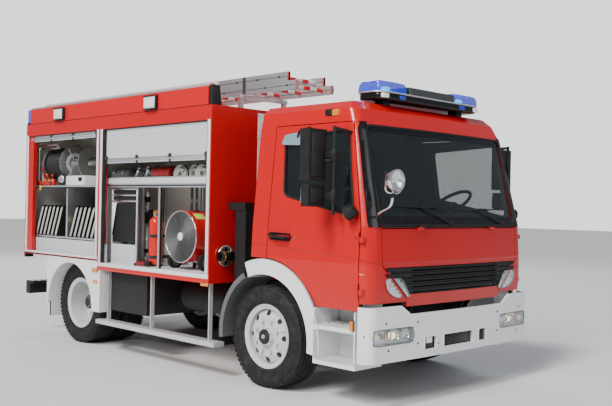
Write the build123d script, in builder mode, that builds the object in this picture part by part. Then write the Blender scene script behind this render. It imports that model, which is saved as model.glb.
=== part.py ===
from build123d import *
import os
from math import cos, radians, sin

# Light two-axle fire engine: a tilting three-seat cab on a ladder frame, and a
# body of shuttered lockers. X runs forward, Y to the left, Z up, in millimetres.
# The origin is on the ground, at the middle of the length and the width.

os.makedirs("parts", exist_ok=True)

# Length, from the front axle
wheelbase = 3020
front_overhang = 1217
body_rear_overhang = 1050
rear_step_reach = 165
lamp_reach = 161
overall_length = lamp_reach + front_overhang + wheelbase + body_rear_overhang + rear_step_reach
front_axle_x = overall_length / 2 - lamp_reach - front_overhang
rear_axle_x = front_axle_x - wheelbase
body_rear_x = rear_axle_x - body_rear_overhang
body_front_setback = 601
body_front_x = front_axle_x - body_front_setback

# Fits between pieces
panel_gap = 7
seat_gap = 0.3
pin_clearance = 0.3

# Wheels and axles
tyre_radius = 435
tyre_width = 268
rim_radius = 262
rim_flange = 14
rim_half_width = 112
rim_well = 240
rim_wall = 8
disc_wall = 14
hub_radius = 92
nut_height = 24
stud_count = 8
stud_circle = 137
stud_radius = 15
hand_hole_count = 8
hand_hole_circle = 206
hand_hole_radius = 18
front_tyre_face = 1107
rear_tyre_face = 1117
twin_gap = 44
kingpin_y = 850
kingpin_radius = 24
knuckle_reach = 92
steering_arm = 170
track_rod_radius = 15
front_hub = (10, 136)
rear_hub = (-286, -20)
axle_beam_width = 70
axle_drop = 55
rear_axle_radius = 68
differential_radius = 175

# Ladder frame
frame_half_width = 455
rail_width = 70
rail_top = 820
rail_bottom = 610
rail_front = 930
spring_width = 75
spring_half_length = 640
spring_leaf = 14
spring_leaves = 4

# Cab
cab_wall = 45
cab_rear_setback = 180
cab_bottom = 745
cab_floor_z = 1060
roof_split = 2222
arch_cut_radius = 668
arch_trim_radius = 655
arch_inner_radius = 530
cab_pivot_x = 1060
cab_pivot_z = 850
cab_pivot_radius = 15
door_rear = 20
door_front = 1045
door_top = 2216
door_bottom = 751
door_slope_start = 1410
door_top_front = 885
door_hinge_x = 1048
door_hinge_y = 1132
door_hinge_heights = (880, 1280)
hinge_barrel = 40
hinge_radius = 9
flap_top = 1385
flap_bottom = 772
flap_half_width = 952
flap_waist_z = 1100
flap_toe_half_width = 672
flap_toe_z = 850
grille_top = 1085
grille_bottom = 868
grille_bars = 5
flap_hinge_x = 1172
flap_hinge_z = 1388.5
flap_hinge_y = 510
windscreen_bottom = 1412
windscreen_top = 2194
windscreen_half_width = 956
glass_thickness = 6
glass_inset = 10

# Body
body_half_width = 1247
body_wall = 40
inner_wall = 20
locker_depth = 620
front_sill_bottom = 840
front_sill_top = 914
rear_floor_bottom = 930
rear_floor_top = 967
deck_bottom = 2400
deck_top = 2437
band_bottom = 2300
coaming_top = 2620
coaming_width = 117
divider_ahead_of_axle = 560
divider_thickness = 30
mid_post_width = 150
rear_post_width = 180
rear_door_half_width = 560
slat_pitch = 45
slat_depth = 5
shutter_thickness = 14
shutter_inset = 15
front_shutter_open_to = 1945
rear_shutter_open_to = 2225

# Sides of the vehicle: right is -Y and left is +Y
RIGHT = -1
LEFT = 1


def ahead(distance):
    """X of a place that lies a distance ahead of the front axle."""
    return front_axle_x + distance


def bar(x, y, z, mode=Mode.ADD):
    """A block between two corners, given as pairs of X, Y and Z."""
    with Locations(((x[0] + x[1]) / 2, (y[0] + y[1]) / 2, (z[0] + z[1]) / 2)):
        Box(abs(x[1] - x[0]), abs(y[1] - y[0]), abs(z[1] - z[0]), mode=mode)


def side_prism(outline, y, mode=Mode.ADD, radius=0):
    """A prism across Y from an outline of (X, Z) points, its corners rounded."""
    low, high = min(y), max(y)
    with BuildSketch(Plane.XZ.offset(-high)) as sketch:
        Polygon(*outline, align=None)
        if radius:
            fillet(sketch.vertices(), radius)
    extrude(sketch.sketch, amount=high - low, mode=mode)


def front_prism(outline, x, mode=Mode.ADD, radius=0):
    """A prism along X from an outline of (Y, Z) points, its corners rounded."""
    low, high = min(x), max(x)
    with BuildSketch(Plane.YZ.offset(low)) as sketch:
        Polygon(*outline, align=None)
        if radius:
            fillet(sketch.vertices(), radius)
    extrude(sketch.sketch, amount=high - low, mode=mode)


def rod(start, end, radius, mode=Mode.ADD):
    """A round rod between two points."""
    run = Vector(*end) - Vector(*start)
    with BuildSketch(Plane(origin=start, z_dir=run)) as sketch:
        Circle(radius)
    extrude(sketch.sketch, amount=run.length, mode=mode)


def ring_sector(centre, inner, outer, angles, y, mode=Mode.ADD):
    """A curved plate across Y: the ring between two radii, from one angle to another.

    Angles are in degrees above the forward direction, seen from the right."""
    low, high = min(y), max(y)
    x, z = centre
    start, end = angles
    middle = (start + end) / 2

    def at(radius, angle):
        return (x + radius * cos(radians(angle)), z + radius * sin(radians(angle)))

    with BuildSketch(Plane.XZ.offset(-high)) as sketch:
        with BuildLine():
            ThreePointArc(at(outer, start), at(outer, middle), at(outer, end))
            Line(at(outer, end), at(inner, end))
            ThreePointArc(at(inner, end), at(inner, middle), at(inner, start))
            Line(at(inner, start), at(outer, start))
        make_face()
    extrude(sketch.sketch, amount=high - low, mode=mode)


def wheel_plane(x, y, side):
    """Plane for turning a wheel: its own X points outward and its own Y up."""
    return Plane(origin=(x, y, tyre_radius), x_dir=(0, side, 0), z_dir=(side, 0, 0))


def turned(plane, profile, mode=Mode.ADD):
    """A ring turned about the axle from (outward, radius) points."""
    with BuildSketch(plane) as sketch:
        Polygon(*profile, align=None)
    revolve(sketch.sketch, axis=Axis(plane.origin, (0, 1, 0)), mode=mode)


def save(builder, name):
    """Name a finished piece and write it."""
    builder.part.label = name
    export_step(builder.part, f"parts/{name}.step")
    print(name, len(builder.part.solids()), round(builder.part.volume / 1e9, 4), flush=True)


side_names = {RIGHT: "right", LEFT: "left"}

# Tyres: one profile, used at six places. Its middle plane is at outward = 0.
tyre_half = tyre_width / 2
tyre_profile = [
    (-rim_half_width + seat_gap, rim_radius - 6 + seat_gap),
    (-rim_half_width + seat_gap, rim_radius + rim_flange + 1),
    (-tyre_half + 6, rim_radius + 60),
    (-tyre_half, rim_radius + 105),
    (-tyre_half + 22, tyre_radius - 14),
    (-tyre_half + 48, tyre_radius),
    (tyre_half - 48, tyre_radius),
    (tyre_half - 22, tyre_radius - 14),
    (tyre_half, rim_radius + 105),
    (tyre_half - 6, rim_radius + 60),
    (rim_half_width - seat_gap, rim_radius + rim_flange + 1),
    (rim_half_width - seat_gap, rim_radius - 6 + seat_gap),
]


def wheel_profile(disc_edge, hub_face, hub_ends):
    """Half section of a wheel as (outward, radius): flanges, well, disc and hub.

    disc_edge is where the disc leaves the barrel, hub_face the flat that takes
    the nuts, and hub_ends the two ends of the hub, or None for a bored disc."""
    bead = rim_radius - 6
    inside = rim_well - rim_wall
    foot = disc_edge + (hub_face - disc_edge) * 0.45
    shoulder = stud_circle + 34
    if hub_ends:
        low, high = hub_ends
        centre = [(hub_face, hub_radius), (high, hub_radius - 12), (high, 0), (low, 0), (low, hub_radius)]
    else:
        centre = [(hub_face, hub_radius + 3), (hub_face - disc_wall, hub_radius + 3)]
    return [
        (rim_half_width, rim_radius + rim_flange),
        (rim_half_width + 9, rim_radius + rim_flange - 4),
        (rim_half_width - 6, inside),
        (disc_edge, inside),
        (foot, inside - 12),
        (hub_face, shoulder),
        *centre,
        (hub_face - disc_wall, hub_radius + 3),
        (hub_face - disc_wall, shoulder),
        (foot - disc_wall, inside - 12),
        (disc_edge - disc_wall * 2, inside),
        (-rim_half_width + 6, inside),
        (-rim_half_width - 9, rim_radius + rim_flange - 4),
        (-rim_half_width, rim_radius + rim_flange),
        (-rim_half_width, bead),
        (-rim_half_width + 20, bead),
        (-rim_half_width + 34, rim_well),
        (rim_half_width - 34, rim_well),
        (rim_half_width - 20, bead),
        (rim_half_width, bead),
    ]


def hand_holes_and_nuts(x, y, side, hub_face, disc_reach):
    """Hand holes through the disc and nuts on its flat, on the piece in hand."""
    face = Plane(origin=(x, y + side * hub_face, tyre_radius), x_dir=(1, 0, 0), z_dir=(0, side, 0))
    with BuildSketch(face.offset(disc_reach)) as holes:
        with PolarLocations(hand_hole_circle, hand_hole_count):
            Circle(hand_hole_radius)
    extrude(holes.sketch, amount=-2 * disc_reach, mode=Mode.SUBTRACT)
    with BuildSketch(face.offset(-2)) as nuts:
        with PolarLocations(stud_circle, stud_count, start_angle=180 / stud_count):
            RegularPolygon(stud_radius, 6)
    extrude(nuts.sketch, amount=nut_height + 2)


front_wheel_y = front_tyre_face - tyre_half
rear_outer_y = rear_tyre_face - tyre_half
rear_inner_y = rear_outer_y - tyre_width - twin_gap
twin_middle = (tyre_width + twin_gap) / 2
for side, name in side_names.items():
    y = side * front_wheel_y
    with BuildPart() as tyre:
        turned(wheel_plane(front_axle_x, y, side), tyre_profile)
    save(tyre, f"front_tyre_{name}")
    with BuildPart() as rim:
        turned(wheel_plane(front_axle_x, y, side), wheel_profile(62, 104, front_hub))
        hand_holes_and_nuts(front_axle_x, y, side, 104, 90)
    save(rim, f"front_rim_{name}")
    with BuildPart() as tyres:
        for row_y in (rear_outer_y, rear_inner_y):
            turned(wheel_plane(rear_axle_x, side * row_y, side), tyre_profile)
    save(tyres, f"rear_tyres_{name}")
    with BuildPart() as rims:
        flat = disc_wall - twin_middle
        turned(wheel_plane(rear_axle_x, side * rear_outer_y, side), wheel_profile(-70, flat, rear_hub))
        turned(wheel_plane(rear_axle_x, side * rear_inner_y, side), wheel_profile(90, twin_middle, None))
        hand_holes_and_nuts(rear_axle_x, side * rear_outer_y, side, flat, 90)
    save(rims, f"rear_rims_{name}")

# Front axle: a dropped beam with its leaf springs, and a knuckle at each end
beam_end = kingpin_y - 20
spring_y = frame_half_width - rail_width / 2


def leaf_spring(x, y, seat_z):
    """A pack of leaves that gets shorter downward, its eyes up at the rail."""
    eye_drop = rail_bottom - seat_z - spring_leaves * spring_leaf
    for leaf in range(spring_leaves):
        half = spring_half_length * (1 - 0.2 * leaf)
        rise = eye_drop * (1 - 0.2 * leaf) ** 2
        top = seat_z + (spring_leaves - leaf) * spring_leaf
        side_prism(
            [
                (x - half, top + rise),
                (x, top),
                (x + half, top + rise),
                (x + half, top + rise - spring_leaf),
                (x, top - spring_leaf),
                (x - half, top + rise - spring_leaf),
            ],
            (y - spring_width / 2, y + spring_width / 2),
        )
    side_prism(
        [(x - 70, seat_z - 14), (x + 70, seat_z - 14), (x + 60, seat_z + 75), (x - 60, seat_z + 75)],
        (y - spring_width / 2 - 6, y + spring_width / 2 + 6),
    )


with BuildPart() as front_axle:
    beam_z = tyre_radius - axle_drop
    front_prism(
        [
            (-beam_end, tyre_radius - 45),
            (-beam_end + 130, beam_z - 45),
            (beam_end - 130, beam_z - 45),
            (beam_end, tyre_radius - 45),
            (beam_end, tyre_radius + 45),
            (beam_end - 150, beam_z + 45),
            (-beam_end + 150, beam_z + 45),
            (-beam_end, tyre_radius + 45),
        ],
        (front_axle_x - axle_beam_width / 2, front_axle_x + axle_beam_width / 2),
    )
    for side in (RIGHT, LEFT):
        pin = (front_axle_x, side * kingpin_y)
        rod((*pin, tyre_radius - 48), (*pin, tyre_radius + 48), 44)
        rod((*pin, tyre_radius - 90), (*pin, tyre_radius + 90), kingpin_radius)
        leaf_spring(front_axle_x, side * spring_y, beam_z + 55)
save(front_axle, "front_axle")

stub_end = front_wheel_y + front_hub[0] - seat_gap
arm_bottom = tyre_radius - knuckle_reach
arm_top = arm_bottom + 22
for side, name in side_names.items():
    pin = (front_axle_x, side * kingpin_y)
    with BuildPart() as knuckle:
        for low, high in ((56, knuckle_reach), (-knuckle_reach, -56)):
            rod((*pin, tyre_radius + low), (*pin, tyre_radius + high), 46)
            with Locations((front_axle_x, side * (kingpin_y + 40), tyre_radius + (low + high) / 2)):
                Box(80, 60, high - low)
        bar(
            (front_axle_x - 50, front_axle_x + 50),
            (side * (kingpin_y + 50), side * (kingpin_y + 74)),
            (tyre_radius - knuckle_reach, tyre_radius + knuckle_reach),
        )
        rod((front_axle_x, side * (kingpin_y + 70), tyre_radius), (front_axle_x, side * stub_end, tyre_radius), 34)
        bar(
            (front_axle_x - steering_arm - 20, front_axle_x),
            (side * (kingpin_y - 20), side * (kingpin_y + 20)),
            (arm_bottom, arm_top),
        )
        hole = kingpin_radius + pin_clearance
        rod((*pin, tyre_radius - 95), (*pin, tyre_radius + 95), hole, Mode.SUBTRACT)
    save(knuckle, f"knuckle_{name}")

with BuildPart() as track_rod:
    rod_x = front_axle_x - steering_arm
    rod_z = arm_top + 20
    rod((rod_x, -kingpin_y, rod_z), (rod_x, kingpin_y, rod_z), track_rod_radius)
    for side in (RIGHT, LEFT):
        rod((rod_x, side * kingpin_y, arm_top + seat_gap), (rod_x, side * kingpin_y, rod_z + 18), 18)
save(track_rod, "track_rod")

rear_tube_end = rear_outer_y + rear_hub[0] - seat_gap
gearbox_rear = ahead(-760)
with BuildPart() as rear_axle:
    rod((rear_axle_x, -rear_tube_end, tyre_radius), (rear_axle_x, rear_tube_end, tyre_radius), rear_axle_radius)
    with Locations((rear_axle_x, 0, tyre_radius)):
        Sphere(differential_radius)
    rod((rear_axle_x, 0, tyre_radius), (rear_axle_x + 330, 0, tyre_radius + 25), 70)
    rod((rear_axle_x + 330, 0, tyre_radius + 25), (gearbox_rear - 10 * seat_gap, 0, 590), 42)
    for side in (RIGHT, LEFT):
        leaf_spring(rear_axle_x, side * spring_y, tyre_radius + rear_axle_radius - 4)
save(rear_axle, "rear_axle")

# Ladder frame with its cross members, front horns, cab hinge ears, latch towers and the
# sub-frame that carries the body
divider_x = rear_axle_x + divider_ahead_of_axle
with BuildPart() as chassis_frame:
    for side in (RIGHT, LEFT):
        outer = side * frame_half_width
        inner = side * (frame_half_width - rail_width)
        bar((body_rear_x + 20, ahead(rail_front)), (outer, inner), (rail_bottom, rail_top))
        bar((ahead(700), ahead(front_overhang - 27)), (outer, inner), (470, 580))
        bar((ahead(700), ahead(900)), (outer, inner), (570, rail_bottom + 5))
        for ear in (outer, inner - side * 20):
            side_prism(
                [
                    (ahead(820), rail_bottom + 20),
                    (ahead(rail_front), rail_bottom + 20),
                    (ahead(cab_pivot_x - 20), cab_pivot_z - 34),
                    (ahead(cab_pivot_x + 30), cab_pivot_z - 22),
                    (ahead(cab_pivot_x + 30), cab_pivot_z + 28),
                    (ahead(cab_pivot_x - 34), cab_pivot_z + 28),
                    (ahead(820), rail_top - 6),
                ],
                (ear, ear + side * 20),
            )
        rod(
            (ahead(cab_pivot_x), inner - side * 20, cab_pivot_z),
            (ahead(cab_pivot_x), outer + side * 20, cab_pivot_z),
            cab_pivot_radius,
        )
        bar((ahead(-150), ahead(-60)), (outer, inner), (rail_top - 5, cab_floor_z - seat_gap))
        bar((divider_x, body_front_x), (outer, inner), (rail_top - 5, front_sill_bottom))
        bar((body_rear_x + 20, divider_x), (outer, inner), (rail_top - 5, rear_floor_bottom))
    for x in (ahead(780), ahead(-860), ahead(-1500), rear_axle_x + 60, body_rear_x + 60):
        bar((x - 35, x + 35), (-frame_half_width + 5, frame_half_width - 5), (rail_bottom + 30, rail_top - 30))
save(chassis_frame, "chassis_frame")

with BuildPart() as engine_block:
    side_prism(
        [
            (ahead(-340), 640),
            (ahead(-340), 900),
            (ahead(-200), 1020),
            (ahead(620), 1020),
            (ahead(660), 900),
            (ahead(660), 560),
            (ahead(200), 520),
        ],
        (-300, 300),
    )
    bar((gearbox_rear, ahead(-330)), (-160, 160), (520, 780))
    mount_y = frame_half_width - rail_width - seat_gap
    bar((ahead(80), ahead(180)), (-mount_y, mount_y), (640, 720))
    bar((ahead(690), ahead(745)), (-330, 330), (560, 1030))
    bar((ahead(650), ahead(700)), (-60, 60), (700, 800))
save(engine_block, "engine_block")

# Boxes and tanks hung under the body
with BuildPart() as under_boxes:
    box_front = rear_axle_x + 620
    bar((box_front, box_front + 715), (-1150, -540), (430, front_sill_bottom))
    bar((box_front, box_front + 1000), (540, 1150), (400, front_sill_bottom))
    rod((ahead(-1480), -740, 640), (ahead(-820), -740, 640), 150)
    for x in (ahead(-1380), ahead(-930)):
        bar((x - 20, x + 20), (-770, -710), (700, front_sill_bottom))
save(under_boxes, "under_boxes")

# Front bumper: a hollow moulding, open at the top so that the cab can dip behind it
bumper_half_width = 1140
bumper_corner = 95
bumper_rear = 1068
bumper_wall = 20
bumper_low = 362
bumper_high = 790
bumper_mid_high = 716
headlamp_y = (622, 1085)
headlamp_z = (498, 618)
headlamp_depth = 90


def bumper_outline(inset, rear_reach=0):
    """Plan of the bumper's outside, drawn smaller by inset and longer to the rear."""
    front = ahead(front_overhang) - inset
    side = bumper_half_width - inset
    rear = ahead(bumper_rear) - rear_reach
    corner = bumper_corner - inset / 2
    bow = 30
    low = (front - bow, -side + corner)
    high = (front - bow, side - corner)
    turn = corner * (1 - cos(radians(45)))
    with BuildLine() as outline:
        Line((rear, -side), (front - bow - corner, -side))
        ThreePointArc((front - bow - corner, -side), (front - bow - turn, -side + turn), low)
        ThreePointArc(low, (front, 0), high)
        ThreePointArc(high, (front - bow - turn, side - turn), (front - bow - corner, side))
        Line((front - bow - corner, side), (rear, side))
        Line((rear, side), (rear, -side))
    make_face(outline.edges())


with BuildPart() as front_bumper:
    with BuildSketch(Plane.XY.offset(bumper_low)):
        bumper_outline(0)
    extrude(amount=bumper_high - bumper_low)
    with BuildSketch(Plane.XY.offset(bumper_low - 1)):
        bumper_outline(bumper_wall, 1)
    extrude(amount=bumper_high - bumper_low + 2, mode=Mode.SUBTRACT)
    reach = (ahead(bumper_rear - 60), ahead(front_overhang + 60))
    front_prism(
        [(-780, bumper_high + 5), (780, bumper_high + 5), (655, bumper_mid_high), (-655, bumper_mid_high)],
        reach,
        Mode.SUBTRACT,
    )
    for side in (RIGHT, LEFT):
        front_prism(
            [(side * y, z) for y in headlamp_y for z in headlamp_z][:2]
            + [(side * headlamp_y[1], headlamp_z[1]), (side * headlamp_y[1], headlamp_z[0])],
            reach,
            Mode.SUBTRACT,
        )
    for low, high in ((-477, -335), (-226, 179), (283, 383)):
        front_prism([(low, 422), (high, 422), (high, 520), (low, 520)], reach, Mode.SUBTRACT)
    for side in (RIGHT, LEFT):
        plate = (side * (frame_half_width - rail_width), side * frame_half_width)
        bar((ahead(front_overhang - 27), ahead(front_overhang - 8)), plate, (470, 580))
save(front_bumper, "front_bumper")

with BuildPart() as headlamps:
    with BuildSketch(Plane.XY.offset(headlamp_z[0])):
        bumper_outline(4)
    extrude(amount=headlamp_z[1] - headlamp_z[0])
    with BuildSketch(Plane.XY.offset(headlamp_z[0] - 1)):
        bumper_outline(headlamp_depth, 200)
    extrude(amount=headlamp_z[1] - headlamp_z[0] + 2, mode=Mode.SUBTRACT)
    bar((ahead(900), ahead(1400)), (-headlamp_y[0], headlamp_y[0]), (400, 700), Mode.SUBTRACT)
    for side in (RIGHT, LEFT):
        bar((ahead(900), ahead(1400)), (side * headlamp_y[1], side * 1400), (400, 700), Mode.SUBTRACT)
save(headlamps, "headlamps")

# Mudguards behind the front wheels, on the frame
with BuildPart() as front_mudguards:
    centre = (front_axle_x, tyre_radius)
    for side in (RIGHT, LEFT):
        ring_sector(centre, 541, 552, (118, 187), (side * 1125, side * 780))
        ring_sector(centre, 541, 588, (118, 187), (side * 1125, side * 1110))
        bar((ahead(-478), ahead(-448)), (side * (frame_half_width + seat_gap), side * 800), (700, 730))
save(front_mudguards, "front_mudguards")

# Cab shell: sections from the bottom up, in a table of
# height, front edge ahead of the axle, bow of the front, half width, corner radius
cab_sections = [
    (cab_bottom, 1140, 26, 1100, 118),
    (900, 1150, 30, 1116, 130),
    (1110, 1146, 32, 1122, 130),
    (1400, 1132, 34, 1108, 124),
    (2200, 940, 40, 1032, 84),
    (2330, 872, 40, 1004, 80),
    (2470, 700, 40, 972, 80),
]
# Roof outline from the side, as (ahead of the axle, height), and half of it from the front
roof_side_line = [(1010, 2196), (925, 2334), (800, 2398), (450, 2438), (-140, 2442), (-180, 2400)]
roof_front_line = [(1040, 2250), (1000, 2340), (935, 2396), (500, 2432)]
roof_crown = 2444


def cab_envelope(inset):
    """The cab's solid outer form, drawn smaller by inset on every side but the bottom."""
    with BuildPart() as form:
        for z, front, bow, half, corner in cab_sections:
            edge = ahead(front) - inset
            side = half - inset
            rear = ahead(-cab_rear_setback) + inset
            arc = max(corner - inset, 30)
            turn = arc * (1 - cos(radians(45)))
            with BuildSketch(Plane.XY.offset(z)):
                with BuildLine():
                    Line((rear, -side), (edge - arc, -side))
                    ThreePointArc((edge - arc, -side), (edge - turn, -side + turn), (edge, -side + arc))
                    ThreePointArc((edge, -side + arc), (edge + bow, 0), (edge, side - arc))
                    ThreePointArc((edge, side - arc), (edge - turn, side - turn), (edge - arc, side))
                    Line((edge - arc, side), (rear, side))
                    Line((rear, side), (rear, -side))
                make_face()
        loft(ruled=True)
        side_prism(
            [(ahead(x), z - inset) for x, z in roof_side_line]
            + [(ahead(-400), 2300), (ahead(-400), 600), (ahead(1400), 600), (ahead(1400), 2150)],
            (-1200, 1200),
            Mode.INTERSECT,
        )
        front_prism(
            [(-1200, 600), (1200, 600), (1200, 2250)]
            + [(y, z - inset) for y, z in roof_front_line]
            + [(0, roof_crown - inset)]
            + [(-y, z - inset) for y, z in reversed(roof_front_line)]
            + [(-1200, 2250)],
            (ahead(-500), ahead(1400)),
            Mode.INTERSECT,
        )
    return form.part


far = 1400
cab_outside = cab_envelope(0)
cab_inside = cab_envelope(cab_wall)
cab_lining = cab_envelope(cab_wall + seat_gap)
glass_outside = cab_envelope(glass_inset)
glass_inside = cab_envelope(glass_inset + glass_thickness)
grille_outside = cab_envelope(4)
grille_inside = cab_envelope(34)
with BuildPart() as cab_shell:
    add(cab_outside)
    add(cab_inside, mode=Mode.SUBTRACT)
    bar((ahead(-far), ahead(0)), (-far, far), (0, tyre_radius + arch_cut_radius), Mode.SUBTRACT)
    rod((front_axle_x, -far, tyre_radius), (front_axle_x, far, tyre_radius), arch_cut_radius, Mode.SUBTRACT)

with BuildPart() as glass_layer:
    add(glass_outside)
    add(glass_inside, mode=Mode.SUBTRACT)

windscreen_outline = [
    (-windscreen_half_width, windscreen_bottom),
    (windscreen_half_width, windscreen_bottom),
    (windscreen_half_width, windscreen_top),
    (-windscreen_half_width, windscreen_top),
]
window_outline = [(ahead(x), z) for x, z in ((183, 1638), (141, 2118), (850, 2156), (975, 1473))]


grille_outline = [
    (-flap_half_width + 40, grille_top),
    (flap_half_width - 40, grille_top),
    (flap_toe_half_width - 20, grille_bottom),
    (-flap_toe_half_width + 20, grille_bottom),
]


def flap_outline(grow):
    """The front flap from ahead, larger all round by grow."""
    half = [
        (flap_half_width + grow, flap_top + grow),
        (flap_half_width + grow, flap_waist_z - grow / 2),
        (flap_toe_half_width + grow, flap_toe_z - grow / 2),
        (flap_toe_half_width - 14 + grow, flap_bottom - grow),
    ]
    return half + [(-y, z) for y, z in reversed(half)]


def door_outline(grow):
    """The door from the side, larger all round by grow."""
    return [
        (ahead(door_rear - grow), door_bottom - grow),
        (ahead(door_rear - grow), door_top + grow),
        (ahead(door_top_front + grow), door_top + grow),
        (ahead(door_front + grow), door_slope_start + grow),
        (ahead(door_front + grow), door_bottom - grow),
    ]


with BuildPart() as cab_roof:
    add(cab_shell.part)
    bar((ahead(-far), ahead(far)), (-far, far), (roof_split, 3000), Mode.INTERSECT)
save(cab_roof, "cab_roof")

with BuildPart() as cab_rear:
    add(cab_shell.part)
    bar((ahead(-far), ahead(door_rear - panel_gap)), (-far, far), (0, roof_split), Mode.INTERSECT)
save(cab_rear, "cab_rear")

corner_bottom = 812
with BuildPart() as cab_front:
    add(cab_shell.part)
    side_prism(
        [
            (ahead(door_front + panel_gap), corner_bottom),
            (ahead(door_front + panel_gap), door_slope_start + panel_gap),
            (ahead(door_top_front + panel_gap), roof_split),
            (ahead(far), roof_split),
            (ahead(far), corner_bottom),
        ],
        (-far, far),
        Mode.INTERSECT,
    )
    front_prism(flap_outline(panel_gap), (ahead(700), ahead(far)), Mode.SUBTRACT)
    front_prism(windscreen_outline, (ahead(700), ahead(far)), Mode.SUBTRACT, radius=70)
    for side in (RIGHT, LEFT):
        y = (side * (flap_hinge_y - hinge_barrel), side * flap_hinge_y)
        rod((ahead(flap_hinge_x), y[0], flap_hinge_z), (ahead(flap_hinge_x), y[1], flap_hinge_z), hinge_radius - 1)
        bar((ahead(flap_hinge_x - 42), ahead(flap_hinge_x - 2)), y, (flap_hinge_z + 4, flap_hinge_z + 18))
        for z in door_hinge_heights:
            pin = (ahead(door_hinge_x), side * door_hinge_y)
            rod((*pin, z), (*pin, z + hinge_barrel), hinge_radius)
            reach = (ahead(door_front + panel_gap), ahead(door_front + panel_gap + 42))
            bar(reach, (side * (door_hinge_y - 40), side * (door_hinge_y - 4)), (z, z + hinge_barrel))
save(cab_front, "cab_front")

with BuildPart() as windscreen:
    add(glass_layer.part)
    front_prism(windscreen_outline, (ahead(700), ahead(far)), Mode.INTERSECT, radius=70)
save(windscreen, "windscreen")

with BuildPart() as front_flap:
    add(cab_shell.part)
    front_prism(flap_outline(0), (ahead(1000), ahead(far)), Mode.INTERSECT)
    front_prism(grille_outline, (ahead(1000), ahead(far)), Mode.SUBTRACT)
    for side in (RIGHT, LEFT):
        y = (side * (flap_hinge_y + seat_gap), side * (flap_hinge_y + hinge_barrel))
        rod((ahead(flap_hinge_x), y[0], flap_hinge_z), (ahead(flap_hinge_x), y[1], flap_hinge_z), hinge_radius - 1)
        bar((ahead(flap_hinge_x - 42), ahead(flap_hinge_x - 2)), y, (flap_hinge_z - 18, flap_hinge_z - 3))
save(front_flap, "front_flap")

with BuildPart() as grille:
    pitch = (grille_top - grille_bottom) / grille_bars
    add(grille_outside)
    add(grille_inside, mode=Mode.SUBTRACT)
    front_prism(grille_outline, (ahead(1000), ahead(far)), Mode.INTERSECT)
    for index in range(grille_bars):
        z = grille_bottom + pitch * index
        bar((ahead(1000), ahead(far)), (-600, 600), (z + 8, z + pitch * 0.42), Mode.SUBTRACT)
save(grille, "grille")

for side, name in side_names.items():
    span = (side * 800, side * far)
    with BuildPart() as door:
        add(cab_shell.part)
        side_prism(door_outline(0), span, Mode.INTERSECT)
        side_prism(window_outline, span, Mode.SUBTRACT, radius=45)
        handle = ((ahead(60), side * 1142, 1292), (ahead(290), side * 1142, 1292))
        rod(*handle, 11)
        for x in (80, 270):
            rod((ahead(x), side * 1090, 1292), (ahead(x), side * 1142, 1292), 9)
        for height in door_hinge_heights:
            z = (height + hinge_barrel + seat_gap, height + 2 * hinge_barrel)
            pin = (ahead(door_hinge_x), side * door_hinge_y)
            rod((*pin, z[0]), (*pin, z[1]), hinge_radius)
            bar((ahead(door_front - 42), ahead(door_front)), (side * (door_hinge_y - 40), side * (door_hinge_y - 4)), z)
    save(door, f"door_{name}")
    with BuildPart() as window:
        add(glass_layer.part)
        side_prism(window_outline, span, Mode.INTERSECT, radius=45)
    save(window, f"door_glass_{name}")
    with BuildPart() as mirrors:
        arm_x = ahead(880)
        arm_y = side * 1235
        rod((arm_x, arm_y, 1485), (arm_x, arm_y, 2165), 13)
        for z, x_in, y_in in ((2150, 876, 1000), (1500, 1003, 1060)):
            rod((arm_x, arm_y, z), (ahead(x_in), side * y_in, z - 22), 13)
        bar((ahead(700), ahead(800)), (side * 1235, side * 1425), (1745, 2140))
        bar((ahead(715), ahead(795)), (side * 1240, side * 1420), (1545, 1715))
        for z in (1900, 1630):
            rod((ahead(760), side * 1260, z), (arm_x, arm_y, z), 14)
        add(cab_outside, mode=Mode.SUBTRACT)
    save(mirrors, f"mirrors_{name}")

# Cab floor with the engine tunnel, the fire wall, the seat boxes and the hinge arms
seat_y = (-560, 0, 560)
seat_width = (430, 380, 430)
seat_box_top = 1300
with BuildPart() as cab_floor:
    inside_y = 1050
    bar((ahead(-cab_rear_setback + cab_wall + seat_gap), ahead(1070)), (-inside_y, inside_y), (cab_floor_z, cab_floor_z + 30))
    bar((ahead(1040), ahead(1070)), (-inside_y + 40, inside_y - 40), (cab_pivot_z + 55, cab_floor_z + 5))
    rear_lining = ahead(-cab_rear_setback + cab_wall + seat_gap)
    bar((rear_lining, rear_lining + 20), (-inside_y + 20, inside_y - 20), (cab_floor_z + 20, cab_floor_z + 85))
    bar((ahead(-100), ahead(820)), (-330, 330), (cab_floor_z + 20, cab_floor_z + 150))
    for y, width in zip(seat_y, seat_width):
        bar((ahead(-100), ahead(340)), (y - width / 2, y + width / 2), (cab_floor_z + 20, seat_box_top))
    for side in (RIGHT, LEFT):
        arm = (side * (frame_half_width - rail_width + 15), side * (frame_half_width - 15))
        side_prism(
            [
                (ahead(cab_pivot_x - 34), cab_pivot_z - 20),
                (ahead(cab_pivot_x - 20), cab_pivot_z - 32),
                (ahead(cab_pivot_x + 20), cab_pivot_z - 32),
                (ahead(cab_pivot_x + 34), cab_pivot_z - 20),
                (ahead(cab_pivot_x + 34), cab_floor_z + 5),
                (ahead(cab_pivot_x - 100), cab_floor_z + 5),
            ],
            arm,
        )
        pin_y = (side * 300, side * 600)
        rod(
            (ahead(cab_pivot_x), pin_y[0], cab_pivot_z),
            (ahead(cab_pivot_x), pin_y[1], cab_pivot_z),
            cab_pivot_radius + pin_clearance,
            Mode.SUBTRACT,
        )
save(cab_floor, "cab_floor")

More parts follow.
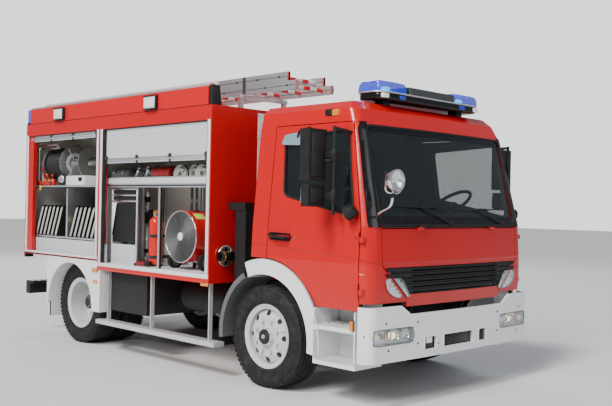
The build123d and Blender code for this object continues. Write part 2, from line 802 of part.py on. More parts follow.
with BuildPart() as seats:
    for y, width in zip(seat_y, seat_width):
        half = width / 2 + 15
        side_prism(
            [
                (ahead(-105), seat_box_top + seat_gap),
                (ahead(380), seat_box_top + seat_gap),
                (ahead(390), seat_box_top + 110),
                (ahead(30), seat_box_top + 130),
                (ahead(-20), 2080),
                (ahead(-105), 2080),
            ],
            (y - half, y + half),
        )
save(seats, "seats")

wheel_centre = (690, 560, 1590)
column = Vector(-0.5736, 0, 0.8192)
hub_drop = 36
with BuildPart() as dashboard:
    bar((ahead(1000), ahead(1250)), (-930, 930), (1396, 1408))
    add(cab_lining, mode=Mode.INTERSECT)
    side_prism(
        [
            (ahead(1066), cab_floor_z + 30),
            (ahead(1066), 1400),
            (ahead(1020), 1490),
            (ahead(820), 1500),
            (ahead(770), 1420),
            (ahead(880), 1250),
            (ahead(930), cab_floor_z + 30),
        ],
        (-1000, 1000),
    )
    wheel_point = Vector(ahead(wheel_centre[0]), wheel_centre[1], wheel_centre[2])
    column_foot = wheel_point - column * 300
    column_head = wheel_point - column * (hub_drop + seat_gap)
    rod(tuple(column_foot), tuple(column_head), 32)
save(dashboard, "dashboard")

with BuildPart() as steering_wheel:
    plane = Plane(origin=wheel_point, x_dir=(0, 1, 0), z_dir=column)
    with BuildSketch(Plane(origin=plane.origin, x_dir=plane.x_dir, z_dir=plane.y_dir * -1)):
        with Locations((210, 0)):
            RegularPolygon(16, 8)
    revolve(axis=Axis(plane.origin, plane.z_dir))
    with BuildSketch(plane.offset(-hub_drop)):
        Circle(55)
    extrude(amount=30)
    with BuildSketch(plane.offset(-26)):
        for angle in (0, 90, 180):
            with Locations(Rotation(0, 0, angle)):
                with Locations((110, 0)):
                    Rectangle(200, 30)
    extrude(amount=14)
save(steering_wheel, "steering_wheel")

# White step wells and arch trims: they stay on the frame when the cab tilts
well_x = (585, 1030)
well_y = (800, 1122)
with BuildPart() as cab_steps:
    for side in (RIGHT, LEFT):
        outer = side * well_y[1]
        tucked = side * 1045
        back = side * well_y[0]
        for x in (well_x[0], well_x[1] - 14):
            bar((ahead(x), ahead(x + 14)), (outer, back), (300, door_bottom - panel_gap - 1))
            bar((ahead(x), ahead(x + 14)), (tucked, back), (700, cab_floor_z - panel_gap))
        bar((ahead(well_x[0]), ahead(well_x[1])), (back, back + side * 14), (300, cab_floor_z - panel_gap))
        for z, reach_y in ((300, 1122), (575, 1110)):
            bar((ahead(well_x[0]), ahead(well_x[1])), (side * reach_y, back), (z, z + 30))
        hub = (front_axle_x, tyre_radius)
        ring_sector(hub, arch_inner_radius, arch_trim_radius, (-7, 112), (side * 1134, side * 1108))
        ring_sector(hub, arch_inner_radius, arch_inner_radius + 8, (-7, 112), (side * 1134, side * 760))
        bar((ahead(well_x[0] + 14), ahead(900)), (side * 1107, side * 1300), (331, 574), Mode.SUBTRACT)
        bar((ahead(well_x[0] + 14), ahead(900)), (side * 1107, side * 1300), (606, 742), Mode.SUBTRACT)
        bar((ahead(700), ahead(760)), (side * (frame_half_width + seat_gap), side * (well_y[0] + 5)), (640, 700))
save(cab_steps, "cab_steps")

# Lamps on the cab: the light bar on its feet, the search lamp and the two corner lamps
bar_x = (600, 900)
bar_y = 715
bar_z = (2432, 2592)
with BuildPart() as cab_lamps:
    with BuildSketch(Plane.XY.offset(bar_z[0])):
        with Locations((ahead((bar_x[0] + bar_x[1]) / 2), 0)):
            RectangleRounded(bar_x[1] - bar_x[0], 2 * bar_y, 110)
    extrude(amount=bar_z[1] - bar_z[0], taper=8)
    for side in (RIGHT, LEFT):
        bar((ahead(650), ahead(720)), (side * 480, side * 560), (2390, bar_z[0] + 5))
    lamp_centre = (ahead(front_overhang + lamp_reach - 60), -1070, 1750)
    rod(lamp_centre, (lamp_centre[0] + 60, lamp_centre[1], lamp_centre[2]), 86)
    rod((ahead(1300), -1070, 1750), (ahead(1322), -1070, 1750), 60)
    rod((ahead(1300), -1070, 1750), (ahead(1300), -1070, 1560), 12)
    rod((ahead(1300), -1070, 1566), (ahead(1065), -1010, 1470), 12)
    add(cab_outside, mode=Mode.SUBTRACT)
save(cab_lamps, "cab_lamps")

# Body floor, walls and posts
mid_post = (divider_x - 50, divider_x - 50 + mid_post_width)
half = body_half_width
skin = half - body_wall
locker_back = half - locker_depth

with BuildPart() as body_floor:
    bar((divider_x + divider_thickness, body_front_x - body_wall), (-half, half), (front_sill_bottom, front_sill_top))
    bar((body_rear_x, divider_x), (-half, half), (rear_floor_bottom, rear_floor_top))
save(body_floor, "body_floor")

with BuildPart() as body_cross_walls:
    bar((body_front_x - body_wall, body_front_x), (-half, half), (front_sill_bottom, deck_bottom))
    bar((divider_x, divider_x + divider_thickness), (-skin, skin), (front_sill_bottom, deck_bottom))
    bar((divider_x, divider_x + divider_thickness), (-half, half), (front_sill_bottom, front_sill_top))
save(body_cross_walls, "body_cross_walls")

with BuildPart() as body_inner_walls:
    for side in (RIGHT, LEFT):
        y = (side * locker_back, side * (locker_back - inner_wall))
        bar((divider_x + divider_thickness, body_front_x - body_wall), y, (front_sill_top, deck_bottom))
        bar((body_rear_x + body_wall, divider_x), y, (rear_floor_top, deck_bottom))
save(body_inner_walls, "body_inner_walls")

with BuildPart() as body_posts:
    for side in (RIGHT, LEFT):
        bar((mid_post[0], divider_x), (side * half, side * skin), (rear_floor_top, band_bottom))
        bar((divider_x, mid_post[1]), (side * half, side * skin), (front_sill_top, band_bottom))
        bar((body_rear_x, body_rear_x + rear_post_width), (side * half, side * skin), (rear_floor_top, band_bottom))
        bar(
            (body_rear_x, body_rear_x + body_wall),
            (side * half, side * rear_door_half_width),
            (rear_floor_top, band_bottom),
        )
save(body_posts, "body_posts")

with BuildPart() as body_roof:
    bar((body_rear_x, body_front_x), (-half, half), (deck_bottom, deck_top))
    for side in (RIGHT, LEFT):
        bar((body_rear_x, body_front_x - body_wall), (side * half, side * skin), (band_bottom, deck_bottom))
    bar((body_rear_x, body_rear_x + body_wall), (-skin, skin), (band_bottom, deck_bottom))
save(body_roof, "body_roof")

with BuildPart() as roof_coamings:
    for side in (RIGHT, LEFT):
        front_prism(
            [
                (side * half, deck_top),
                (side * half, coaming_top - 18),
                (side * (half - 18), coaming_top),
                (side * (half - coaming_width + 30), coaming_top),
                (side * (half - coaming_width), deck_top),
            ],
            (body_rear_x + 90, body_front_x - 55),
        )
save(roof_coamings, "roof_coamings")


def shutter_curtain(width, heights):
    """A curtain of slats as points of (depth, height) from its outer face inward."""
    low, high = heights
    count = max(int((high - low) / slat_pitch), 1)
    pitch = (high - low) / count
    points = [(shutter_thickness, low)]
    for index in range(count):
        z = low + pitch * index
        points += [(slat_depth, z), (0, z + slat_depth), (0, z + pitch - slat_depth)]
    return points + [(slat_depth, high), (shutter_thickness, high)]


# Shutters of the sides, as side, rear end, front end, bottom
shutter_rows = (
    (RIGHT, mid_post[1], body_front_x - body_wall, front_shutter_open_to),
    (RIGHT, body_rear_x + rear_post_width, mid_post[0], rear_shutter_open_to),
    (LEFT, mid_post[1], body_front_x - body_wall, front_sill_top),
    (LEFT, body_rear_x + rear_post_width, mid_post[0], rear_floor_top),
)
with BuildPart() as roller_shutters:
    face = half - shutter_inset
    for side, rear, front, low in shutter_rows:
        points = shutter_curtain(front - rear, (low, band_bottom))
        front_prism([(side * (face - depth), z) for depth, z in points], (rear, front))
        bar((rear, front), (side * (face + 6), side * (face - 20)), (low, low + 26))
    points = shutter_curtain(2 * rear_door_half_width, (rear_floor_top, band_bottom))
    side_prism(
        [(body_rear_x + shutter_inset + depth, z) for depth, z in points],
        (-rear_door_half_width, rear_door_half_width),
    )
save(roller_shutters, "roller_shutters")

# Rear wheel arches: the white panel, its front return, the well over the tyres and the flap
arch_panel = (rear_axle_x - 490, rear_axle_x + 620)
arch_panel_low = 400
well_radius = 465
well_centre = (rear_axle_x, tyre_radius - 15)
arch_outline = [
    (arch_panel[0], arch_panel_low),
    (arch_panel[0], rear_floor_bottom),
    (divider_x, rear_floor_bottom),
    (divider_x, front_sill_bottom),
    (arch_panel[1], front_sill_bottom),
    (arch_panel[1], arch_panel_low),
]
with BuildPart() as rear_wheel_arches:
    x, z = well_centre
    for side in (RIGHT, LEFT):
        side_prism(arch_outline, (side * half, side * (half - 30)))
        bar((arch_panel[1] - 12, arch_panel[1]), (side * half, side * 1155), (arch_panel_low, front_sill_bottom))
        rod((x, side * 1210, z), (x, side * 1300, z), well_radius, Mode.SUBTRACT)
        bar((x - well_radius, x + well_radius), (side * 1210, side * 1300), (0, z), Mode.SUBTRACT)
    for side in (RIGHT, LEFT):
        ring_sector(well_centre, well_radius - 5, well_radius + 7, (0, 180), (side * (half - 5), side * 500))
        bar((x - well_radius - 5, x - well_radius + 3), (side * 1200, side * 510), (250, z + 6))
save(rear_wheel_arches, "rear_wheel_arches")

# Low step bars along both sides, on hangers from the floor
step_x = (divider_x - 5, ahead(-515))
with BuildPart() as step_bars:
    for side in (RIGHT, LEFT):
        bar(step_x, (side * 1245, side * 1125), (285, 325))
        for x in (divider_x + 130, ahead(-1560), ahead(-660)):
            top = front_sill_bottom
            bar((x, x + 12), (side * 1195, side * 1155), (300, top))
save(step_bars, "step_bars")

# Shelves, tray and reel stand in the right lockers
front_locker = (divider_x + divider_thickness, body_front_x - body_wall)
rear_locker = (body_rear_x + body_wall, divider_x)
shelf_y = (-locker_back, -1190)
shelf_z = 1700
rack_shelf_z = 1130
reel_centre = (rear_axle_x - 670, -930, 1985)
reel_radius = 205
with BuildPart() as locker_shelves:
    bar(front_locker, shelf_y, (1718, 1730))
    bar(front_locker, (-1178, -1190), (1718, 1800))
    bar((ahead(-1485), ahead(-1455)), (-1150, -1180), (front_sill_top, 1720))
    bar(rear_locker, shelf_y, (shelf_z, shelf_z + 20))
    bar(rear_locker, shelf_y, (rack_shelf_z, rack_shelf_z + 20))
    bar(rear_locker, (-1178, -1190), (rear_floor_top, rack_shelf_z + 5))
    bar((rear_axle_x - 210, rear_axle_x - 185), (-700, -1180), (rack_shelf_z + 15, shelf_z + 5))
    for x in (rear_axle_x - 880, rear_axle_x - 440):
        side_prism(
            [(x - 8, shelf_z + 15), (x + 8, shelf_z + 15), (x + 8, reel_centre[2] + 30), (x - 8, reel_centre[2] + 30)],
            (-860, -1000),
        )
    rod(
        (rear_axle_x - 880, reel_centre[1], reel_centre[2]),
        (rear_axle_x - 440, reel_centre[1], reel_centre[2]),
        16,
    )
    bar((rear_axle_x - 340, rear_axle_x + 60), (-800, -1120), (shelf_z + 15, 1830))
save(locker_shelves, "locker_shelves")

with BuildPart() as hose_reel_drum:
    start = rear_axle_x - 850
    end = rear_axle_x - 470
    axis_yz = reel_centre[1:]
    rod((start, *axis_yz), (end, *axis_yz), 175)
    rod((start, *axis_yz), (start + 12, *axis_yz), reel_radius)
    rod((end - 12, *axis_yz), (end, *axis_yz), reel_radius)
    rod((start - 5, *axis_yz), (end + 5, *axis_yz), 16 + pin_clearance, Mode.SUBTRACT)
save(hose_reel_drum, "hose_reel_drum")

with BuildPart() as hose_racks:
    for start, count in ((rear_axle_x - 940, 6), (rear_axle_x - 170, 6)):
        for index in range(count):
            x = start + 88 * index
            side_prism(
                [
                    (x, rack_shelf_z + 20),
                    (x + 62, rack_shelf_z + 20),
                    (x + 62 + 150, rack_shelf_z + 370),
                    (x + 150, rack_shelf_z + 370),
                ],
                (-760, -1160),
            )
save(hose_racks, "hose_racks")

# Blower on its two wheels, with its fan free to turn
fan_centre = (ahead(-1200), -1040, 1235)
fan_radius = 240
rotor_y = (-965, -1050)
blade_pitch = radians(35)
blower_wheel = 85
with BuildPart() as blower_housing:
    x, y, z = fan_centre
    rod((x, -780, z), (x, -1120, z), fan_radius + 12)
    rod((x, -800, z), (x, -1130, z), fan_radius, Mode.SUBTRACT)
    rod((x, -780, z), (x, rotor_y[0] + seat_gap, z), 45)
    for angle in range(0, 180, 45):
        reach = fan_radius + 5
        dx = reach * cos(radians(angle))
        dz = reach * sin(radians(angle))
        rod((x - dx, -1112, z - dz), (x + dx, -1112, z + dz), 5)
    axle_z = front_sill_top + blower_wheel
    for turn in (-1, 1):
        rod((x + turn * 213, -1000, axle_z), (x + turn * 257, -1000, axle_z), blower_wheel)
        rod((x + turn * 88, -1000, axle_z), (x + turn * 220, -1000, axle_z), 12)
    bar((x - 200, x + 200), (-790, -830), (front_sill_top, z - 100))
save(blower_housing, "blower_housing")

with BuildPart() as blower_rotor:
    rod((x, rotor_y[0], z), (x, rotor_y[1], z), 45)
    for angle in range(0, 360, 60):
        across = cos(radians(angle)), sin(radians(angle))
        pitched = -sin(blade_pitch) * across[1], -cos(blade_pitch), sin(blade_pitch) * across[0]
        blade = Plane(origin=(x, sum(rotor_y) / 2, z), x_dir=(across[0], 0, across[1]), z_dir=pitched)
        with BuildSketch(blade.offset(-3)):
            with Locations((130, 0)):
                Rectangle(190, 60)
        extrude(amount=6)
save(blower_rotor, "blower_rotor")

with BuildPart() as extinguisher:
    base = (ahead(-1735), -1020, front_sill_top)
    rod(base, (base[0], base[1], base[2] + 430), 72)
    with Locations((base[0], base[1], base[2] + 430)):
        Sphere(72)
    rod((base[0], base[1], base[2] + 480), (base[0], base[1], base[2] + 560), 16)
save(extinguisher, "extinguisher")

# Roof ladder in two nested sections on its rack
stile = (24, 82)
ladder_y = (-780, -330)
ladder_low = 2573
ladder_rows = ((ahead(0), ladder_low), (ahead(-105), ladder_low + stile[1]))
ladder_length = 3560
rung_pitch = 290
with BuildPart() as roof_ladder:
    for front, low in ladder_rows:
        for y in ladder_y:
            bar((front - ladder_length, front), (y - stile[0] / 2, y + stile[0] / 2), (low, low + stile[1]))
        count = int(ladder_length / rung_pitch)
        for index in range(count):
            x = front - 120 - index * rung_pitch
            bar((x - 15, x + 15), ladder_y, (low + 26, low + 56))
save(roof_ladder, "roof_ladder")

with BuildPart() as ladder_rack:
    for x in (ahead(-700), ahead(-2100), rear_axle_x - 280):
        bar((x - 20, x + 20), (-860, -250), (ladder_low - 35, ladder_low))
        for y in (-830, -280):
            bar((x - 20, x + 20), (y - 20, y + 20), (deck_top, ladder_low - 20))
save(ladder_rack, "ladder_rack")

with BuildPart() as body_lamps:
    for side in (RIGHT, LEFT):
        for x in (ahead(-1530), rear_axle_x - 270):
            bar((x - 105, x + 105), (side * half, side * (half + 45)), (2448, 2585))
        beacon = (body_rear_x + 45, side * (half - 60))
        rod((*beacon, deck_top), (*beacon, deck_top + 150), 40)
        bar((body_rear_x - 60, body_rear_x), (side * 1130, side * 1230), (880, 1130))
save(body_lamps, "body_lamps")

with BuildPart() as rear_underrun:
    rear = body_rear_x - rear_step_reach
    bar((rear, rear + 90), (-1130, 1130), (440, 560))
    bar((rear, body_rear_x), (-1130, 1130), (560, 590))
    for side in (RIGHT, LEFT):
        bar(
            (rear + 20, body_rear_x + 20),
            (side * (frame_half_width - rail_width), side * frame_half_width),
            (540, rail_bottom + 120),
        )
    hitch = (rear + 45, 0)
    bar((rear, body_rear_x + 25), (-110, 110), (585, 680))
    bar((rear, rear + 90), (-111, 111), (612, 652), Mode.SUBTRACT)
    rod((*hitch, 560), (*hitch, 720), 20, Mode.SUBTRACT)
save(rear_underrun, "rear_underrun")

with BuildPart() as rear_ladder:
    for y in (620, 980):
        bar((body_rear_x - 75, body_rear_x - 45), (y - 15, y + 15), (650, 2560))
        for z in (1050, 2350):
            bar((body_rear_x - 50, body_rear_x), (y - 12, y + 12), (z, z + 30))
    for index in range(7):
        z = 720 + 270 * index
        bar((body_rear_x - 72, body_rear_x - 48), (620, 980), (z, z + 28))
save(rear_ladder, "rear_ladder")

with BuildPart() as air_intake:
    bar((ahead(-470), ahead(-330)), (-1060, -920), (895, 1520))
    bar((ahead(-560), ahead(-330)), (-1070, -910), (1500, 1570))
    bar((ahead(-450), ahead(-350)), (-1000, -frame_half_width + 60), (900, 960))
    bar((ahead(-450), ahead(-350)), (-frame_half_width + 10, -frame_half_width + 60), (rail_top, 960))
save(air_intake, "air_intake")

outlet_y = -1070
outlet_z = 1085
spout_x = body_front_x + 72
spout_end = -1175
with BuildPart() as outlet_valve:
    rod((body_front_x, outlet_y, outlet_z), (body_front_x + 22, outlet_y, outlet_z), 92)
    rod((body_front_x + 22, outlet_y, outlet_z), (spout_x + 38, outlet_y, outlet_z), 42)
    rod((spout_x, outlet_y + 30, outlet_z), (spout_x, spout_end, outlet_z), 38)
    rod((spout_x, spout_end + 16, outlet_z), (spout_x, spout_end, outlet_z), 47)
    rod((spout_x, spout_end + 70, outlet_z), (spout_x, spout_end - 1, outlet_z), 26, Mode.SUBTRACT)
save(outlet_valve, "outlet_valve")
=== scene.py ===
"""Looks of a light two-axle fire engine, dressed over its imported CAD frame.

Sizes are in metres: X runs forward, Y to the vehicle's left and Z up from the ground.
"""

import logging
import math
from collections.abc import Callable
from dataclasses import dataclass, field
from enum import Enum

import bmesh
import bpy
from mathutils import Matrix, Vector
from mathutils.bvhtree import BVHTree


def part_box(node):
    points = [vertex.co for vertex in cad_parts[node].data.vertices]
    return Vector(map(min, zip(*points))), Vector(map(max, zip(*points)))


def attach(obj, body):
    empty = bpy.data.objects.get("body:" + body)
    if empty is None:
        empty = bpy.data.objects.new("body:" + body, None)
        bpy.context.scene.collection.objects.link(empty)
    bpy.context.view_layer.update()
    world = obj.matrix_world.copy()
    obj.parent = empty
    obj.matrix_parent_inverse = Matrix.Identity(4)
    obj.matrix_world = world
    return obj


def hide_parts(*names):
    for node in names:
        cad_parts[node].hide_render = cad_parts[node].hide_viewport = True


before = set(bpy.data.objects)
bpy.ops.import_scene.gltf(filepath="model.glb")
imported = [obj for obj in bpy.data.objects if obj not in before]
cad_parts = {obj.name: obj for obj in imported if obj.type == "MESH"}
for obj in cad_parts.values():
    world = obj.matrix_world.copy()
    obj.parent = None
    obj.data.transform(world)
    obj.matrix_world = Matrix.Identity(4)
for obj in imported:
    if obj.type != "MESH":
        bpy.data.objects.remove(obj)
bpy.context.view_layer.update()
LOG = logging.getLogger("fire_engine")

Colour = tuple[float, float, float]
Point = tuple[float, float, float]
Span = tuple[float, float]
Seat = Callable[[float, float], Vector]

AXLE_X: float = sum(corner.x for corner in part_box("front_tyre_right")) / 2
REAR_AXLE_X: float = sum(corner.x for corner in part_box("rear_tyres_right")) / 2
BODY_FRONT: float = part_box("body_roof")[1].x
BODY_REAR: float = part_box("body_roof")[0].x
BODY_HALF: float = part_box("body_roof")[1].y
DUST: Colour = (0.30, 0.27, 0.23)
FILL_PRESSURE = 4.0
FILL_FRAMES = 20
SHARP_ANGLE = 0.6
SPARE_HALF = 1.1


def ahead(distance: float) -> float:
    """Returns the X of a place that lies a distance ahead of the front axle."""
    return AXLE_X + distance


def between(rear: float, front: float) -> Span:
    """Returns the X of two places ahead of the front axle."""
    return ahead(rear), ahead(front)


def about(middle: float, half: float) -> Span:
    """Returns the span that reaches half its width to each side of a middle."""
    return middle - half, middle + half


def layer(face: float, sign: int, inner: float, outer: float) -> Span:
    """Returns the span from a depth inside one side's face to a height outside it."""
    return face - sign * inner, face + sign * outer


def corners(first: Span, second: Span) -> list[Span]:
    """Returns the corners of a rectangle from its two spans."""
    return [(first[0], second[0]), (first[1], second[0]), (first[1], second[1]), (first[0], second[1])]


def hoop(low: float, high: float, inner: float, outer: float) -> list[Span]:
    """Returns the closed profile of a flat hoop, as distances along its axis and radii."""
    return [(low, inner), (low, outer), (high, outer), (high, inner), (low, inner)]


def circle(count: int, offset: float = 0.0) -> list[Span]:
    """Returns the cosine and sine of evenly spaced angles, turned by a share of a step."""
    angles = [(index + offset) * math.tau / count for index in range(count)]
    return [(math.cos(angle), math.sin(angle)) for angle in angles]


def wire_ring(along: float, radius: float, wire: float, sides: int = 12) -> list[Span]:
    """Returns the closed profile of a ring of round wire.

    Args:
        along: Its place along its axis.
        radius: Its radius.
        wire: The wire's own radius.
        sides: How many flats go round the wire.

    Returns:
        Distances along the axis and radii.
    """
    turns = [index * math.tau / sides for index in range(sides + 1)]
    return [(along + wire * math.cos(angle), radius + wire * math.sin(angle)) for angle in turns]


def rounded(points: list[Vector], bend: float, ring: bool = False, steps: int = 6) -> list[Vector]:
    """Returns a line with its corners rounded.

    Args:
        points: The line's corners.
        bend: The bend radius.
        ring: Whether the line closes on itself.
        steps: How many steps each corner takes.

    Returns:
        The rounded line.
    """
    line: list[Vector] = []
    for index, corner in enumerate(points):
        if not ring and index in (0, len(points) - 1):
            line.append(corner)
            continue
        before = points[index - 1] - corner
        after = points[(index + 1) % len(points)] - corner
        reach = min(bend, before.length * 0.45, after.length * 0.45)
        start, end = corner + before.normalized() * reach, corner + after.normalized() * reach
        for step in range(steps + 1):
            t = step / steps
            line.append(start * (1 - t) ** 2 + corner * 2 * t * (1 - t) + end * t**2)
    return line


def ring_of(outline: list[Span], radius: float, steps: int = 6) -> list[Span]:
    """Returns a closed outline with its corners rounded."""
    return [tuple(point) for point in rounded([Vector(corner) for corner in outline], radius, True, steps)]


def brick(size: Point) -> bmesh.types.BMesh:
    """Returns a block of a size, with its middle at the origin."""
    part = bmesh.new()
    bmesh.ops.create_cube(part, size=1.0)
    bmesh.ops.scale(part, verts=part.verts, vec=size)
    return part


class Across(Enum):
    """The axis that a flat outline is thickened along."""

    X = 0
    Y = 1
    Z = 2


class Side(Enum):
    """A side of the vehicle, with the sign of its Y."""

    RIGHT = -1
    LEFT = 1

    @property
    def word(self) -> str:
        """Returns the side's name as the CAD nodes have it."""
        return self.name.lower()


class Wire:
    """A shader socket on which Python's operators add Math nodes."""

    def __init__(self, tree: bpy.types.NodeTree, socket: bpy.types.NodeSocket) -> None:
        """Keeps a node's output socket and its tree."""
        self.tree = tree
        self.socket = socket

    def _math(self, operation: str, first: "Wire | float", second: "Wire | float" = 0.0) -> "Wire":
        """Adds a Math node.

        Args:
            operation: The node's operation.
            first: Its first value or link.
            second: Its second value or link.

        Returns:
            The node's result.
        """
        node = self.tree.nodes.new("ShaderNodeMath")
        node.operation = operation
        for slot, value in zip(node.inputs, (first, second)):
            if isinstance(value, Wire):
                self.tree.links.new(value.socket, slot)
            else:
                slot.default_value = value
        return Wire(self.tree, node.outputs[0])

    def __add__(self, other: "Wire | float") -> "Wire":
        """Adds."""
        return self._math("ADD", self, other)

    def __sub__(self, other: "Wire | float") -> "Wire":
        """Subtracts."""
        return self._math("SUBTRACT", self, other)

    def __rsub__(self, other: float) -> "Wire":
        """Subtracts this from a number."""
        return self._math("SUBTRACT", other, self)

    def __mul__(self, other: "Wire | float") -> "Wire":
        """Multiplies."""
        return self._math("MULTIPLY", self, other)

    def __truediv__(self, other: "Wire | float") -> "Wire":
        """Divides."""
        return self._math("DIVIDE", self, other)

    def __mod__(self, other: float) -> "Wire":
        """Takes the remainder, always from 0 up."""
        return self._math("FLOORED_MODULO", self, other)

    def __gt__(self, other: "Wire | float") -> "Wire":
        """Gives 1 where this is the greater."""
        return self._math("GREATER_THAN", self, other)

    def __lt__(self, other: "Wire | float") -> "Wire":
        """Gives 1 where this is the smaller."""
        return self._math("LESS_THAN", self, other)

    def __abs__(self) -> "Wire":
        """Drops the sign."""
        return self._math("ABSOLUTE", self)

    __radd__ = __add__
    __rmul__ = __mul__

    def clamped(self) -> "Wire":
        """Returns the value kept between 0 and 1."""
        result = self._math("ADD", self, 0.0)
        result.socket.node.use_clamp = True
        return result


class Shader:
    """A material's nodes, made one by one."""

    def __init__(self, material: bpy.types.Material) -> None:
        """Keeps the node tree and its main shader."""
        self.tree = material.node_tree
        self.main = next(node for node in self.tree.nodes if node.type == "BSDF_PRINCIPLED")
        self._place: Wire | None = None

    def node(
        self, kind: str, settings: dict[str, object], inputs: dict[int | str, object], output: int = 0,
    ) -> Wire:
        """Adds any node.

        Args:
            kind: The node's type, without its leading word.
            settings: Its properties, set before its sockets.
            inputs: Values or wires by socket name or number.
            output: Which output to return.

        Returns:
            The chosen output.
        """
        made = self.tree.nodes.new("ShaderNode" + kind)
        for name, value in settings.items():
            setattr(made, name, value)
        for name, value in inputs.items():
            self.plug(made.inputs[name], value)
        return Wire(self.tree, made.outputs[output])

    def plug(self, socket: bpy.types.NodeSocket, value: object) -> None:
        """Sets a socket to a number, a colour or a wire."""
        if isinstance(value, Wire):
            self.tree.links.new(value.socket, socket)
        elif isinstance(value, tuple) and len(value) == 3 and socket.type == "RGBA":
            socket.default_value = (*value, 1.0)
        else:
            socket.default_value = value

    def place(self) -> Wire:
        """Returns the object coordinates."""
        if self._place is None:
            self._place = self.node("TexCoord", {}, {}, 3)
        return self._place

    def along(self, axis: Across) -> Wire:
        """Returns one object coordinate."""
        return self.node("SeparateXYZ", {}, {0: self.place()}, axis.value)

    def stretched(self, scale: Point) -> Wire:
        """Returns the object coordinates scaled along each axis."""
        return self.node("Mapping", {}, {"Vector": self.place(), "Scale": scale})

    def noise(self, scale: float, detail: float = 2.0, at: Wire | None = None) -> Wire:
        """Returns cloudy noise from 0 to 1."""
        where = at if at is not None else self.place()
        return self.node("TexNoise", {}, {"Vector": where, "Scale": scale, "Detail": detail})

    def mix(self, factor: Wire | float, first: object, second: object) -> Wire:
        """Returns a blend of two colours."""
        return self.node("Mix", {"data_type": "RGBA"}, {0: factor, 6: first, 7: second}, 2)

    def bump(self, height: Wire, strength: float, depth: float) -> Wire:
        """Returns a normal that a height makes, depth in metres."""
        return self.node("Bump", {}, {"Strength": strength, "Distance": depth, "Height": height})

    def finish(self, **sockets: object) -> None:
        """Sets the main shader's sockets, named with low lines for spaces."""
        for name, value in sockets.items():
            self.plug(self.main.inputs[name.replace("_", " ")], value)


@dataclass(frozen=True)
class Finish:
    """A surface finish: a name, a colour and how it is drawn."""

    name: str
    colour: Colour
    roughness: float = 0.4

    def material(self) -> bpy.types.Material:
        """Returns the finish's material, made at its first use."""
        made = bpy.data.materials.get(self.name)
        if made is None:
            made = bpy.data.materials.new(self.name)
            made.use_nodes = True
            made.diffuse_color = (*self.colour, 1.0)
            self.draw(Shader(made))
        return made

    def draw(self, shader: Shader) -> None:
        """Draws a plain, slightly uneven surface."""
        cloud = shader.noise(14.0, 4.0)
        shader.finish(
            Base_Color=shader.mix(cloud * 0.5, self.colour, tuple(c * 0.8 for c in self.colour)),
            Roughness=cloud * 0.12 + self.roughness,
        )


@dataclass(frozen=True)
class Paint(Finish):
    """Sprayed gloss paint under a clear coat, dusty near the ground."""

    roughness: float = 0.3
    coat: float = 0.4
    gloss: float = 0.3
    dust: float = 0.12

    def draw(self, shader: Shader) -> None:
        """Draws the paint, its orange peel and its road dust."""
        cloud = shader.noise(2.2, 4.0)
        low = ((0.95 - shader.along(Across.Z)) / 0.8).clamped()
        speck = shader.noise(26.0, 6.0)
        dirt = (low * self.dust * speck + (cloud * 0.012)).clamped()
        tone = shader.mix(cloud * 0.35, self.colour, tuple(c * 0.82 for c in self.colour))
        base, rough, coat = shader.mix(dirt, tone, DUST), dirt * 0.6 + self.roughness, self.coat
        within = self.within(shader)
        if within is not None:
            base = shader.mix(within, base, self.lining())
            rough = rough + within * 0.35
            coat = (1.0 - within) * self.coat
        shader.finish(
            Base_Color=base,
            Roughness=rough,
            Coat_Weight=coat,
            Coat_Roughness=0.08,
            Specular_IOR_Level=self.gloss,
            Normal=shader.bump(shader.noise(420.0, 1.0) * 0.009 + self.pressed(shader), 1.0, 0.004),
        )

    def within(self, shader: Shader) -> "Wire | None":
        """Returns 1 on the inner faces, where they have another finish."""
        return None

    def lining(self) -> Colour:
        """Returns the colour of the inner faces."""
        return self.colour

    def pressed(self, shader: Shader) -> "Wire | float":
        """Returns the height of pressed lines, in units of 4 mm."""
        return 0.0


@dataclass(frozen=True)
class CabPaint(Paint):
    """The cab's red paint, with its swage lines, over a grey lining."""

    def within(self, shader: Shader) -> "Wire | None":
        """Returns 1 inside the middle of the cab's walls, each a plane or a slight curve."""
        x, y, z = shader.along(Across.X) - AXLE_X, abs(shader.along(Across.Y)), shader.along(Across.Z)
        upper = (z - 1.45).clamped()
        header = (z - 1.40).clamped()
        crown = y * y
        rear = x > -0.1575
        side = y < 1.087 - upper * 0.0955
        front = x < 1.150 - header * 0.242 - crown * 0.046
        corner = x + y < 2.128 - upper * 0.3375
        roof = z < 2.420 - crown * 0.068 - (x - 0.45).clamped() * 0.13
        eaves = z + y < 3.277
        brow = x + z < 3.170
        return rear * side * front * corner * roof * eaves * brow

    def lining(self) -> Colour:
        """Returns the lining's grey."""
        return (0.075, 0.078, 0.082)

    def pressed(self, shader: Shader) -> "Wire | float":
        """Returns the two swage lines that run along the doors to the corners."""
        x, z = shader.along(Across.X) - AXLE_X, shader.along(Across.Z)
        fall = (x - 1.045).clamped() * 0.22
        high = ((z + x * 0.0565 + fall - 1.2095) / 0.012 + 0.5).clamped()
        low = ((z + x * 0.050 + fall * 0.3 - 1.0925) / 0.010 + 0.5).clamped()
        return high * 1.6 - low * 1.3 * (x > 0.26)


@dataclass(frozen=True)
class BodyPaint(Paint):
    """The body's red paint over cream inner panels."""

    def within(self, shader: Shader) -> "Wire | None":
        """Returns 1 inside the middle of the body's outer walls."""
        x, y, z = shader.along(Across.X), abs(shader.along(Across.Y)), shader.along(Across.Z)
        return (x > BODY_REAR + 0.020) * (x < BODY_FRONT - 0.020) * (y < 1.186) * (z < 2.415) * (z > 0.900)

    def lining(self) -> Colour:
        """Returns the inner panels' cream."""
        return Coat.PANEL.colour


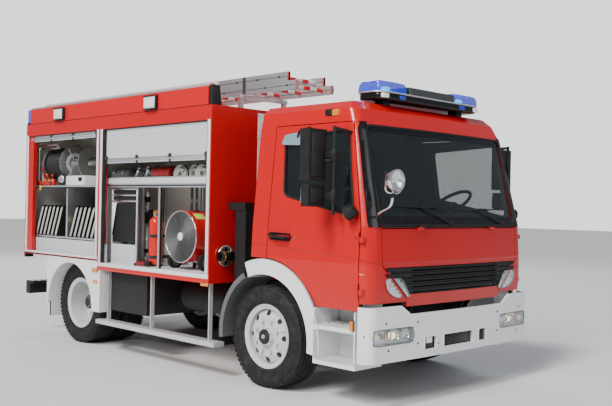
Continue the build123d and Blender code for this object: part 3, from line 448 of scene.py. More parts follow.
@dataclass(frozen=True)
class Metal(Finish):
    """Bare metal with fine marks along one axis."""

    grain: Across = Across.X
    dull: float = 0.12
    polish: float = 1.0

    def draw(self, shader: Shader) -> None:
        """Draws the drawn or rolled grain and the handling marks."""
        scale = [240.0, 240.0, 240.0]
        scale[self.grain.value] = 4.0
        lines = shader.noise(1.0, 3.0, shader.stretched(tuple(scale)))
        blotch = shader.noise(9.0, 4.0)
        shader.finish(
            Base_Color=shader.mix(blotch * 0.5, self.colour, tuple(c * 0.78 for c in self.colour)),
            Metallic=self.polish,
            Roughness=lines * 0.1 + blotch * self.dull + self.roughness,
            Normal=shader.bump(lines, 0.12, 0.0006),
        )


@dataclass(frozen=True)
class Moulding(Finish):
    """Grained plastic or rubber, greyer where dust lies."""

    roughness: float = 0.55
    grain: float = 0.25
    dust: float = 0.12
    gloss: float = 0.3

    def draw(self, shader: Shader) -> None:
        """Draws the moulded grain and the dust."""
        speck = shader.noise(18.0, 5.0)
        dirt = ((speck - 0.45) * self.dust * 2.0).clamped()
        shader.finish(
            Base_Color=shader.mix(
                dirt, self.colour, tuple(c * 0.6 + d * 0.4 for c, d in zip(self.colour, DUST)),
            ),
            Roughness=dirt * 0.4 + self.roughness, Specular_IOR_Level=self.gloss,
            Normal=shader.bump(shader.noise(700.0, 2.0), self.grain, 0.001),
        )


@dataclass(frozen=True)
class Cloth(Finish):
    """Woven cloth: warp and weft at a thread pitch in metres."""

    roughness: float = 0.9
    pitch: float = 0.003

    def draw(self, shader: Shader) -> None:
        """Draws the weave as two crossed ribbings."""
        wave = {"wave_type": "BANDS", "bands_direction": "DIAGONAL", "wave_profile": "SIN"}
        warp = shader.node(
            "TexWave", wave, {"Vector": shader.place(), "Scale": 0.3 / self.pitch, "Distortion": 0.4}, 1,
        )
        flipped = shader.stretched((-1.0, 1.0, 1.0))
        weft = shader.node(
            "TexWave", wave, {"Vector": flipped, "Scale": 0.3 / self.pitch, "Distortion": 0.4}, 1,
        )
        threads = warp * weft
        worn = shader.noise(7.0, 4.0)
        shade = shader.mix(threads, tuple(c * 0.6 for c in self.colour), self.colour)
        shader.finish(
            Base_Color=shader.mix(worn * 0.4, shade, tuple(min(c * 1.3, 1.0) for c in self.colour)),
            Roughness=self.roughness,
            Sheen_Weight=0.2,
            Normal=shader.bump(threads, 0.4, 0.0012),
        )


@dataclass(frozen=True)
class Clear(Finish):
    """Glass or clear plastic, tinted by its colour."""

    roughness: float = 0.03
    alpha: float = 0.3
    ribs: float = 0.0
    glow: float = 0.0

    def draw(self, shader: Shader) -> None:
        """Draws the clear sheet with faint smears and, on a lens, its ribs."""
        smear = shader.noise(5.0, 5.0)
        extra: dict[str, object] = {}
        if self.ribs:
            stripes = ((shader.along(Across.Y) / self.ribs) % 1.0 - 0.5) * 2.0
            extra["Normal"] = shader.bump(stripes * stripes, 0.35, self.ribs * 0.3)
        if self.glow:
            extra["Emission_Color"] = (*self.colour, 1.0)
            extra["Emission_Strength"] = self.glow
        shader.finish(
            Base_Color=shader.mix(smear * 0.3, self.colour, tuple(c * 0.9 for c in self.colour)),
            Roughness=smear * 0.05 + self.roughness,
            Alpha=self.alpha,
            IOR=1.5,
            Coat_Weight=1.0,
            Coat_Roughness=0.02,
            **extra,
        )


class Coat:
    """The finishes of this vehicle, each used wherever the real one repeats."""

    RED = Paint("red_gloss", (0.56, 0.002, 0.003))
    CAB = CabPaint("cab_red_paint", (0.56, 0.002, 0.003))
    BODY = BodyPaint("body_red_paint", (0.56, 0.002, 0.003))
    BAND = Paint("coaming_red", (0.62, 0.003, 0.006), roughness=0.34)
    WHITE = Paint("white_gloss", (0.86, 0.87, 0.88), roughness=0.35, dust=0.12)
    PANEL = Paint("inner_panel_cream", (0.60, 0.585, 0.53), roughness=0.5, coat=0.1, dust=0.1)
    PALE = Paint("front_wall_grey", (0.55, 0.57, 0.60), roughness=0.45, coat=0.2)
    CYLINDER = Paint("extinguisher_red", (0.62, 0.01, 0.008), roughness=0.22, dust=0.05)
    ORANGE = Paint("orange_paint", (0.75, 0.22, 0.02), roughness=0.3, dust=0.05)
    MAROON = Paint("canister_maroon", (0.22, 0.012, 0.012), roughness=0.3, dust=0.05)
    YELLOW = Paint("valve_yellow", (0.75, 0.55, 0.03), roughness=0.35, dust=0.05)
    FRAME = Paint("chassis_black", (0.008, 0.008, 0.009), roughness=0.55, coat=0.05, dust=0.14)
    WHEEL = Paint("wheel_silver", (0.60, 0.61, 0.62), roughness=0.32, coat=0.35, dust=0.2)
    ALU = Metal("mill_aluminium", (0.78, 0.79, 0.80), roughness=0.34)
    ALU_UP = Metal("upright_aluminium", (0.78, 0.79, 0.80), roughness=0.34, grain=Across.Z)
    SLAT = Metal("shutter_aluminium", (0.84, 0.86, 0.88), roughness=0.42, dull=0.2, polish=0.55)
    TREAD = Metal("step_tread", (0.80, 0.81, 0.82), roughness=0.42, polish=0.7)
    GALV = Metal("galvanised", (0.26, 0.27, 0.27), roughness=0.45)
    STEEL = Metal("bare_steel", (0.50, 0.50, 0.51), roughness=0.38)
    CHROME = Metal("chrome", (0.88, 0.88, 0.89), roughness=0.08, dull=0.05)
    BRASS = Metal("brass", (0.72, 0.52, 0.22), roughness=0.3)
    ENGINE = Metal("cast_engine", (0.30, 0.31, 0.32), roughness=0.55)
    REFLECTOR = Metal("reflector", (0.92, 0.92, 0.93), roughness=0.06, dull=0.03)
    BLACK = Moulding("black_moulding", (0.010, 0.010, 0.011))
    GREY = Moulding("grey_moulding", (0.12, 0.125, 0.13))
    GLOSS = Moulding("gloss_black", (0.006, 0.006, 0.007), roughness=0.18, grain=0.03, dust=0.1)
    RUBBER = Moulding("seal_rubber", (0.008, 0.008, 0.008), roughness=0.7, dust=0.15)
    TYRE = Moulding("tyre_rubber", (0.012, 0.012, 0.013), roughness=0.72, grain=0.35, dust=0.32)
    DASH = Moulding("dash_plastic", (0.030, 0.032, 0.035), roughness=0.65, dust=0.05)
    LINING = Moulding("cab_lining", (0.060, 0.063, 0.066), roughness=0.85, dust=0.05)
    HOSE = Cloth("hose_jacket", (0.62, 0.62, 0.58), pitch=0.002)
    BLACK_HOSE = Moulding("reel_hose", (0.02, 0.02, 0.021), roughness=0.5, grain=0.15)
    SEAT = Cloth("seat_weave", (0.055, 0.06, 0.075))
    BAG = Cloth("bag_canvas", (0.030, 0.032, 0.034), pitch=0.0022)
    STRAP = Cloth("strap_webbing", (0.02, 0.02, 0.02), pitch=0.0015)
    LABEL = Moulding("blank_label", (0.52, 0.62, 0.10), roughness=0.4, grain=0.05, dust=0.1)
    BLANK = Moulding("blank_plate", (0.72, 0.73, 0.72), roughness=0.35, grain=0.03, dust=0.15)
    EDGE = Paint("anodised_edge", (0.76, 0.79, 0.82), roughness=0.38, coat=0.15, dust=0.1)
    RAIL = Paint("roof_rail_pale", (0.72, 0.60, 0.60), roughness=0.4, coat=0.2, dust=0.05)
    PANE = Paint("work_lamp_pane", (0.86, 0.87, 0.85), roughness=0.25, coat=0.8, dust=0.05)
    VISOR = Moulding("tinted_hood", (0.22, 0.30, 0.38), roughness=0.2, grain=0.03, dust=0.1)
    GLASS = Clear("tinted_glass", (0.012, 0.018, 0.018), alpha=0.38)
    LENS = Clear("clear_lens", (0.55, 0.60, 0.62), alpha=0.16, ribs=0.012)
    BLUE = Clear("blue_lens", (0.001, 0.035, 0.60), alpha=0.76, roughness=0.08, ribs=0.02, glow=0.22)
    FLASH = Clear("blue_flash", (0.05, 0.55, 1.0), alpha=1.0, roughness=0.1, glow=5.0)
    BEAM = Clear("lit_beam", (1.0, 0.80, 0.45), alpha=1.0, roughness=0.1, glow=2.5)
    AMBER = Clear("amber_lens", (0.85, 0.25, 0.01), alpha=0.9, roughness=0.12, ribs=0.006)
    RED_LENS = Clear("red_lens", (0.55, 0.01, 0.01), alpha=0.92, roughness=0.12, ribs=0.006)
    WARM = Clear("lamp_warm_white", (0.85, 0.82, 0.70), alpha=0.92, roughness=0.12, ribs=0.006, glow=0.4)
    MIRROR = Metal("mirror_glass", (0.80, 0.84, 0.86), roughness=0.03, dull=0.02)


class Form:
    """One piece being modelled, in the vehicle's own frame, with a finish for each part."""

    def __init__(self) -> None:
        """Starts an empty piece."""
        self.mesh = bmesh.new()
        self.finishes: list[Finish] = []

    def take(self, part: bmesh.types.BMesh, finish: Finish, turned: Matrix | None = None) -> None:
        """Adds a closed part in a finish.

        Args:
            part: The part's own mesh, used up here.
            finish: The finish of all its faces.
            turned: A transform for it, if any.
        """
        if finish not in self.finishes:
            self.finishes.append(finish)
        if turned is not None:
            part.transform(turned)
        bmesh.ops.recalc_face_normals(part, faces=part.faces)
        for face in part.faces:
            face.material_index = self.finishes.index(finish)
            face.smooth = True
        carrier = bpy.data.meshes.new("carrier")
        part.to_mesh(carrier)
        self.mesh.from_mesh(carrier)
        bpy.data.meshes.remove(carrier)
        part.free()

    @staticmethod
    def soften(part: bmesh.types.BMesh, width: float, segments: int = 2) -> None:
        """Rounds every sharp edge of a part."""
        if width > 0:
            sharp = [
                edge for edge in part.edges
                if len(edge.link_faces) == 2 and edge.calc_face_angle(0.0) > SHARP_ANGLE
            ]
            bmesh.ops.bevel(
                part, geom=sharp, offset=width, segments=segments, profile=0.5, affect="EDGES", material=-1
            )

    def block(
        self, finish: Finish, x: Span, y: Span, z: Span, bevel: float = 0.0, turned: Matrix | None = None
    ) -> None:
        """Adds a block between two corners.

        Args:
            finish: Its finish.
            x: Its low and high X, in any order, as for y and z.
            y: Its Y.
            z: Its Z.
            bevel: How far its edges are rounded.
            turned: A turn about its own centre, if any.
        """
        part = brick((abs(x[1] - x[0]), abs(y[1] - y[0]), abs(z[1] - z[0])))
        self.soften(part, bevel)
        if turned is not None:
            part.transform(turned)
        bmesh.ops.translate(part, verts=part.verts, vec=(sum(x) / 2, sum(y) / 2, sum(z) / 2))
        self.take(part, finish)

    def rod(
        self, finish: Finish, start: Point, end: Point, radius: float, far: float | None = None,
        sides: int = 20, bevel: float = 0.0,
    ) -> None:
        """Adds a round rod or cone.

        Args:
            finish: Its finish.
            start: The middle of its first end.
            end: The middle of its other end.
            radius: Its radius at the start.
            far: Its radius at the end, if it differs.
            sides: How many flats go round it.
            bevel: How far its end edges are rounded.
        """
        run = Vector(end) - Vector(start)
        part = bmesh.new()
        bmesh.ops.create_cone(
            part, cap_ends=True, segments=sides, radius1=radius, radius2=radius if far is None else far,
            depth=run.length,
        )
        if bevel > 0:
            rims = [edge for edge in part.edges if abs(edge.verts[0].co.z - edge.verts[1].co.z) < 1e-6]
            bmesh.ops.bevel(
                part, geom=rims, offset=bevel, segments=2, profile=0.5, affect="EDGES", material=-1,
            )
        part.transform(run.to_track_quat("Z", "Y").to_matrix().to_4x4())
        bmesh.ops.translate(part, verts=part.verts, vec=(Vector(start) + Vector(end)) / 2)
        self.take(part, finish)

    def slab(
        self, finish: Finish, across: Across, outline: list[Span], span: Span, bevel: float = 0.0,
        segments: int = 2,
    ) -> None:
        """Adds a flat outline thickened along an axis.

        Args:
            finish: Its finish.
            across: The axis it is thickened along.
            outline: Its corners, on the other two axes in X, Y, Z order.
            span: The two ends of its thickness.
            bevel: How far its edges are rounded.
            segments: How many steps the rounding has.
        """
        part = bmesh.new()
        rim = []
        for first, second in outline:
            place = [first, second]
            place.insert(across.value, min(span))
            rim.append(part.verts.new(place))
        face = part.faces.new(rim)
        grown = bmesh.ops.extrude_face_region(part, geom=[face])
        moved = [item for item in grown["geom"] if isinstance(item, bmesh.types.BMVert)]
        shift = [0.0, 0.0, 0.0]
        shift[across.value] = max(span) - min(span)
        bmesh.ops.translate(part, verts=moved, vec=shift)
        self.soften(part, bevel, segments)
        self.take(part, finish)

    def lathe(
        self, finish: Finish, profile: list[Span], centre: Point, axis: Point, steps: int = 48
    ) -> None:
        """Adds a shape turned about an axis.

        Args:
            finish: Its finish.
            profile: Points as distance along the axis and radius, open or closed.
            centre: A point on the axis, where the distance is 0.
            axis: The direction of the axis.
            steps: How many steps make the full turn.
        """
        part = bmesh.new()
        way = Vector(axis).normalized()
        out = way.orthogonal().normalized()
        middle = Vector(centre)
        points = [part.verts.new(middle + way * along + out * radius) for along, radius in profile]
        edges = [part.edges.new(pair) for pair in zip(points, points[1:])]
        bmesh.ops.spin(
            part, geom=points + edges, cent=middle, axis=way, dvec=(0, 0, 0), angle=2 * math.pi, steps=steps,
            use_merge=True, use_duplicate=False,
        )
        bmesh.ops.remove_doubles(part, verts=part.verts, dist=1e-5)
        self.take(part, finish)

    def pipe(
        self, finish: Finish, points: list[Point], radius: float, bend: float = 0.0, ring: bool = False,
        sides: int = 3,
    ) -> None:
        """Adds a round tube along a line.

        Args:
            finish: Its finish.
            points: The line's points.
            radius: The tube's radius.
            bend: The radius to which the line's corners are rounded.
            ring: Whether the line closes on itself.
            sides: The tube's fineness, 3 for 16 flats.
        """
        line = bpy.data.curves.new("line", "CURVE")
        line.dimensions = "3D"
        line.bevel_depth = radius
        line.bevel_resolution = sides
        line.use_fill_caps = not ring
        spline = line.splines.new("POLY")
        route = [Vector(point) for point in points]
        if bend > 0:
            route = rounded(route, bend, ring)
        spline.points.add(len(route) - 1)
        for point, place in zip(spline.points, route):
            point.co = (*place, 1.0)
        spline.use_cyclic_u = ring
        carrier = bpy.data.objects.new("line", line)
        made = bpy.data.meshes.new_from_object(carrier)
        part = bmesh.new()
        part.from_mesh(made)
        bpy.data.objects.remove(carrier)
        bpy.data.curves.remove(line)
        bpy.data.meshes.remove(made)
        self.take(part, finish)

    def bolts(self, finish: Finish, places: list[Point], facing: Point, radius: float = 0.011) -> None:
        """Adds bolt heads that face one way."""
        way = Vector(facing)
        for place in places:
            start = Vector(place)
            self.rod(finish, start - way * 0.002, start + way * radius * 0.6, radius, radius * 0.8, sides=6)

    def piece(
        self, name: str, body: str, slot: str = "", replaces: tuple[str, ...] = ()
    ) -> bpy.types.Object:
        """Ends the piece and puts it on its body.

        Args:
            name: The piece's name.
            body: The CAD body that it moves with.
            slot: The record's material slot, if it has one. It is not used.
            replaces: The CAD nodes that it stands for.

        Returns:
            The piece.
        """
        for edge in self.mesh.edges:
            edge.smooth = len(edge.link_faces) == 2 and edge.calc_face_angle(0.0) < SHARP_ANGLE
        data = bpy.data.meshes.new(name)
        self.mesh.to_mesh(data)
        self.mesh.free()
        for finish in self.finishes:
            data.materials.append(finish.material())
        made = bpy.data.objects.new(name, data)
        bpy.context.scene.collection.objects.link(made)
        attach(made, body)
        if replaces:
            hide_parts(*replaces)
        LOG.info("%s: %d faces on %s", name, len(data.polygons), body)
        return made


def filled(
    part: bmesh.types.BMesh, name: str, finish: Finish, body: str, swell: float,
    flat_below: float = -1.0, voxel: float = 0.006, replaces: tuple[str, ...] = (),
) -> bpy.types.Object:
    """Makes a stuffed piece: a closed form that air pressure swells as cloth.

    Args:
        part: The form before it is filled, used up here.
        name: The piece's name.
        finish: Its finish.
        body: The CAD body that it moves with.
        swell: The furthest that any point may move.
        flat_below: The height under which it stays flat on what carries it.
        voxel: The fineness of its mesh.
        replaces: The CAD nodes that it stands for.

    Returns:
        The piece.
    """
    bmesh.ops.recalc_face_normals(part, faces=part.faces)
    data = bpy.data.meshes.new(name)
    part.to_mesh(data)
    part.free()
    data.materials.append(finish.material())
    made = bpy.data.objects.new(name, data)
    bpy.context.scene.collection.objects.link(made)
    remesh = made.modifiers.new("even", "REMESH")
    remesh.mode = "VOXEL"
    remesh.voxel_size = voxel
    settle(made)
    before = [vert.co.copy() for vert in made.data.vertices]
    cloth = made.modifiers.new("fill", "CLOTH")
    cloth.settings.use_pressure = True
    cloth.settings.uniform_pressure_force = FILL_PRESSURE
    cloth.settings.effector_weights.gravity = 0.0
    for step in range(1, FILL_FRAMES + 1):
        bpy.context.scene.frame_set(step)
    settle(made)
    bpy.context.scene.frame_set(1)
    for vert, start in zip(made.data.vertices, before):
        move = vert.co - start
        vert.co = start + move * min(1.0, swell / max(move.length, 1e-6))
        vert.co.z = max(vert.co.z, flat_below)
    smooth = made.modifiers.new("soft", "SUBSURF")
    smooth.levels = smooth.render_levels = 1
    settle(made)
    for face in made.data.polygons:
        face.use_smooth = True
    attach(made, body)
    if replaces:
        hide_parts(*replaces)
    LOG.info("%s: %d faces on %s", name, len(made.data.polygons), body)
    return made


def settle(made: bpy.types.Object) -> None:
    """Applies a piece's modifiers to its mesh."""
    solved = made.evaluated_get(bpy.context.evaluated_depsgraph_get())
    data = bpy.data.meshes.new_from_object(solved)
    made.modifiers.clear()
    made.data = data


def turn(axis: str, degrees: float) -> Matrix:
    """Returns a turn about X, Y or Z."""
    return Matrix.Rotation(math.radians(degrees), 4, axis)


def mirrored(outline: list[Span], sign: int) -> list[Span]:
    """Returns a front outline drawn for +Y, moved to the side with that sign."""
    return [(first * sign, second) for first, second in outline]


@dataclass
class Studio:
    """The camera of the photograph's view, the pale floor and the soft light."""

    eye: Point = (6.6970, -5.9252, 1.5480)
    azimuth: float = 134.940
    elevation: float = 0.209
    roll: float = 1.1755
    lens: float = 49.47
    floor_size: float = 120.0
    fill: float = 0.34
    backdrop: float = 1.7

    def build(self) -> None:
        """Builds the stage."""
        self.camera()
        self.floor()
        self.light("key_light", (6.0, -15.0, 11.0), 6.0, 2600.0, (1.0, 0.975, 0.94))
        self.light("front_light", (17.0, 2.0, 7.0), 6.0, 420.0, (0.93, 0.96, 1.0))
        self.light("rear_light", (-12.0, 9.0, 8.0), 8.0, 900.0, (0.95, 0.97, 1.0))
        self.sun((40.0, 0.0, 3.0), 2.5)
        self.sky()

    def camera(self) -> None:
        """Places the camera as it stood for the photograph."""
        turn_z, up = math.radians(self.azimuth), math.radians(self.elevation)
        look = Vector((math.cos(turn_z) * math.cos(up), math.sin(turn_z) * math.cos(up), math.sin(up)))
        level = look.cross(Vector((0.0, 0.0, 1.0))).normalized()
        upright = level.cross(look)
        lean = math.radians(self.roll)
        right = level * math.cos(lean) + upright * math.sin(lean)
        top = upright * math.cos(lean) - level * math.sin(lean)
        data = bpy.data.cameras.new("camera")
        data.lens = self.lens
        data.sensor_width = 36.0
        data.clip_end = 300.0
        made = bpy.data.objects.new("camera", data)
        made.matrix_world = Matrix((right, top, -look)).transposed().to_4x4()
        made.matrix_world.translation = Vector(self.eye)
        bpy.context.scene.collection.objects.link(made)
        bpy.context.scene.camera = made

    def floor(self) -> None:
        """Lays the pale studio floor."""
        part = bmesh.new()
        bmesh.ops.create_grid(part, x_segments=1, y_segments=1, size=self.floor_size / 2)
        data = bpy.data.meshes.new("floor")
        part.to_mesh(data)
        part.free()
        data.materials.append(Finish("studio_floor", (0.74, 0.74, 0.735), roughness=0.75).material())
        made = bpy.data.objects.new("floor", data)
        bpy.context.scene.collection.objects.link(made)

    def light(self, name: str, place: Point, size: float, power: float, colour: Colour) -> None:
        """Hangs a square soft light that faces the vehicle.

        Args:
            name: Its name.
            place: Where it hangs.
            size: Its side.
            power: Its power in watts.
            colour: Its colour.
        """
        data = bpy.data.lights.new(name, "AREA")
        data.size = size
        data.energy = power
        data.color = colour
        made = bpy.data.objects.new(name, data)
        aim = Vector((0.0, 0.0, 1.0)) - Vector(place)
        made.matrix_world = Matrix.Translation(place) @ aim.to_track_quat("-Z", "Y").to_matrix().to_4x4()
        bpy.context.scene.collection.objects.link(made)

    def sun(self, degrees: Point, strength: float) -> None:
        """Adds the high soft sun."""
        data = bpy.data.lights.new("sun", "SUN")
        data.energy = strength
        data.angle = math.radians(12.0)
        data.color = (1.0, 0.97, 0.92)
        made = bpy.data.objects.new("sun", data)
        made.rotation_euler = [math.radians(value) for value in degrees]
        bpy.context.scene.collection.objects.link(made)

    def sky(self) -> None:
        """Fills the surroundings: pale where they are seen, dimmer where they light the vehicle."""
        world = bpy.data.worlds.new("studio")
        world.use_nodes = True
        tree = world.node_tree
        lit = next(node for node in tree.nodes if node.type == "BACKGROUND")
        lit.inputs["Color"].default_value = (0.80, 0.88, 1.0, 1.0)
        lit.inputs["Strength"].default_value = self.fill
        seen = tree.nodes.new("ShaderNodeBackground")
        seen.inputs["Color"].default_value = (0.93, 0.95, 0.97, 1.0)
        seen.inputs["Strength"].default_value = self.backdrop
        rays = tree.nodes.new("ShaderNodeLightPath")
        blend = tree.nodes.new("ShaderNodeMixShader")
        tree.links.new(rays.outputs["Is Camera Ray"], blend.inputs[0])
        tree.links.new(lit.outputs[0], blend.inputs[1])
        tree.links.new(seen.outputs[0], blend.inputs[2])
        tree.links.new(
            blend.outputs[0], next(node for node in tree.nodes if node.type == "OUTPUT_WORLD").inputs[0],
        )
        bpy.context.scene.world = world


@dataclass
class Carried:
    """The CAD nodes that stay, each with the finish of the real part."""

    finishes: dict[Finish, str] = field(
        default_factory=lambda: {
            Coat.BLACK: "air_intake blower_rotor grille hose_racks mirrors_left mirrors_right steering_wheel",
            Coat.RED: "blower_housing body_floor", Coat.BODY: "body_cross_walls body_posts body_roof",
            Coat.PANEL: "body_inner_walls", Coat.GREY: "body_lamps cab_lamps front_mudguards",
            Coat.LINING: "cab_floor", Coat.CAB: "cab_front cab_rear cab_roof door_left door_right front_flap",
            Coat.WHITE: "cab_steps front_bumper rear_wheel_arches",
            Coat.FRAME: "chassis_frame front_axle knuckle_left knuckle_right rear_axle rear_underrun "
                        "under_boxes",
            Coat.DASH: "dashboard", Coat.GLASS: "door_glass_left door_glass_right windscreen",
            Coat.ENGINE: "engine_block", Coat.CYLINDER: "extinguisher",
            Coat.WHEEL: "front_rim_left front_rim_right rear_rims_left rear_rims_right",
            Coat.TYRE: "front_tyre_left front_tyre_right rear_tyres_left rear_tyres_right",
            Coat.LENS: "headlamps", Coat.STEEL: "hose_reel_drum track_rod",
            Coat.ALU: "ladder_rack locker_shelves roof_ladder", Coat.GLOSS: "outlet_valve",
            Coat.ALU_UP: "rear_ladder", Coat.SLAT: "roller_shutters", Coat.BAND: "roof_coamings",
            Coat.SEAT: "seats", Coat.TREAD: "step_bars",
        }
    )

    def build(self) -> None:
        """Finishes every CAD node."""
        by_name = {name: finish for finish, names in self.finishes.items() for name in names.split()}
        for name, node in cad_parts.items():
            material = by_name[name].material()
            for slot in node.material_slots:
                slot.material = material
            LOG.info("%s keeps its solid, finished as %s", name, material.name)


class Skin:
    """The outer surface of CAD nodes, on which trim is seated."""

    def __init__(self, *names: str) -> None:
        """Keeps a search tree of each named node."""
        self.trees = []
        for name in names:
            part = bmesh.new()
            part.from_mesh(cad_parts[name].data)
            self.trees.append(BVHTree.FromBMesh(part))
            part.free()

    def hit(self, start: Point, way: Point) -> Vector | None:
        """Returns the first point that a ray meets, if it meets one."""
        found = [tree.ray_cast(Vector(start), Vector(way)) for tree in self.trees]
        places = [place for place, _normal, _index, _far in found if place is not None]
        return min(places, key=lambda place: (place - Vector(start)).length) if places else None

    def front(self, y: float, z: float, proud: float = 0.0, spare: float = 0.0) -> Vector:
        """Returns the place on the front surface at a width and height.

        Args:
            y: The width.
            z: The height.
            proud: How far in front of the surface it lies.
            spare: The X to take where the ray meets nothing.

        Returns:
            The place.
        """
        met = self.hit((4.0, y, z), (-1.0, 0.0, 0.0))
        return Vector((spare if met is None else met.x, y, z)) + Vector((proud, 0.0, 0.0))

    def side(self, side: Side, x: float, z: float, proud: float = 0.0) -> Vector:
        """Returns the place on one side's surface at a length and height.

        Args:
            side: Which side.
            x: The length.
            z: The height.
            proud: How far outside the surface it lies.

        Returns:
            The place.
        """
        met = self.hit((x, side.value * 3.0, z), (0.0, -side.value, 0.0))
        return Vector((x, (side.value * SPARE_HALF if met is None else met.y) + side.value * proud, z))

    def front_seat(self, proud: float, spare: float) -> Seat:
        """Returns the front surface as a function of width and height."""
        return lambda y, z: self.front(y, z, proud, spare)

    def side_seat(self, side: Side, proud: float) -> Seat:
        """Returns one side's surface as a function of length and height."""
        return lambda x, z: self.side(side, x, z, proud)


class Cover(Form):
    """A form that can also lay thin sheets over a curved surface."""

    def sheet_over(
        self, finish: Finish, across: Across, outline: list[Span], seat: Seat, thickness: Point,
        step: float = 0.045,
    ) -> None:
        """Adds a thin sheet that follows a surface.

        Args:
            finish: Its finish.
            across: The axis that its outline leaves out.
            outline: Its corners, on the other two axes in X, Y, Z order.
            seat: Gives the place on the surface from the outline's two numbers.
            thickness: Which way and how far it stands out.
            step: The size of its fields.
        """
        part = bmesh.new()
        rim = []
        for first, second in outline:
            place = [first, second]
            place.insert(across.value, 0.0)
            rim.append(part.verts.new(place))
        part.faces.new(rim)
        lines = [axis for axis in (0, 1, 2) if axis != across.value]
        for axis in lines:
            low = min(vert.co[axis] for vert in part.verts)
            high = max(vert.co[axis] for vert in part.verts)
            for index in range(1, max(int((high - low) / step), 0) + 1):
                where, normal = [0.0] * 3, [0.0] * 3
                where[axis] = low + index * step
                normal[axis] = 1.0
                everything = part.verts[:] + part.edges[:] + part.faces[:]
                bmesh.ops.bisect_plane(part, geom=everything, plane_co=where, plane_no=normal, dist=1e-4)
        for vert in part.verts:
            vert.co = seat(vert.co[lines[0]], vert.co[lines[1]])
        grown = bmesh.ops.extrude_face_region(part, geom=part.faces[:])
        moved = [item for item in grown["geom"] if isinstance(item, bmesh.types.BMVert)]
        bmesh.ops.translate(part, verts=moved, vec=thickness)
        self.take(part, finish)


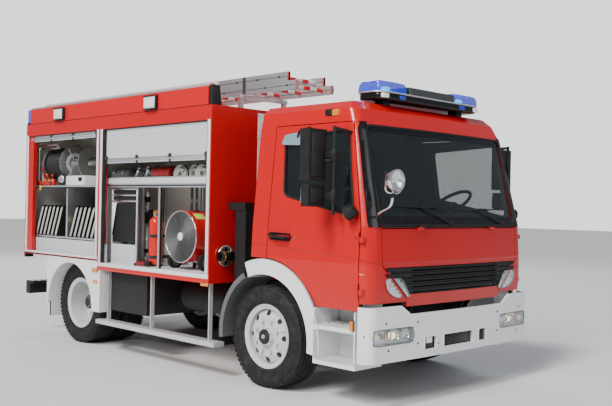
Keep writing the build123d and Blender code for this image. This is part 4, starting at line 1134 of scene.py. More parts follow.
@dataclass
class CabFace:
    """The cab's front: windscreen trim, wipers, corner lamps, louvres and the search lamp."""

    glass_half: float = 0.956
    glass_bottom: float = 1.412
    glass_top: float = 2.194
    glass_corner: float = 0.070
    louvre_count: int = 5
    louvre_z: Span = (0.868, 1.085)
    edge_foot: Span = (0.672, 0.850)
    edge_slope: Span = (0.280, 0.250)
    edge_gap: float = 0.0045
    search_place: Point = (1.318, -1.070, 1.750)
    marker_y: float = 1.008
    skin: Skin = field(
        default_factory=lambda: Skin("windscreen", "cab_front", "cab_roof", "front_flap", "grille")
    )
    lamp: tuple[Span, ...] = (
        (0.930, 1.000), (0.735, 1.000), (0.690, 0.930), (0.630, 0.846), (0.815, 0.852), (0.905, 0.905),
    )

    def build(self) -> None:
        """Builds the face's pieces."""
        self.windscreen_trim()
        self.wipers()
        self.corner_lamps()
        self.louvres()
        self.search_lamp()
        self.roof_markers()

    def seat(self, proud: float) -> Seat:
        """Returns a seat on the face that stands proud of it."""
        return self.skin.front_seat(proud, ahead(1.1))

    def windscreen_trim(self) -> None:
        """Makes the gasket, the black bands and the pillar fairings."""
        form = Cover()
        half, low, high = self.glass_half, self.glass_bottom, self.glass_top
        rim = ring_of(corners((-half, half), (low, high)), self.glass_corner, 8)
        outer = Skin("cab_front", "cab_roof")
        gasket = []
        for (y, z), (y_next, z_next) in zip(rim, rim[1:] + rim[:1]):
            for share in (0.0, 0.25, 0.5, 0.75) if abs(y_next - y) > 0.1 or abs(z_next - z) > 0.1 else (0.0,):
                here_y, here_z = y + (y_next - y) * share, z + (z_next - z) * share
                wide = outer.front(
                    here_y * 1.012, here_z + (0.010 if here_z > 1.8 else -0.010), 0.001, ahead(1.0),
                )
                gasket.append((wide.x, here_y, here_z))
        form.pipe(Coat.RUBBER, gasket, 0.011, ring=True)
        band = corners((-0.925, 0.925), (low + 0.006, low + 0.072))
        form.sheet_over(Coat.GLOSS, Across.X, band, self.seat(0.001), (0.003, 0.0, 0.0), 0.08)
        top = corners((-0.90, 0.90), (high - 0.045, high - 0.006))
        form.sheet_over(Coat.GLOSS, Across.X, top, self.seat(0.001), (0.003, 0.0, 0.0), 0.08)
        cowl = [(-0.948, 1.3945), (0.948, 1.3945), (0.956, low), (-0.956, low)]
        form.sheet_over(Coat.BLACK, Across.X, cowl, self.seat(0.001), (0.005, 0.0, 0.0), 0.08)
        for side in Side:
            strip = [
                (0.960, 1.396), (1.070, 1.396), (1.070, 1.444), (1.064, 1.515), (1.050, 1.708),
                (1.022, 2.036), (1.014, 2.165), (0.992, 2.222), (0.930, 2.222), (0.960, 2.150),
            ]
            form.sheet_over(
                Coat.GLOSS, Across.X, mirrored(strip, side.value), self.seat(0.0), (0.007, 0.0, 0.0), 0.05,
            )
        form.piece("windscreen_trim", "cab", "black_plastic")

    def wipers(self) -> None:
        """Makes the two wipers, their arms and their spindles."""
        form = Form()
        for start, end, pivot in (
            ((-0.752, 1.560), (-0.231, 1.552), (-0.097, 1.425)),
            ((0.02, 1.535), (0.60, 1.548), (0.72, 1.425)),
        ):
            points = []
            for index in range(9):
                share = index / 8
                y, z = start[0] + (end[0] - start[0]) * share, start[1] + (end[1] - start[1]) * share
                points.append(self.skin.front(y, z, 0.012))
            form.pipe(Coat.RUBBER, points, 0.006)
            form.pipe(Coat.BLACK, [place + Vector((0.010, 0.0, 0.003)) for place in points[1:-1]], 0.004)
            foot = self.skin.front(*pivot, 0.010)
            middle = points[5] + Vector((0.016, 0.0, 0.0))
            knee = foot + (middle - foot) * 0.25 + Vector((0.012, 0.0, 0.0))
            form.pipe(Coat.BLACK, [foot + Vector((0.012, 0.0, 0.0)), knee, middle], 0.007, 0.03)
            form.rod(
                Coat.BLACK, foot - Vector((0.012, 0.0, 0.0)), foot + Vector((0.022, 0.0, 0.0)), 0.019, 0.014,
            )
            form.block(Coat.BLACK, (middle.x - 0.012, middle.x + 0.004), about(middle.y, 0.03),
                       about(middle.z, 0.009), 0.003)
        form.piece("wipers", "cab", "black_plastic")

    def corner_lamps(self) -> None:
        """Makes the clear corner lamps, split where the flap's edge crosses them."""
        outline = ring_of(list(self.lamp), 0.035, 5)
        for side in Side:
            for keep_out, body in ((True, "cab"), (False, "flap")):
                form = Cover()
                sign = 1.0 if keep_out else -1.0
                flat = mirrored(self.clipped(outline, sign), side.value)
                form.sheet_over(Coat.REFLECTOR, Across.X, flat, self.seat(0.0015), (0.002, 0.0, 0.0), 0.03)
                form.sheet_over(Coat.LENS, Across.X, flat, self.seat(0.004), (0.012, 0.0, 0.0), 0.03)
                if keep_out:
                    bulb = self.skin.front(side.value * 0.872, 0.952, 0.004)
                    form.rod(Coat.AMBER, bulb, bulb + Vector((0.010, 0.0, 0.0)), 0.014, 0.009)
                rim = [self.seat(0.006)(y, z) for y, z in flat]
                form.pipe(Coat.GREY, rim, 0.0035, ring=True, sides=1)
                form.piece(f"corner_lamp_{side.word}_{body}", body, "lamp_lens")

    def flap_edge(self, z: float) -> float:
        """Returns how far out the flap's slanting edge lies at a height."""
        (foot_y, foot_z), (run, rise) = self.edge_foot, self.edge_slope
        return foot_y + (z - foot_z) / rise * run

    def clipped(self, outline: list[Span], sign: float) -> list[Span]:
        """Returns the part of an outline that lies on one side of the flap's edge.

        Args:
            outline: The closed outline.
            sign: 1 for the part outside the edge, -1 for the part inside it.

        Returns:
            The clipped outline, half a gap away from the edge.
        """
        def inside(y: float, z: float) -> float:
            """Returns how far a point lies on the kept side."""
            return sign * (y - self.flap_edge(z)) - self.edge_gap

        kept: list[Span] = []
        for here, after in zip(outline, outline[1:] + outline[:1]):
            value, later = inside(*here), inside(*after)
            if value >= 0:
                kept.append(here)
            if value * later < 0:
                share = value / (value - later)
                kept.append((here[0] + (after[0] - here[0]) * share, here[1] + (after[1] - here[1]) * share))
        return kept

    def louvres(self) -> None:
        """Makes the louvre blades."""
        form = Cover()
        low, high = self.louvre_z
        pitch = (high - low) / self.louvre_count
        for index in range(self.louvre_count):
            top = high - pitch * index - 0.006
            reach = 0.925 if top > 1.02 else self.flap_edge(top - pitch) - 0.02
            foot = max(reach - 0.030, 0.55)
            blade = [(-reach, top), (reach, top), (foot, top - pitch * 0.62), (-foot, top - pitch * 0.62)]
            form.sheet_over(
                Coat.BLACK, Across.X, blade, self.seat(0.0), (0.011 - 0.001 * index, 0.0, 0.0), 0.06,
            )
        form.piece("grille_louvres", "flap", "black_plastic")

    def search_lamp(self) -> None:
        """Makes the chromed search lamp on its bent arm."""
        form = Form()
        x, y, z = self.search_place
        centre = Vector((ahead(x), y, z))
        bowl = [
            (-0.034, 0.0), (-0.034, 0.030), (-0.022, 0.060), (0.0, 0.078), (0.030, 0.084), (0.052, 0.086),
            (0.058, 0.084), (0.058, 0.076), (0.040, 0.072), (0.018, 0.030), (0.018, 0.0),
        ]
        form.lathe(Coat.CHROME, bowl, centre, (1, 0, 0))
        form.lathe(
            Coat.LENS, [(0.052, 0.076), (0.056, 0.060), (0.060, 0.030), (0.060, 0.0)], centre, (1, 0, 0),
        )
        form.rod(Coat.WARM, centre + Vector((0.018, 0, 0)), centre + Vector((0.040, 0, 0)), 0.014, 0.010)
        arm = [
            centre + Vector((0.012, 0.0, -0.080)), centre + Vector((0.0, 0.0, -0.190)),
            Vector((ahead(1.19), -1.045, 1.515)), self.skin.front(-1.005, 1.462, -0.01),
        ]
        form.pipe(Coat.CHROME, arm, 0.010, 0.05)
        fork = ((-0.086, 0.0), (-0.092, -0.085), (0.0, -0.100), (0.092, -0.085), (0.086, 0.0))
        form.pipe(Coat.CHROME, [centre + Vector((0.012, across, up)) for across, up in fork], 0.006, 0.05)
        form.rod(Coat.BLACK, centre + Vector((0.012, 0, -0.094)), centre + Vector((0.012, 0, -0.130)), 0.018)
        form.piece("search_lamp", "cab", "bare_steel")

    def roof_markers(self) -> None:
        """Makes the amber markers on the roof's corners."""
        form = Form()
        for side in Side:
            y = side.value * self.marker_y
            form.block(Coat.BLACK, between(0.575, 0.655), about(y, 0.018), (2.280, 2.332), 0.006)
            form.block(Coat.AMBER, between(0.650, 0.722), about(y, 0.020), (2.274, 2.328), 0.010)
        form.piece("roof_markers", "cab", "lamp_lens")


@dataclass
class LightBar:
    """The blue light bar on the cab roof."""

    x: Span = (0.600, 0.900)
    half: float = 0.715
    z: Span = (2.432, 2.592)
    lens_inner: float = 0.330
    lamp_y: float = 0.52
    fins: int = 26
    slats: int = 5

    def build(self) -> None:
        """Builds the bar."""
        form = Form()
        low, high = self.z
        middle = (ahead(self.x[0]) + ahead(self.x[1])) / 2
        depth = (self.x[1] - self.x[0]) / 2
        plan = ring_of(corners((middle - depth, middle + depth), (-self.half, self.half)), 0.115, 7)
        shrunk = [(middle + (x - middle) * 0.94, y * 0.985) for x, y in plan]
        form.slab(Coat.GLOSS, Across.Z, shrunk, (low, low + 0.060), 0.012)
        form.slab(Coat.ALU, Across.Z, plan, (low + 0.056, low + 0.068), 0.003)
        front = middle + depth
        for side in Side:
            form.take(self.dome(middle, depth, side), Coat.BLUE)
            y = side.value * self.lamp_y
            form.rod(
                Coat.FLASH, (middle + 0.030, y, low + 0.070), (middle + 0.030, y, high - 0.040), 0.042,
                bevel=0.010,
            )
            outer, inner = layer(y, side.value, -0.085, 0.165), layer(y, side.value, 0.130, -0.050)
            form.block(Coat.WARM, (front - 0.030, front - 0.004), outer, (low + 0.012, low + 0.050), 0.006)
            form.block(Coat.BLUE, (front - 0.030, front - 0.002), inner, (low + 0.014, low + 0.048), 0.006)
            form.block(Coat.BLACK, about(middle, 0.05), about(y, 0.045), (2.384, low + 0.004), 0.008)
        lip = low + 0.068
        window = (-self.lens_inner, self.lens_inner)
        form.block(Coat.BLACK, (middle - depth + 0.02, front - 0.02), window, (lip, high - 0.024), 0.02)
        for index in range(self.fins):
            y = -self.lens_inner + 0.015 + index * (2 * self.lens_inner - 0.03) / (self.fins - 1)
            form.block(
                Coat.GREY, (front - 0.024, front - 0.016), about(y, 0.004), (lip + 0.004, high - 0.036),
            )
        for index in range(self.slats):
            z = lip + 0.010 + index * 0.012
            form.block(Coat.GREY, (front - 0.024, front - 0.014), (-0.32, 0.32), (z, z + 0.003))
        form.piece("light_bar", "cab", "lamp_lens", ("cab_lamps",))

    def dome(self, middle: float, depth: float, side: Side) -> bmesh.types.BMesh:
        """Returns one blue lens: a rounded box drawn in towards its top.

        Args:
            middle: The middle of its length.
            depth: Half of the bar's length.
            side: Which side of the bar it covers.

        Returns:
            The lens's mesh.
        """
        low, high = self.z[0] + 0.068, self.z[1] - 0.003
        inner, outer = side.value * self.lens_inner, side.value * (self.half - 0.004)
        part = bmesh.new()
        plan = ring_of(corners((middle - depth + 0.004, middle + depth - 0.004), (inner, outer)), 0.09, 7)
        face = part.faces.new([part.verts.new((x, y, low)) for x, y in plan])
        centre_y = (inner + outer) / 2
        for z, share in ((low + 0.030, 1.0), (low + 0.062, 0.95), (low + 0.082, 0.84), (high, 0.66)):
            grown = bmesh.ops.extrude_discrete_faces(part, faces=[face])
            face = grown["faces"][0]
            for vert in face.verts:
                vert.co.z = z
            if share < 1.0:
                for vert, (x, y) in zip(face.verts, plan):
                    vert.co.x = middle + (x - middle) * share
                    vert.co.y = centre_y + (y - centre_y) * (share * 0.4 + 0.6)
        bmesh.ops.remove_doubles(part, verts=part.verts, dist=1e-6)
        return part


@dataclass
class CabSide:
    """One side of the cab: window gasket, handle, door marks, mirror faces and the kerb mirror."""

    side: Side
    mirror_y: Span = (1.252, 1.408)
    mirror_z: tuple[Span, ...] = ((1.745, 2.140), (1.545, 1.715))
    window: tuple[Span, ...] = ((0.183, 1.638), (0.141, 2.118), (0.850, 2.156), (0.975, 1.473))

    def build(self) -> None:
        """Builds the side's pieces."""
        self.skin = Skin(f"door_{self.side.word}", f"door_glass_{self.side.word}")
        self.door_trim()
        self.mirror_faces()

    def at(self, x: float, z: float, proud: float = 0.0) -> Vector:
        """Returns a place on the door's outside."""
        return self.skin.side(self.side, ahead(x), z, proud)

    def door_trim(self) -> None:
        """Makes the window's gasket, the handle and the lock."""
        form = Cover()
        sign = self.side.value
        rim = ring_of(list(self.window), 0.050, 6)
        door = Skin(f"door_{self.side.word}")
        middle = (sum(x for x, _z in rim) / len(rim), sum(z for _x, z in rim) / len(rim))
        gasket = []
        for x, z in rim:
            wide = (middle[0] + (x - middle[0]) * 1.05, middle[1] + (z - middle[1]) * 1.05)
            met = door.side(self.side, ahead(wide[0]), wide[1], 0.0)
            gasket.append((ahead(x), met.y, z))
        form.pipe(Coat.RUBBER, gasket, 0.010, ring=True)
        dish = ring_of([(0.030, 1.262), (0.300, 1.254), (0.300, 1.318), (0.030, 1.326)], 0.030, 5)
        dish = [(ahead(x), z) for x, z in dish]
        seat = self.skin.side_seat(self.side, 0.0005)
        form.sheet_over(Coat.GLOSS, Across.Y, dish, seat, (0.0, sign * 0.0015, 0.0), 0.05)
        handle = [
            self.at(0.045, 1.300), self.at(0.050, 1.300, 0.026), self.at(0.150, 1.295, 0.028),
            self.at(0.278, 1.288, 0.026), self.at(0.284, 1.288),
        ]
        form.pipe(Coat.BLACK, handle, 0.011, 0.02)
        lock = self.at(0.335, 1.288)
        form.rod(Coat.CHROME, lock, lock + Vector((0.0, sign * 0.005, 0.0)), 0.012)
        form.piece(f"door_trim_{self.side.word}", f"{self.side.word}_door", "black_plastic")

    def mirror_faces(self) -> None:
        """Makes the mirrors' glasses, backs and clamps, and the kerb mirror."""
        form = Cover()
        sign = self.side.value
        rear = ahead(0.700)
        post = (ahead(0.880), sign * 1.235)
        for low, high in self.mirror_z:
            wide = (sign * self.mirror_y[0], sign * self.mirror_y[1])
            glass = ring_of(corners(wide, (low + 0.018, high - 0.018)), 0.03, 5)
            form.slab(Coat.MIRROR, Across.X, glass, (rear - 0.002, rear + 0.003))
            form.block(
                Coat.BLACK, between(0.792, 0.812), (sign * 1.262, sign * 1.398), (low + 0.03, high - 0.03),
                0.009,
            )
            z = (low + high) / 2
            form.block(
                Coat.BLACK, between(0.800, 0.896), (sign * 1.222, sign * 1.262), about(z, 0.028), 0.010,
            )
            form.rod(Coat.BLACK, (*post, z - 0.045), (*post, z + 0.045), 0.023, bevel=0.005)
        kerb = self.at(0.985, 1.500, 0.030)
        middle, way = kerb + Vector((0.0, sign * 0.03, 0.010)), (-0.55, sign * 0.10, -0.25)
        bowl = [(-0.050, 0.0), (-0.046, 0.032), (-0.020, 0.056), (0.030, 0.060), (0.034, 0.054), (0.034, 0.0)]
        form.lathe(Coat.BLACK, bowl, middle, way, 28)
        form.lathe(
            Coat.MIRROR, [(0.0345, 0.0), (0.0345, 0.052), (0.0375, 0.050), (0.0385, 0.0)], middle, way, 28,
        )
        form.rod(Coat.BLACK, self.at(1.005, 1.505, -0.004), kerb + Vector((0.01, sign * 0.02, 0.0)), 0.018)
        form.piece(f"mirror_faces_{self.side.word}", f"{self.side.word}_door", "black_plastic")
        if self.side is Side.RIGHT:
            self.hood()

    def hood(self) -> None:
        """Makes the tinted hood and the bent rail over the right mirrors."""
        hood = Cover()
        visor = [(0.120, 2.060), (0.150, 2.140), (0.430, 2.170), (0.430, 2.085), (0.330, 2.050)]
        hood.sheet_over(Coat.VISOR, Across.Y, [(ahead(x), z) for x, z in ring_of(visor, 0.02, 3)],
                        self.skin.side_seat(self.side, 0.004), (0.0, -0.022, 0.0), 0.04)
        hood.pipe(
            Coat.BLACK,
            [self.at(0.30, 2.115, 0.028), self.at(0.34, 2.165, 0.05), self.at(0.45, 2.190, 0.030)], 0.009,
            0.04,
        )
        hood.piece("side_mirror_hood", "right_door", "black_plastic")


@dataclass
class Tyres:
    """The six tyres, each with a grooved tread in place of the CAD ring."""

    radius: float = 0.435
    bead: float = 0.262
    groove: float = 0.011
    lug_count: int = 60

    def build(self) -> None:
        """Builds a tyre on every rim."""
        for side in Side:
            self.tyre(f"front_tyre_{side.word}", f"front_wheel_{side.word}", 1)
            self.tyre(f"rear_tyres_{side.word}", f"rear_wheels_{side.word}", 2)

    def profile(self, half: float) -> list[Span]:
        """Returns the closed section of a tyre.

        Args:
            half: Half of its width.

        Returns:
            Points of distance along the axle and radius.
        """
        top, low = self.radius, self.bead
        line = [
            (-half * 0.80, low), (-half * 0.90, low + 0.020), (-half * 0.985, low + 0.060),
            (-half, low + 0.095), (-half * 0.985, top - 0.045), (-half * 0.93, top - 0.022),
            (-half * 0.86, top - 0.008), (-half * 0.78, top - 0.002),
        ]
        for centre in (-0.50, -0.17, 0.17, 0.50):
            wide = 0.006
            line += [
                (half * centre - wide, top), (half * centre - wide * 0.6, top - self.groove),
                (half * centre + wide * 0.6, top - self.groove), (half * centre + wide, top),
            ]
        return line + [(-along, radius) for along, radius in reversed(line[:8])] + [line[0]]

    def tyre(self, node: str, body: str, count: int) -> None:
        """Makes the tyre or the twin tyres of one wheel body.

        Args:
            node: The CAD node that they stand for.
            body: The wheel body.
            count: How many stand side by side.
        """
        form = Form()
        low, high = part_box(node)
        span = high.y - low.y
        x, z = (low.x + high.x) / 2, (low.z + high.z) / 2
        half = span / 2 if count == 1 else (span - 0.044) / 4
        places = (0.0,) if count == 1 else (-(span / 2 - half), span / 2 - half)
        for place in places:
            centre = (x, (low.y + high.y) / 2 + place, z)
            form.lathe(Coat.TYRE, self.profile(half), centre, (0, 1, 0), 96)
            for wall in (-1, 1):
                for radius in (0.300, 0.392):
                    y = centre[1] + wall * half * 0.992
                    ring = [(x + radius * along, y, z + radius * up) for along, up in circle(72)]
                    form.pipe(Coat.TYRE, ring, 0.0022, ring=True, sides=0)
            self.lugs(form, centre, half)
        form.piece(node.replace("tyre", "tread"), body, "tyre", (node,))

    def lugs(self, form: Form, centre: Point, half: float) -> None:
        """Adds the shoulder lugs round a tyre.

        Args:
            form: The form that takes them.
            centre: The tyre's middle.
            half: Half of its width.
        """
        for index in range(self.lug_count):
            angle = 360.0 * index / self.lug_count
            for wall in (-1, 1):
                lug = brick((0.030, half * 0.20, 0.010))
                bmesh.ops.translate(lug, verts=lug.verts, vec=(0.0, wall * half * 0.83, self.radius - 0.0075))
                lug.transform(Matrix.Translation(centre) @ turn("Y", angle))
                form.take(lug, Coat.TYRE)


@dataclass
class WheelDress:
    """Hub covers, inner bolts, painted shade in the hand holes and valves on the four wheel bodies."""

    nut_circle: float = 0.1375
    bolt_circle: float = 0.105 * 0.72
    hole_shade_slope: Span = (0.178, 0.214)
    nut_count: int = 8

    def build(self) -> None:
        """Dresses both axles' wheels."""
        for side in Side:
            self.front(side)
            self.rear(side)

    def front(self, side: Side) -> None:
        """Dresses a front wheel, whose hub stands out."""
        form = Form()
        low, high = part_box(f"front_rim_{side.word}")
        sign = side.value
        z = (low.z + high.z) / 2
        skin = Skin(f"front_rim_{side.word}")
        y = skin.hit((AXLE_X + self.nut_circle * 0.55, sign * 3.0, z), (0, -sign, 0)).y
        cover = [(0.0, 0.0), (0.018, 0.0), (0.020, 0.048), (0.014, 0.060), (0.0, 0.064)]
        form.lathe(Coat.FRAME, cover, (AXLE_X, y - sign * 0.001, z), (0, sign, 0), 32)
        cap = [(0.0, 0.0), (0.024, 0.0), (0.026, 0.014), (0.018, 0.020)]
        form.lathe(Coat.STEEL, cap, (AXLE_X, y, z), (0, sign, 0), 20)
        for along, up in circle(self.nut_count, 0.5):
            start = (AXLE_X + self.bolt_circle * along, sign * 3.0, z + self.bolt_circle * up)
            form.bolts(Coat.STEEL, [skin.hit(start, (0, -sign, 0))], (0, sign, 0), 0.009)
        self.hole_shades(form, skin, sign, z)
        self.valve(form, skin, sign, AXLE_X, z)
        form.piece(f"front_hub_{side.word}", f"front_wheel_{side.word}", "wheel_grey")

    def rear(self, side: Side) -> None:
        """Dresses a rear pair, whose hub stands in a dish."""
        form = Form()
        low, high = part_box(f"rear_rims_{side.word}")
        sign = side.value
        z = (low.z + high.z) / 2
        skin = Skin(f"rear_rims_{side.word}")
        y = skin.hit((REAR_AXLE_X + 0.035, sign * 3.0, z), (0, -sign, 0)).y
        cover = [(0.0, 0.0), (0.050, 0.0), (0.052, 0.060), (0.040, 0.074), (0.0, 0.080)]
        form.lathe(Coat.FRAME, cover, (REAR_AXLE_X, y - sign * 0.001, z), (0, sign, 0), 32)
        bolts = [(REAR_AXLE_X + 0.056 * along, y + sign * 0.050, z + 0.056 * up) for along, up in circle(10)]
        form.bolts(Coat.STEEL, bolts, (0, sign, 0), 0.008)
        self.valve(form, skin, sign, REAR_AXLE_X, z)
        form.piece(f"rear_hub_{side.word}", f"rear_wheels_{side.word}", "wheel_grey")

    def hole_shades(self, form: Form, skin: Skin, sign: int, z: float) -> None:
        """Paints the hand holes' shade as black discs on the sloping part of a front disc.

        Args:
            form: The form that takes them.
            skin: The rim's surface.
            sign: The side, as a sign of Y.
            z: The wheel's height.
        """
        (along, up), *_rest = circle(self.nut_count, 0.5)
        near, far = self.hole_shade_slope
        depth = []
        for reach in self.hole_shade_slope:
            start = (AXLE_X + reach * along, sign * 3.0, z + reach * up)
            depth.append(skin.hit(start, (0, -sign, 0)).y * sign)
        fall = (depth[0] - depth[1]) / (far - near)
        reach, y = (near + far) / 2, sign * (sum(depth) / 2 + 0.0008)
        # painted shade: thin black discs stand in for the dark inside of the hand holes
        mouth = [(0.0, 0.0), (0.0012, 0.0), (0.0012, 0.0225), (0.0, 0.0235)]
        for along, up in circle(self.nut_count):
            place = (AXLE_X + reach * along, y, z + reach * up)
            form.lathe(Coat.FRAME, mouth, place, (fall * along, sign, fall * up), 20)

    def valve(self, form: Form, skin: Skin, sign: int, x: float, z: float) -> None:
        """Adds the tyre valve.

        Args:
            form: The form that takes it.
            skin: The rim's surface.
            sign: The side, as a sign of Y.
            x: The axle's X.
            z: The axle's height.
        """
        foot = skin.hit((x + 0.214, sign * 3.0, z + 0.060), (0, -sign, 0))
        knee, tip = foot + Vector((0.004, sign * 0.030, 0.0)), foot + Vector((-0.016, sign * 0.052, -0.004))
        form.pipe(Coat.BRASS, [foot, knee, tip], 0.004, 0.01)


@dataclass
class CabSteps:
    """The step wells' treads, edges, bolts and amber markers, and the arch trims' lips."""

    x: Span = (0.599, 1.016)
    treads: tuple[Span, ...] = ((0.330, 1.120), (0.605, 1.108))
    hub_z: float = 0.435
    rows: int = 7
    columns: int = 13

    def build(self) -> None:
        """Builds both sides."""
        rear, front = between(*self.x)
        for side in Side:
            form = Form()
            sign = side.value
            for z, reach in self.treads:
                plate, lip = (sign * (reach - 0.006), sign * 0.830), (sign * reach, sign * (reach - 0.008))
                form.block(Coat.TREAD, (rear + 0.004, front - 0.004), plate, (z - 0.002, z + 0.006), 0.002)
                for row in range(self.rows):
                    y = sign * (reach - 0.022 - row * 0.038)
                    for column in range(self.columns):
                        x = rear + 0.022 + column * 0.031 + (row % 2) * 0.010
                        form.block(Coat.TREAD, (x, x + 0.020), about(y, 0.006), (z + 0.004, z + 0.013), 0.002)
                form.block(Coat.TREAD, (rear + 0.002, front - 0.002), lip, (z - 0.022, z + 0.012), 0.002)
            form.block(
                Coat.BLACK, (front - 0.012, front + 0.010), (sign * 1.119, sign * 1.127), (0.600, 0.682),
                0.003,
            )
            form.block(
                Coat.AMBER, (front - 0.030, front + 0.004), (sign * 1.120, sign * 1.146), (0.606, 0.676),
                0.006,
            )
            bolts = [(front + 0.004, sign * 1.122, z) for z in (0.345, 0.540, 0.720)]
            form.bolts(Coat.STEEL, bolts, (0, sign, 0), 0.007)
            for radius, depth in ((0.655, 0.008), (0.532, 0.006)):
                lip = []
                for index in range(33):
                    angle = math.radians(-5 + 116 * index / 32)
                    along, up = radius * math.cos(angle), radius * math.sin(angle)
                    lip.append((AXLE_X + along, sign * 1.1335, self.hub_z + up))
                form.pipe(Coat.WHITE, lip, depth * 0.7, sides=1)
            form.piece(f"step_dress_{side.word}", "vehicle_body", "aluminium")


@dataclass
class BumperDress:
    """The bumper's lamps, screws, painted shade in its openings and towing eye."""

    lamp_y: Span = (0.622, 1.085)
    lamp_z: Span = (0.498, 0.618)
    opening_z: Span = (0.415, 0.527)
    openings_y: tuple[Span, ...] = ((-0.490, -0.322), (-0.240, 0.193), (0.270, 0.396))
    screws: tuple[Span, ...] = (
        (1.132, 0.575), (0.576, 0.649), (0.571, 0.482), (0.919, 0.454), (0.313, 0.456), (0.95, 0.665),
    )
    eye: Span = (0.333, 0.470)

    def build(self) -> None:
        """Builds the bumper's pieces."""
        self.skin = Skin("front_bumper", "headlamps")
        self.lamps()
        self.trim()

    def lamps(self) -> None:
        """Makes the headlamp clusters: bowls, bulbs, amber ends and clear ribbed fronts."""
        for side in Side:
            sign = side.value
            form = Cover()
            low, high = self.lamp_z
            inner, outer = self.lamp_y
            flat = mirrored(ring_of(corners(self.lamp_y, self.lamp_z), 0.052, 6), sign)
            seat, back = self.skin.front_seat(-0.004, ahead(1.16)), self.skin.front_seat(-0.052, ahead(1.12))
            form.sheet_over(Coat.LENS, Across.X, flat, seat, (0.006, 0.0, 0.0), 0.03)
            form.sheet_over(Coat.REFLECTOR, Across.X, flat, back, (0.004, 0.0, 0.0), 0.05)
            for share, radius in ((0.18, 0.048), (0.45, 0.050)):
                y = sign * (inner + (outer - inner) * share)
                front = self.skin.front(y, (low + high) / 2, -0.010, ahead(1.15))
                bowl = [
                    (-0.040, 0.0), (-0.038, radius * 0.4), (-0.020, radius * 0.8), (0.0, radius),
                    (0.0, radius - 0.004), (-0.018, radius * 0.74), (-0.034, radius * 0.34), (-0.036, 0.0),
                ]
                form.lathe(Coat.REFLECTOR, bowl, front, (1, 0, 0), 32)
                bulb, reach = (Coat.BEAM, 0.030) if share > 0.4 else (Coat.WARM, 0.010)
                form.rod(
                    bulb, front - Vector((0.036, 0, 0)), front - Vector((0.012, 0, 0)), reach, reach * 0.7,
                )
            for share, finish in ((0.68, Coat.AMBER), (0.86, Coat.WARM)):
                y = sign * (inner + (outer - inner) * share)
                front = self.skin.front(y, (low + high) / 2, -0.012, ahead(1.13))
                bulb = [(-0.034, 0.0), (-0.030, 0.018), (-0.010, 0.026), (0.0, 0.020), (0.002, 0.0)]
                form.lathe(finish, bulb, front, (1, 0, 0), 24)
            rim = [self.skin.front(y, z, 0.001, ahead(1.16)) for y, z in flat]
            form.pipe(Coat.GREY, rim, 0.004, ring=True, sides=1)
            form.piece(f"headlamp_{side.word}", "vehicle_body", "lamp_lens")

    def trim(self) -> None:
        """Makes the screws, the painted shade behind the three openings and the towing eye."""
        form = Cover()
        for sign in (-1, 1):
            for y, z in self.screws:
                place = self.skin.front(sign * y, z, 0.0, ahead(1.15))
                form.rod(
                    Coat.BLACK, place - Vector((0.002, 0, 0)), place + Vector((0.003, 0, 0)), 0.0085,
                    sides=12,
                )
        z = self.opening_z
        for y in self.openings_y:
            rim = [self.skin.front(*place, 0.0, ahead(1.2)) for place in ring_of(corners(y, z), 0.018, 3)]
            form.pipe(Coat.WHITE, rim, 0.004, ring=True, sides=1)
            # painted shade: a gloss black block behind each opening stands in for the shade inside it
            back = self.skin.front((y[0] + y[1]) / 2, 0.560, -0.020, ahead(1.15)).x
            form.block(
                Coat.GLOSS, (back - 0.012, back), (y[0] - 0.004, y[1] + 0.004), (z[0] - 0.004, z[1] + 0.004),
                0.002,
            )
        form.rod(Coat.FRAME, (ahead(1.150), *self.eye), (ahead(1.215), *self.eye), 0.026, bevel=0.004)
        form.piece("bumper_trim", "vehicle_body", "black_plastic")


@dataclass
class StepBars:
    """Grip plates on the low step bars and the fittings under the body."""

    x: Span = (-2.465, -0.515)
    grip_count: int = 64
    grip_pitch: float = 0.0302
    tank_x: float = -0.95
    tank_y: float = 0.62
    tank_z: float = 0.560

    def build(self) -> None:
        """Builds both bars' grip plates, mud flaps and air tanks."""
        form = Form()
        for side in Side:
            sign = side.value
            for index in range(self.grip_count):
                x = ahead(self.x[0] + 0.02 + index * self.grip_pitch)
                form.block(Coat.TREAD, (x, x + 0.014), (sign * 1.130, sign * 1.240), (0.323, 0.330), 0.0015)
            rear, end = ahead(self.x[0]), (sign * 1.185, 0.305)
            form.rod(Coat.BLACK, (rear - 0.004, *end), (rear + 0.006, *end), 0.020, sides=4)
        form.piece("step_grips", "vehicle_body", "aluminium")
        under = Form()
        for side in Side:
            sign = side.value
            x = REAR_AXLE_X - 0.492
            under.block(Coat.RUBBER, (x, x + 0.008), (sign * 1.205, sign * 0.70), (0.250, 0.620), 0.003)
            under.block(Coat.STEEL, (x - 0.004, x + 0.012), (sign * 1.20, sign * 0.71), (0.600, 0.624), 0.002)
            front = AXLE_X - 0.640
            under.block(
                Coat.RUBBER, (front, front + 0.008), (sign * 1.09, sign * 0.78), (0.270, 0.520), 0.003,
            )
        tank, z = ahead(self.tank_x), self.tank_z
        for sign in (-1, 1):
            y = sign * self.tank_y
            under.rod(Coat.FRAME, (tank - 0.30, y, z), (tank + 0.30, y, z), 0.120, bevel=0.03, sides=32)
            for x in about(tank, 0.18):
                under.rod(Coat.STEEL, (x - 0.015, y, z), (x + 0.015, y, z), 0.123, sides=32)
                under.block(Coat.FRAME, about(x, 0.02), (y, sign * 0.40), (0.66, 0.69), 0.004)
        under.piece("under_fittings", "vehicle_body", "frame_black")


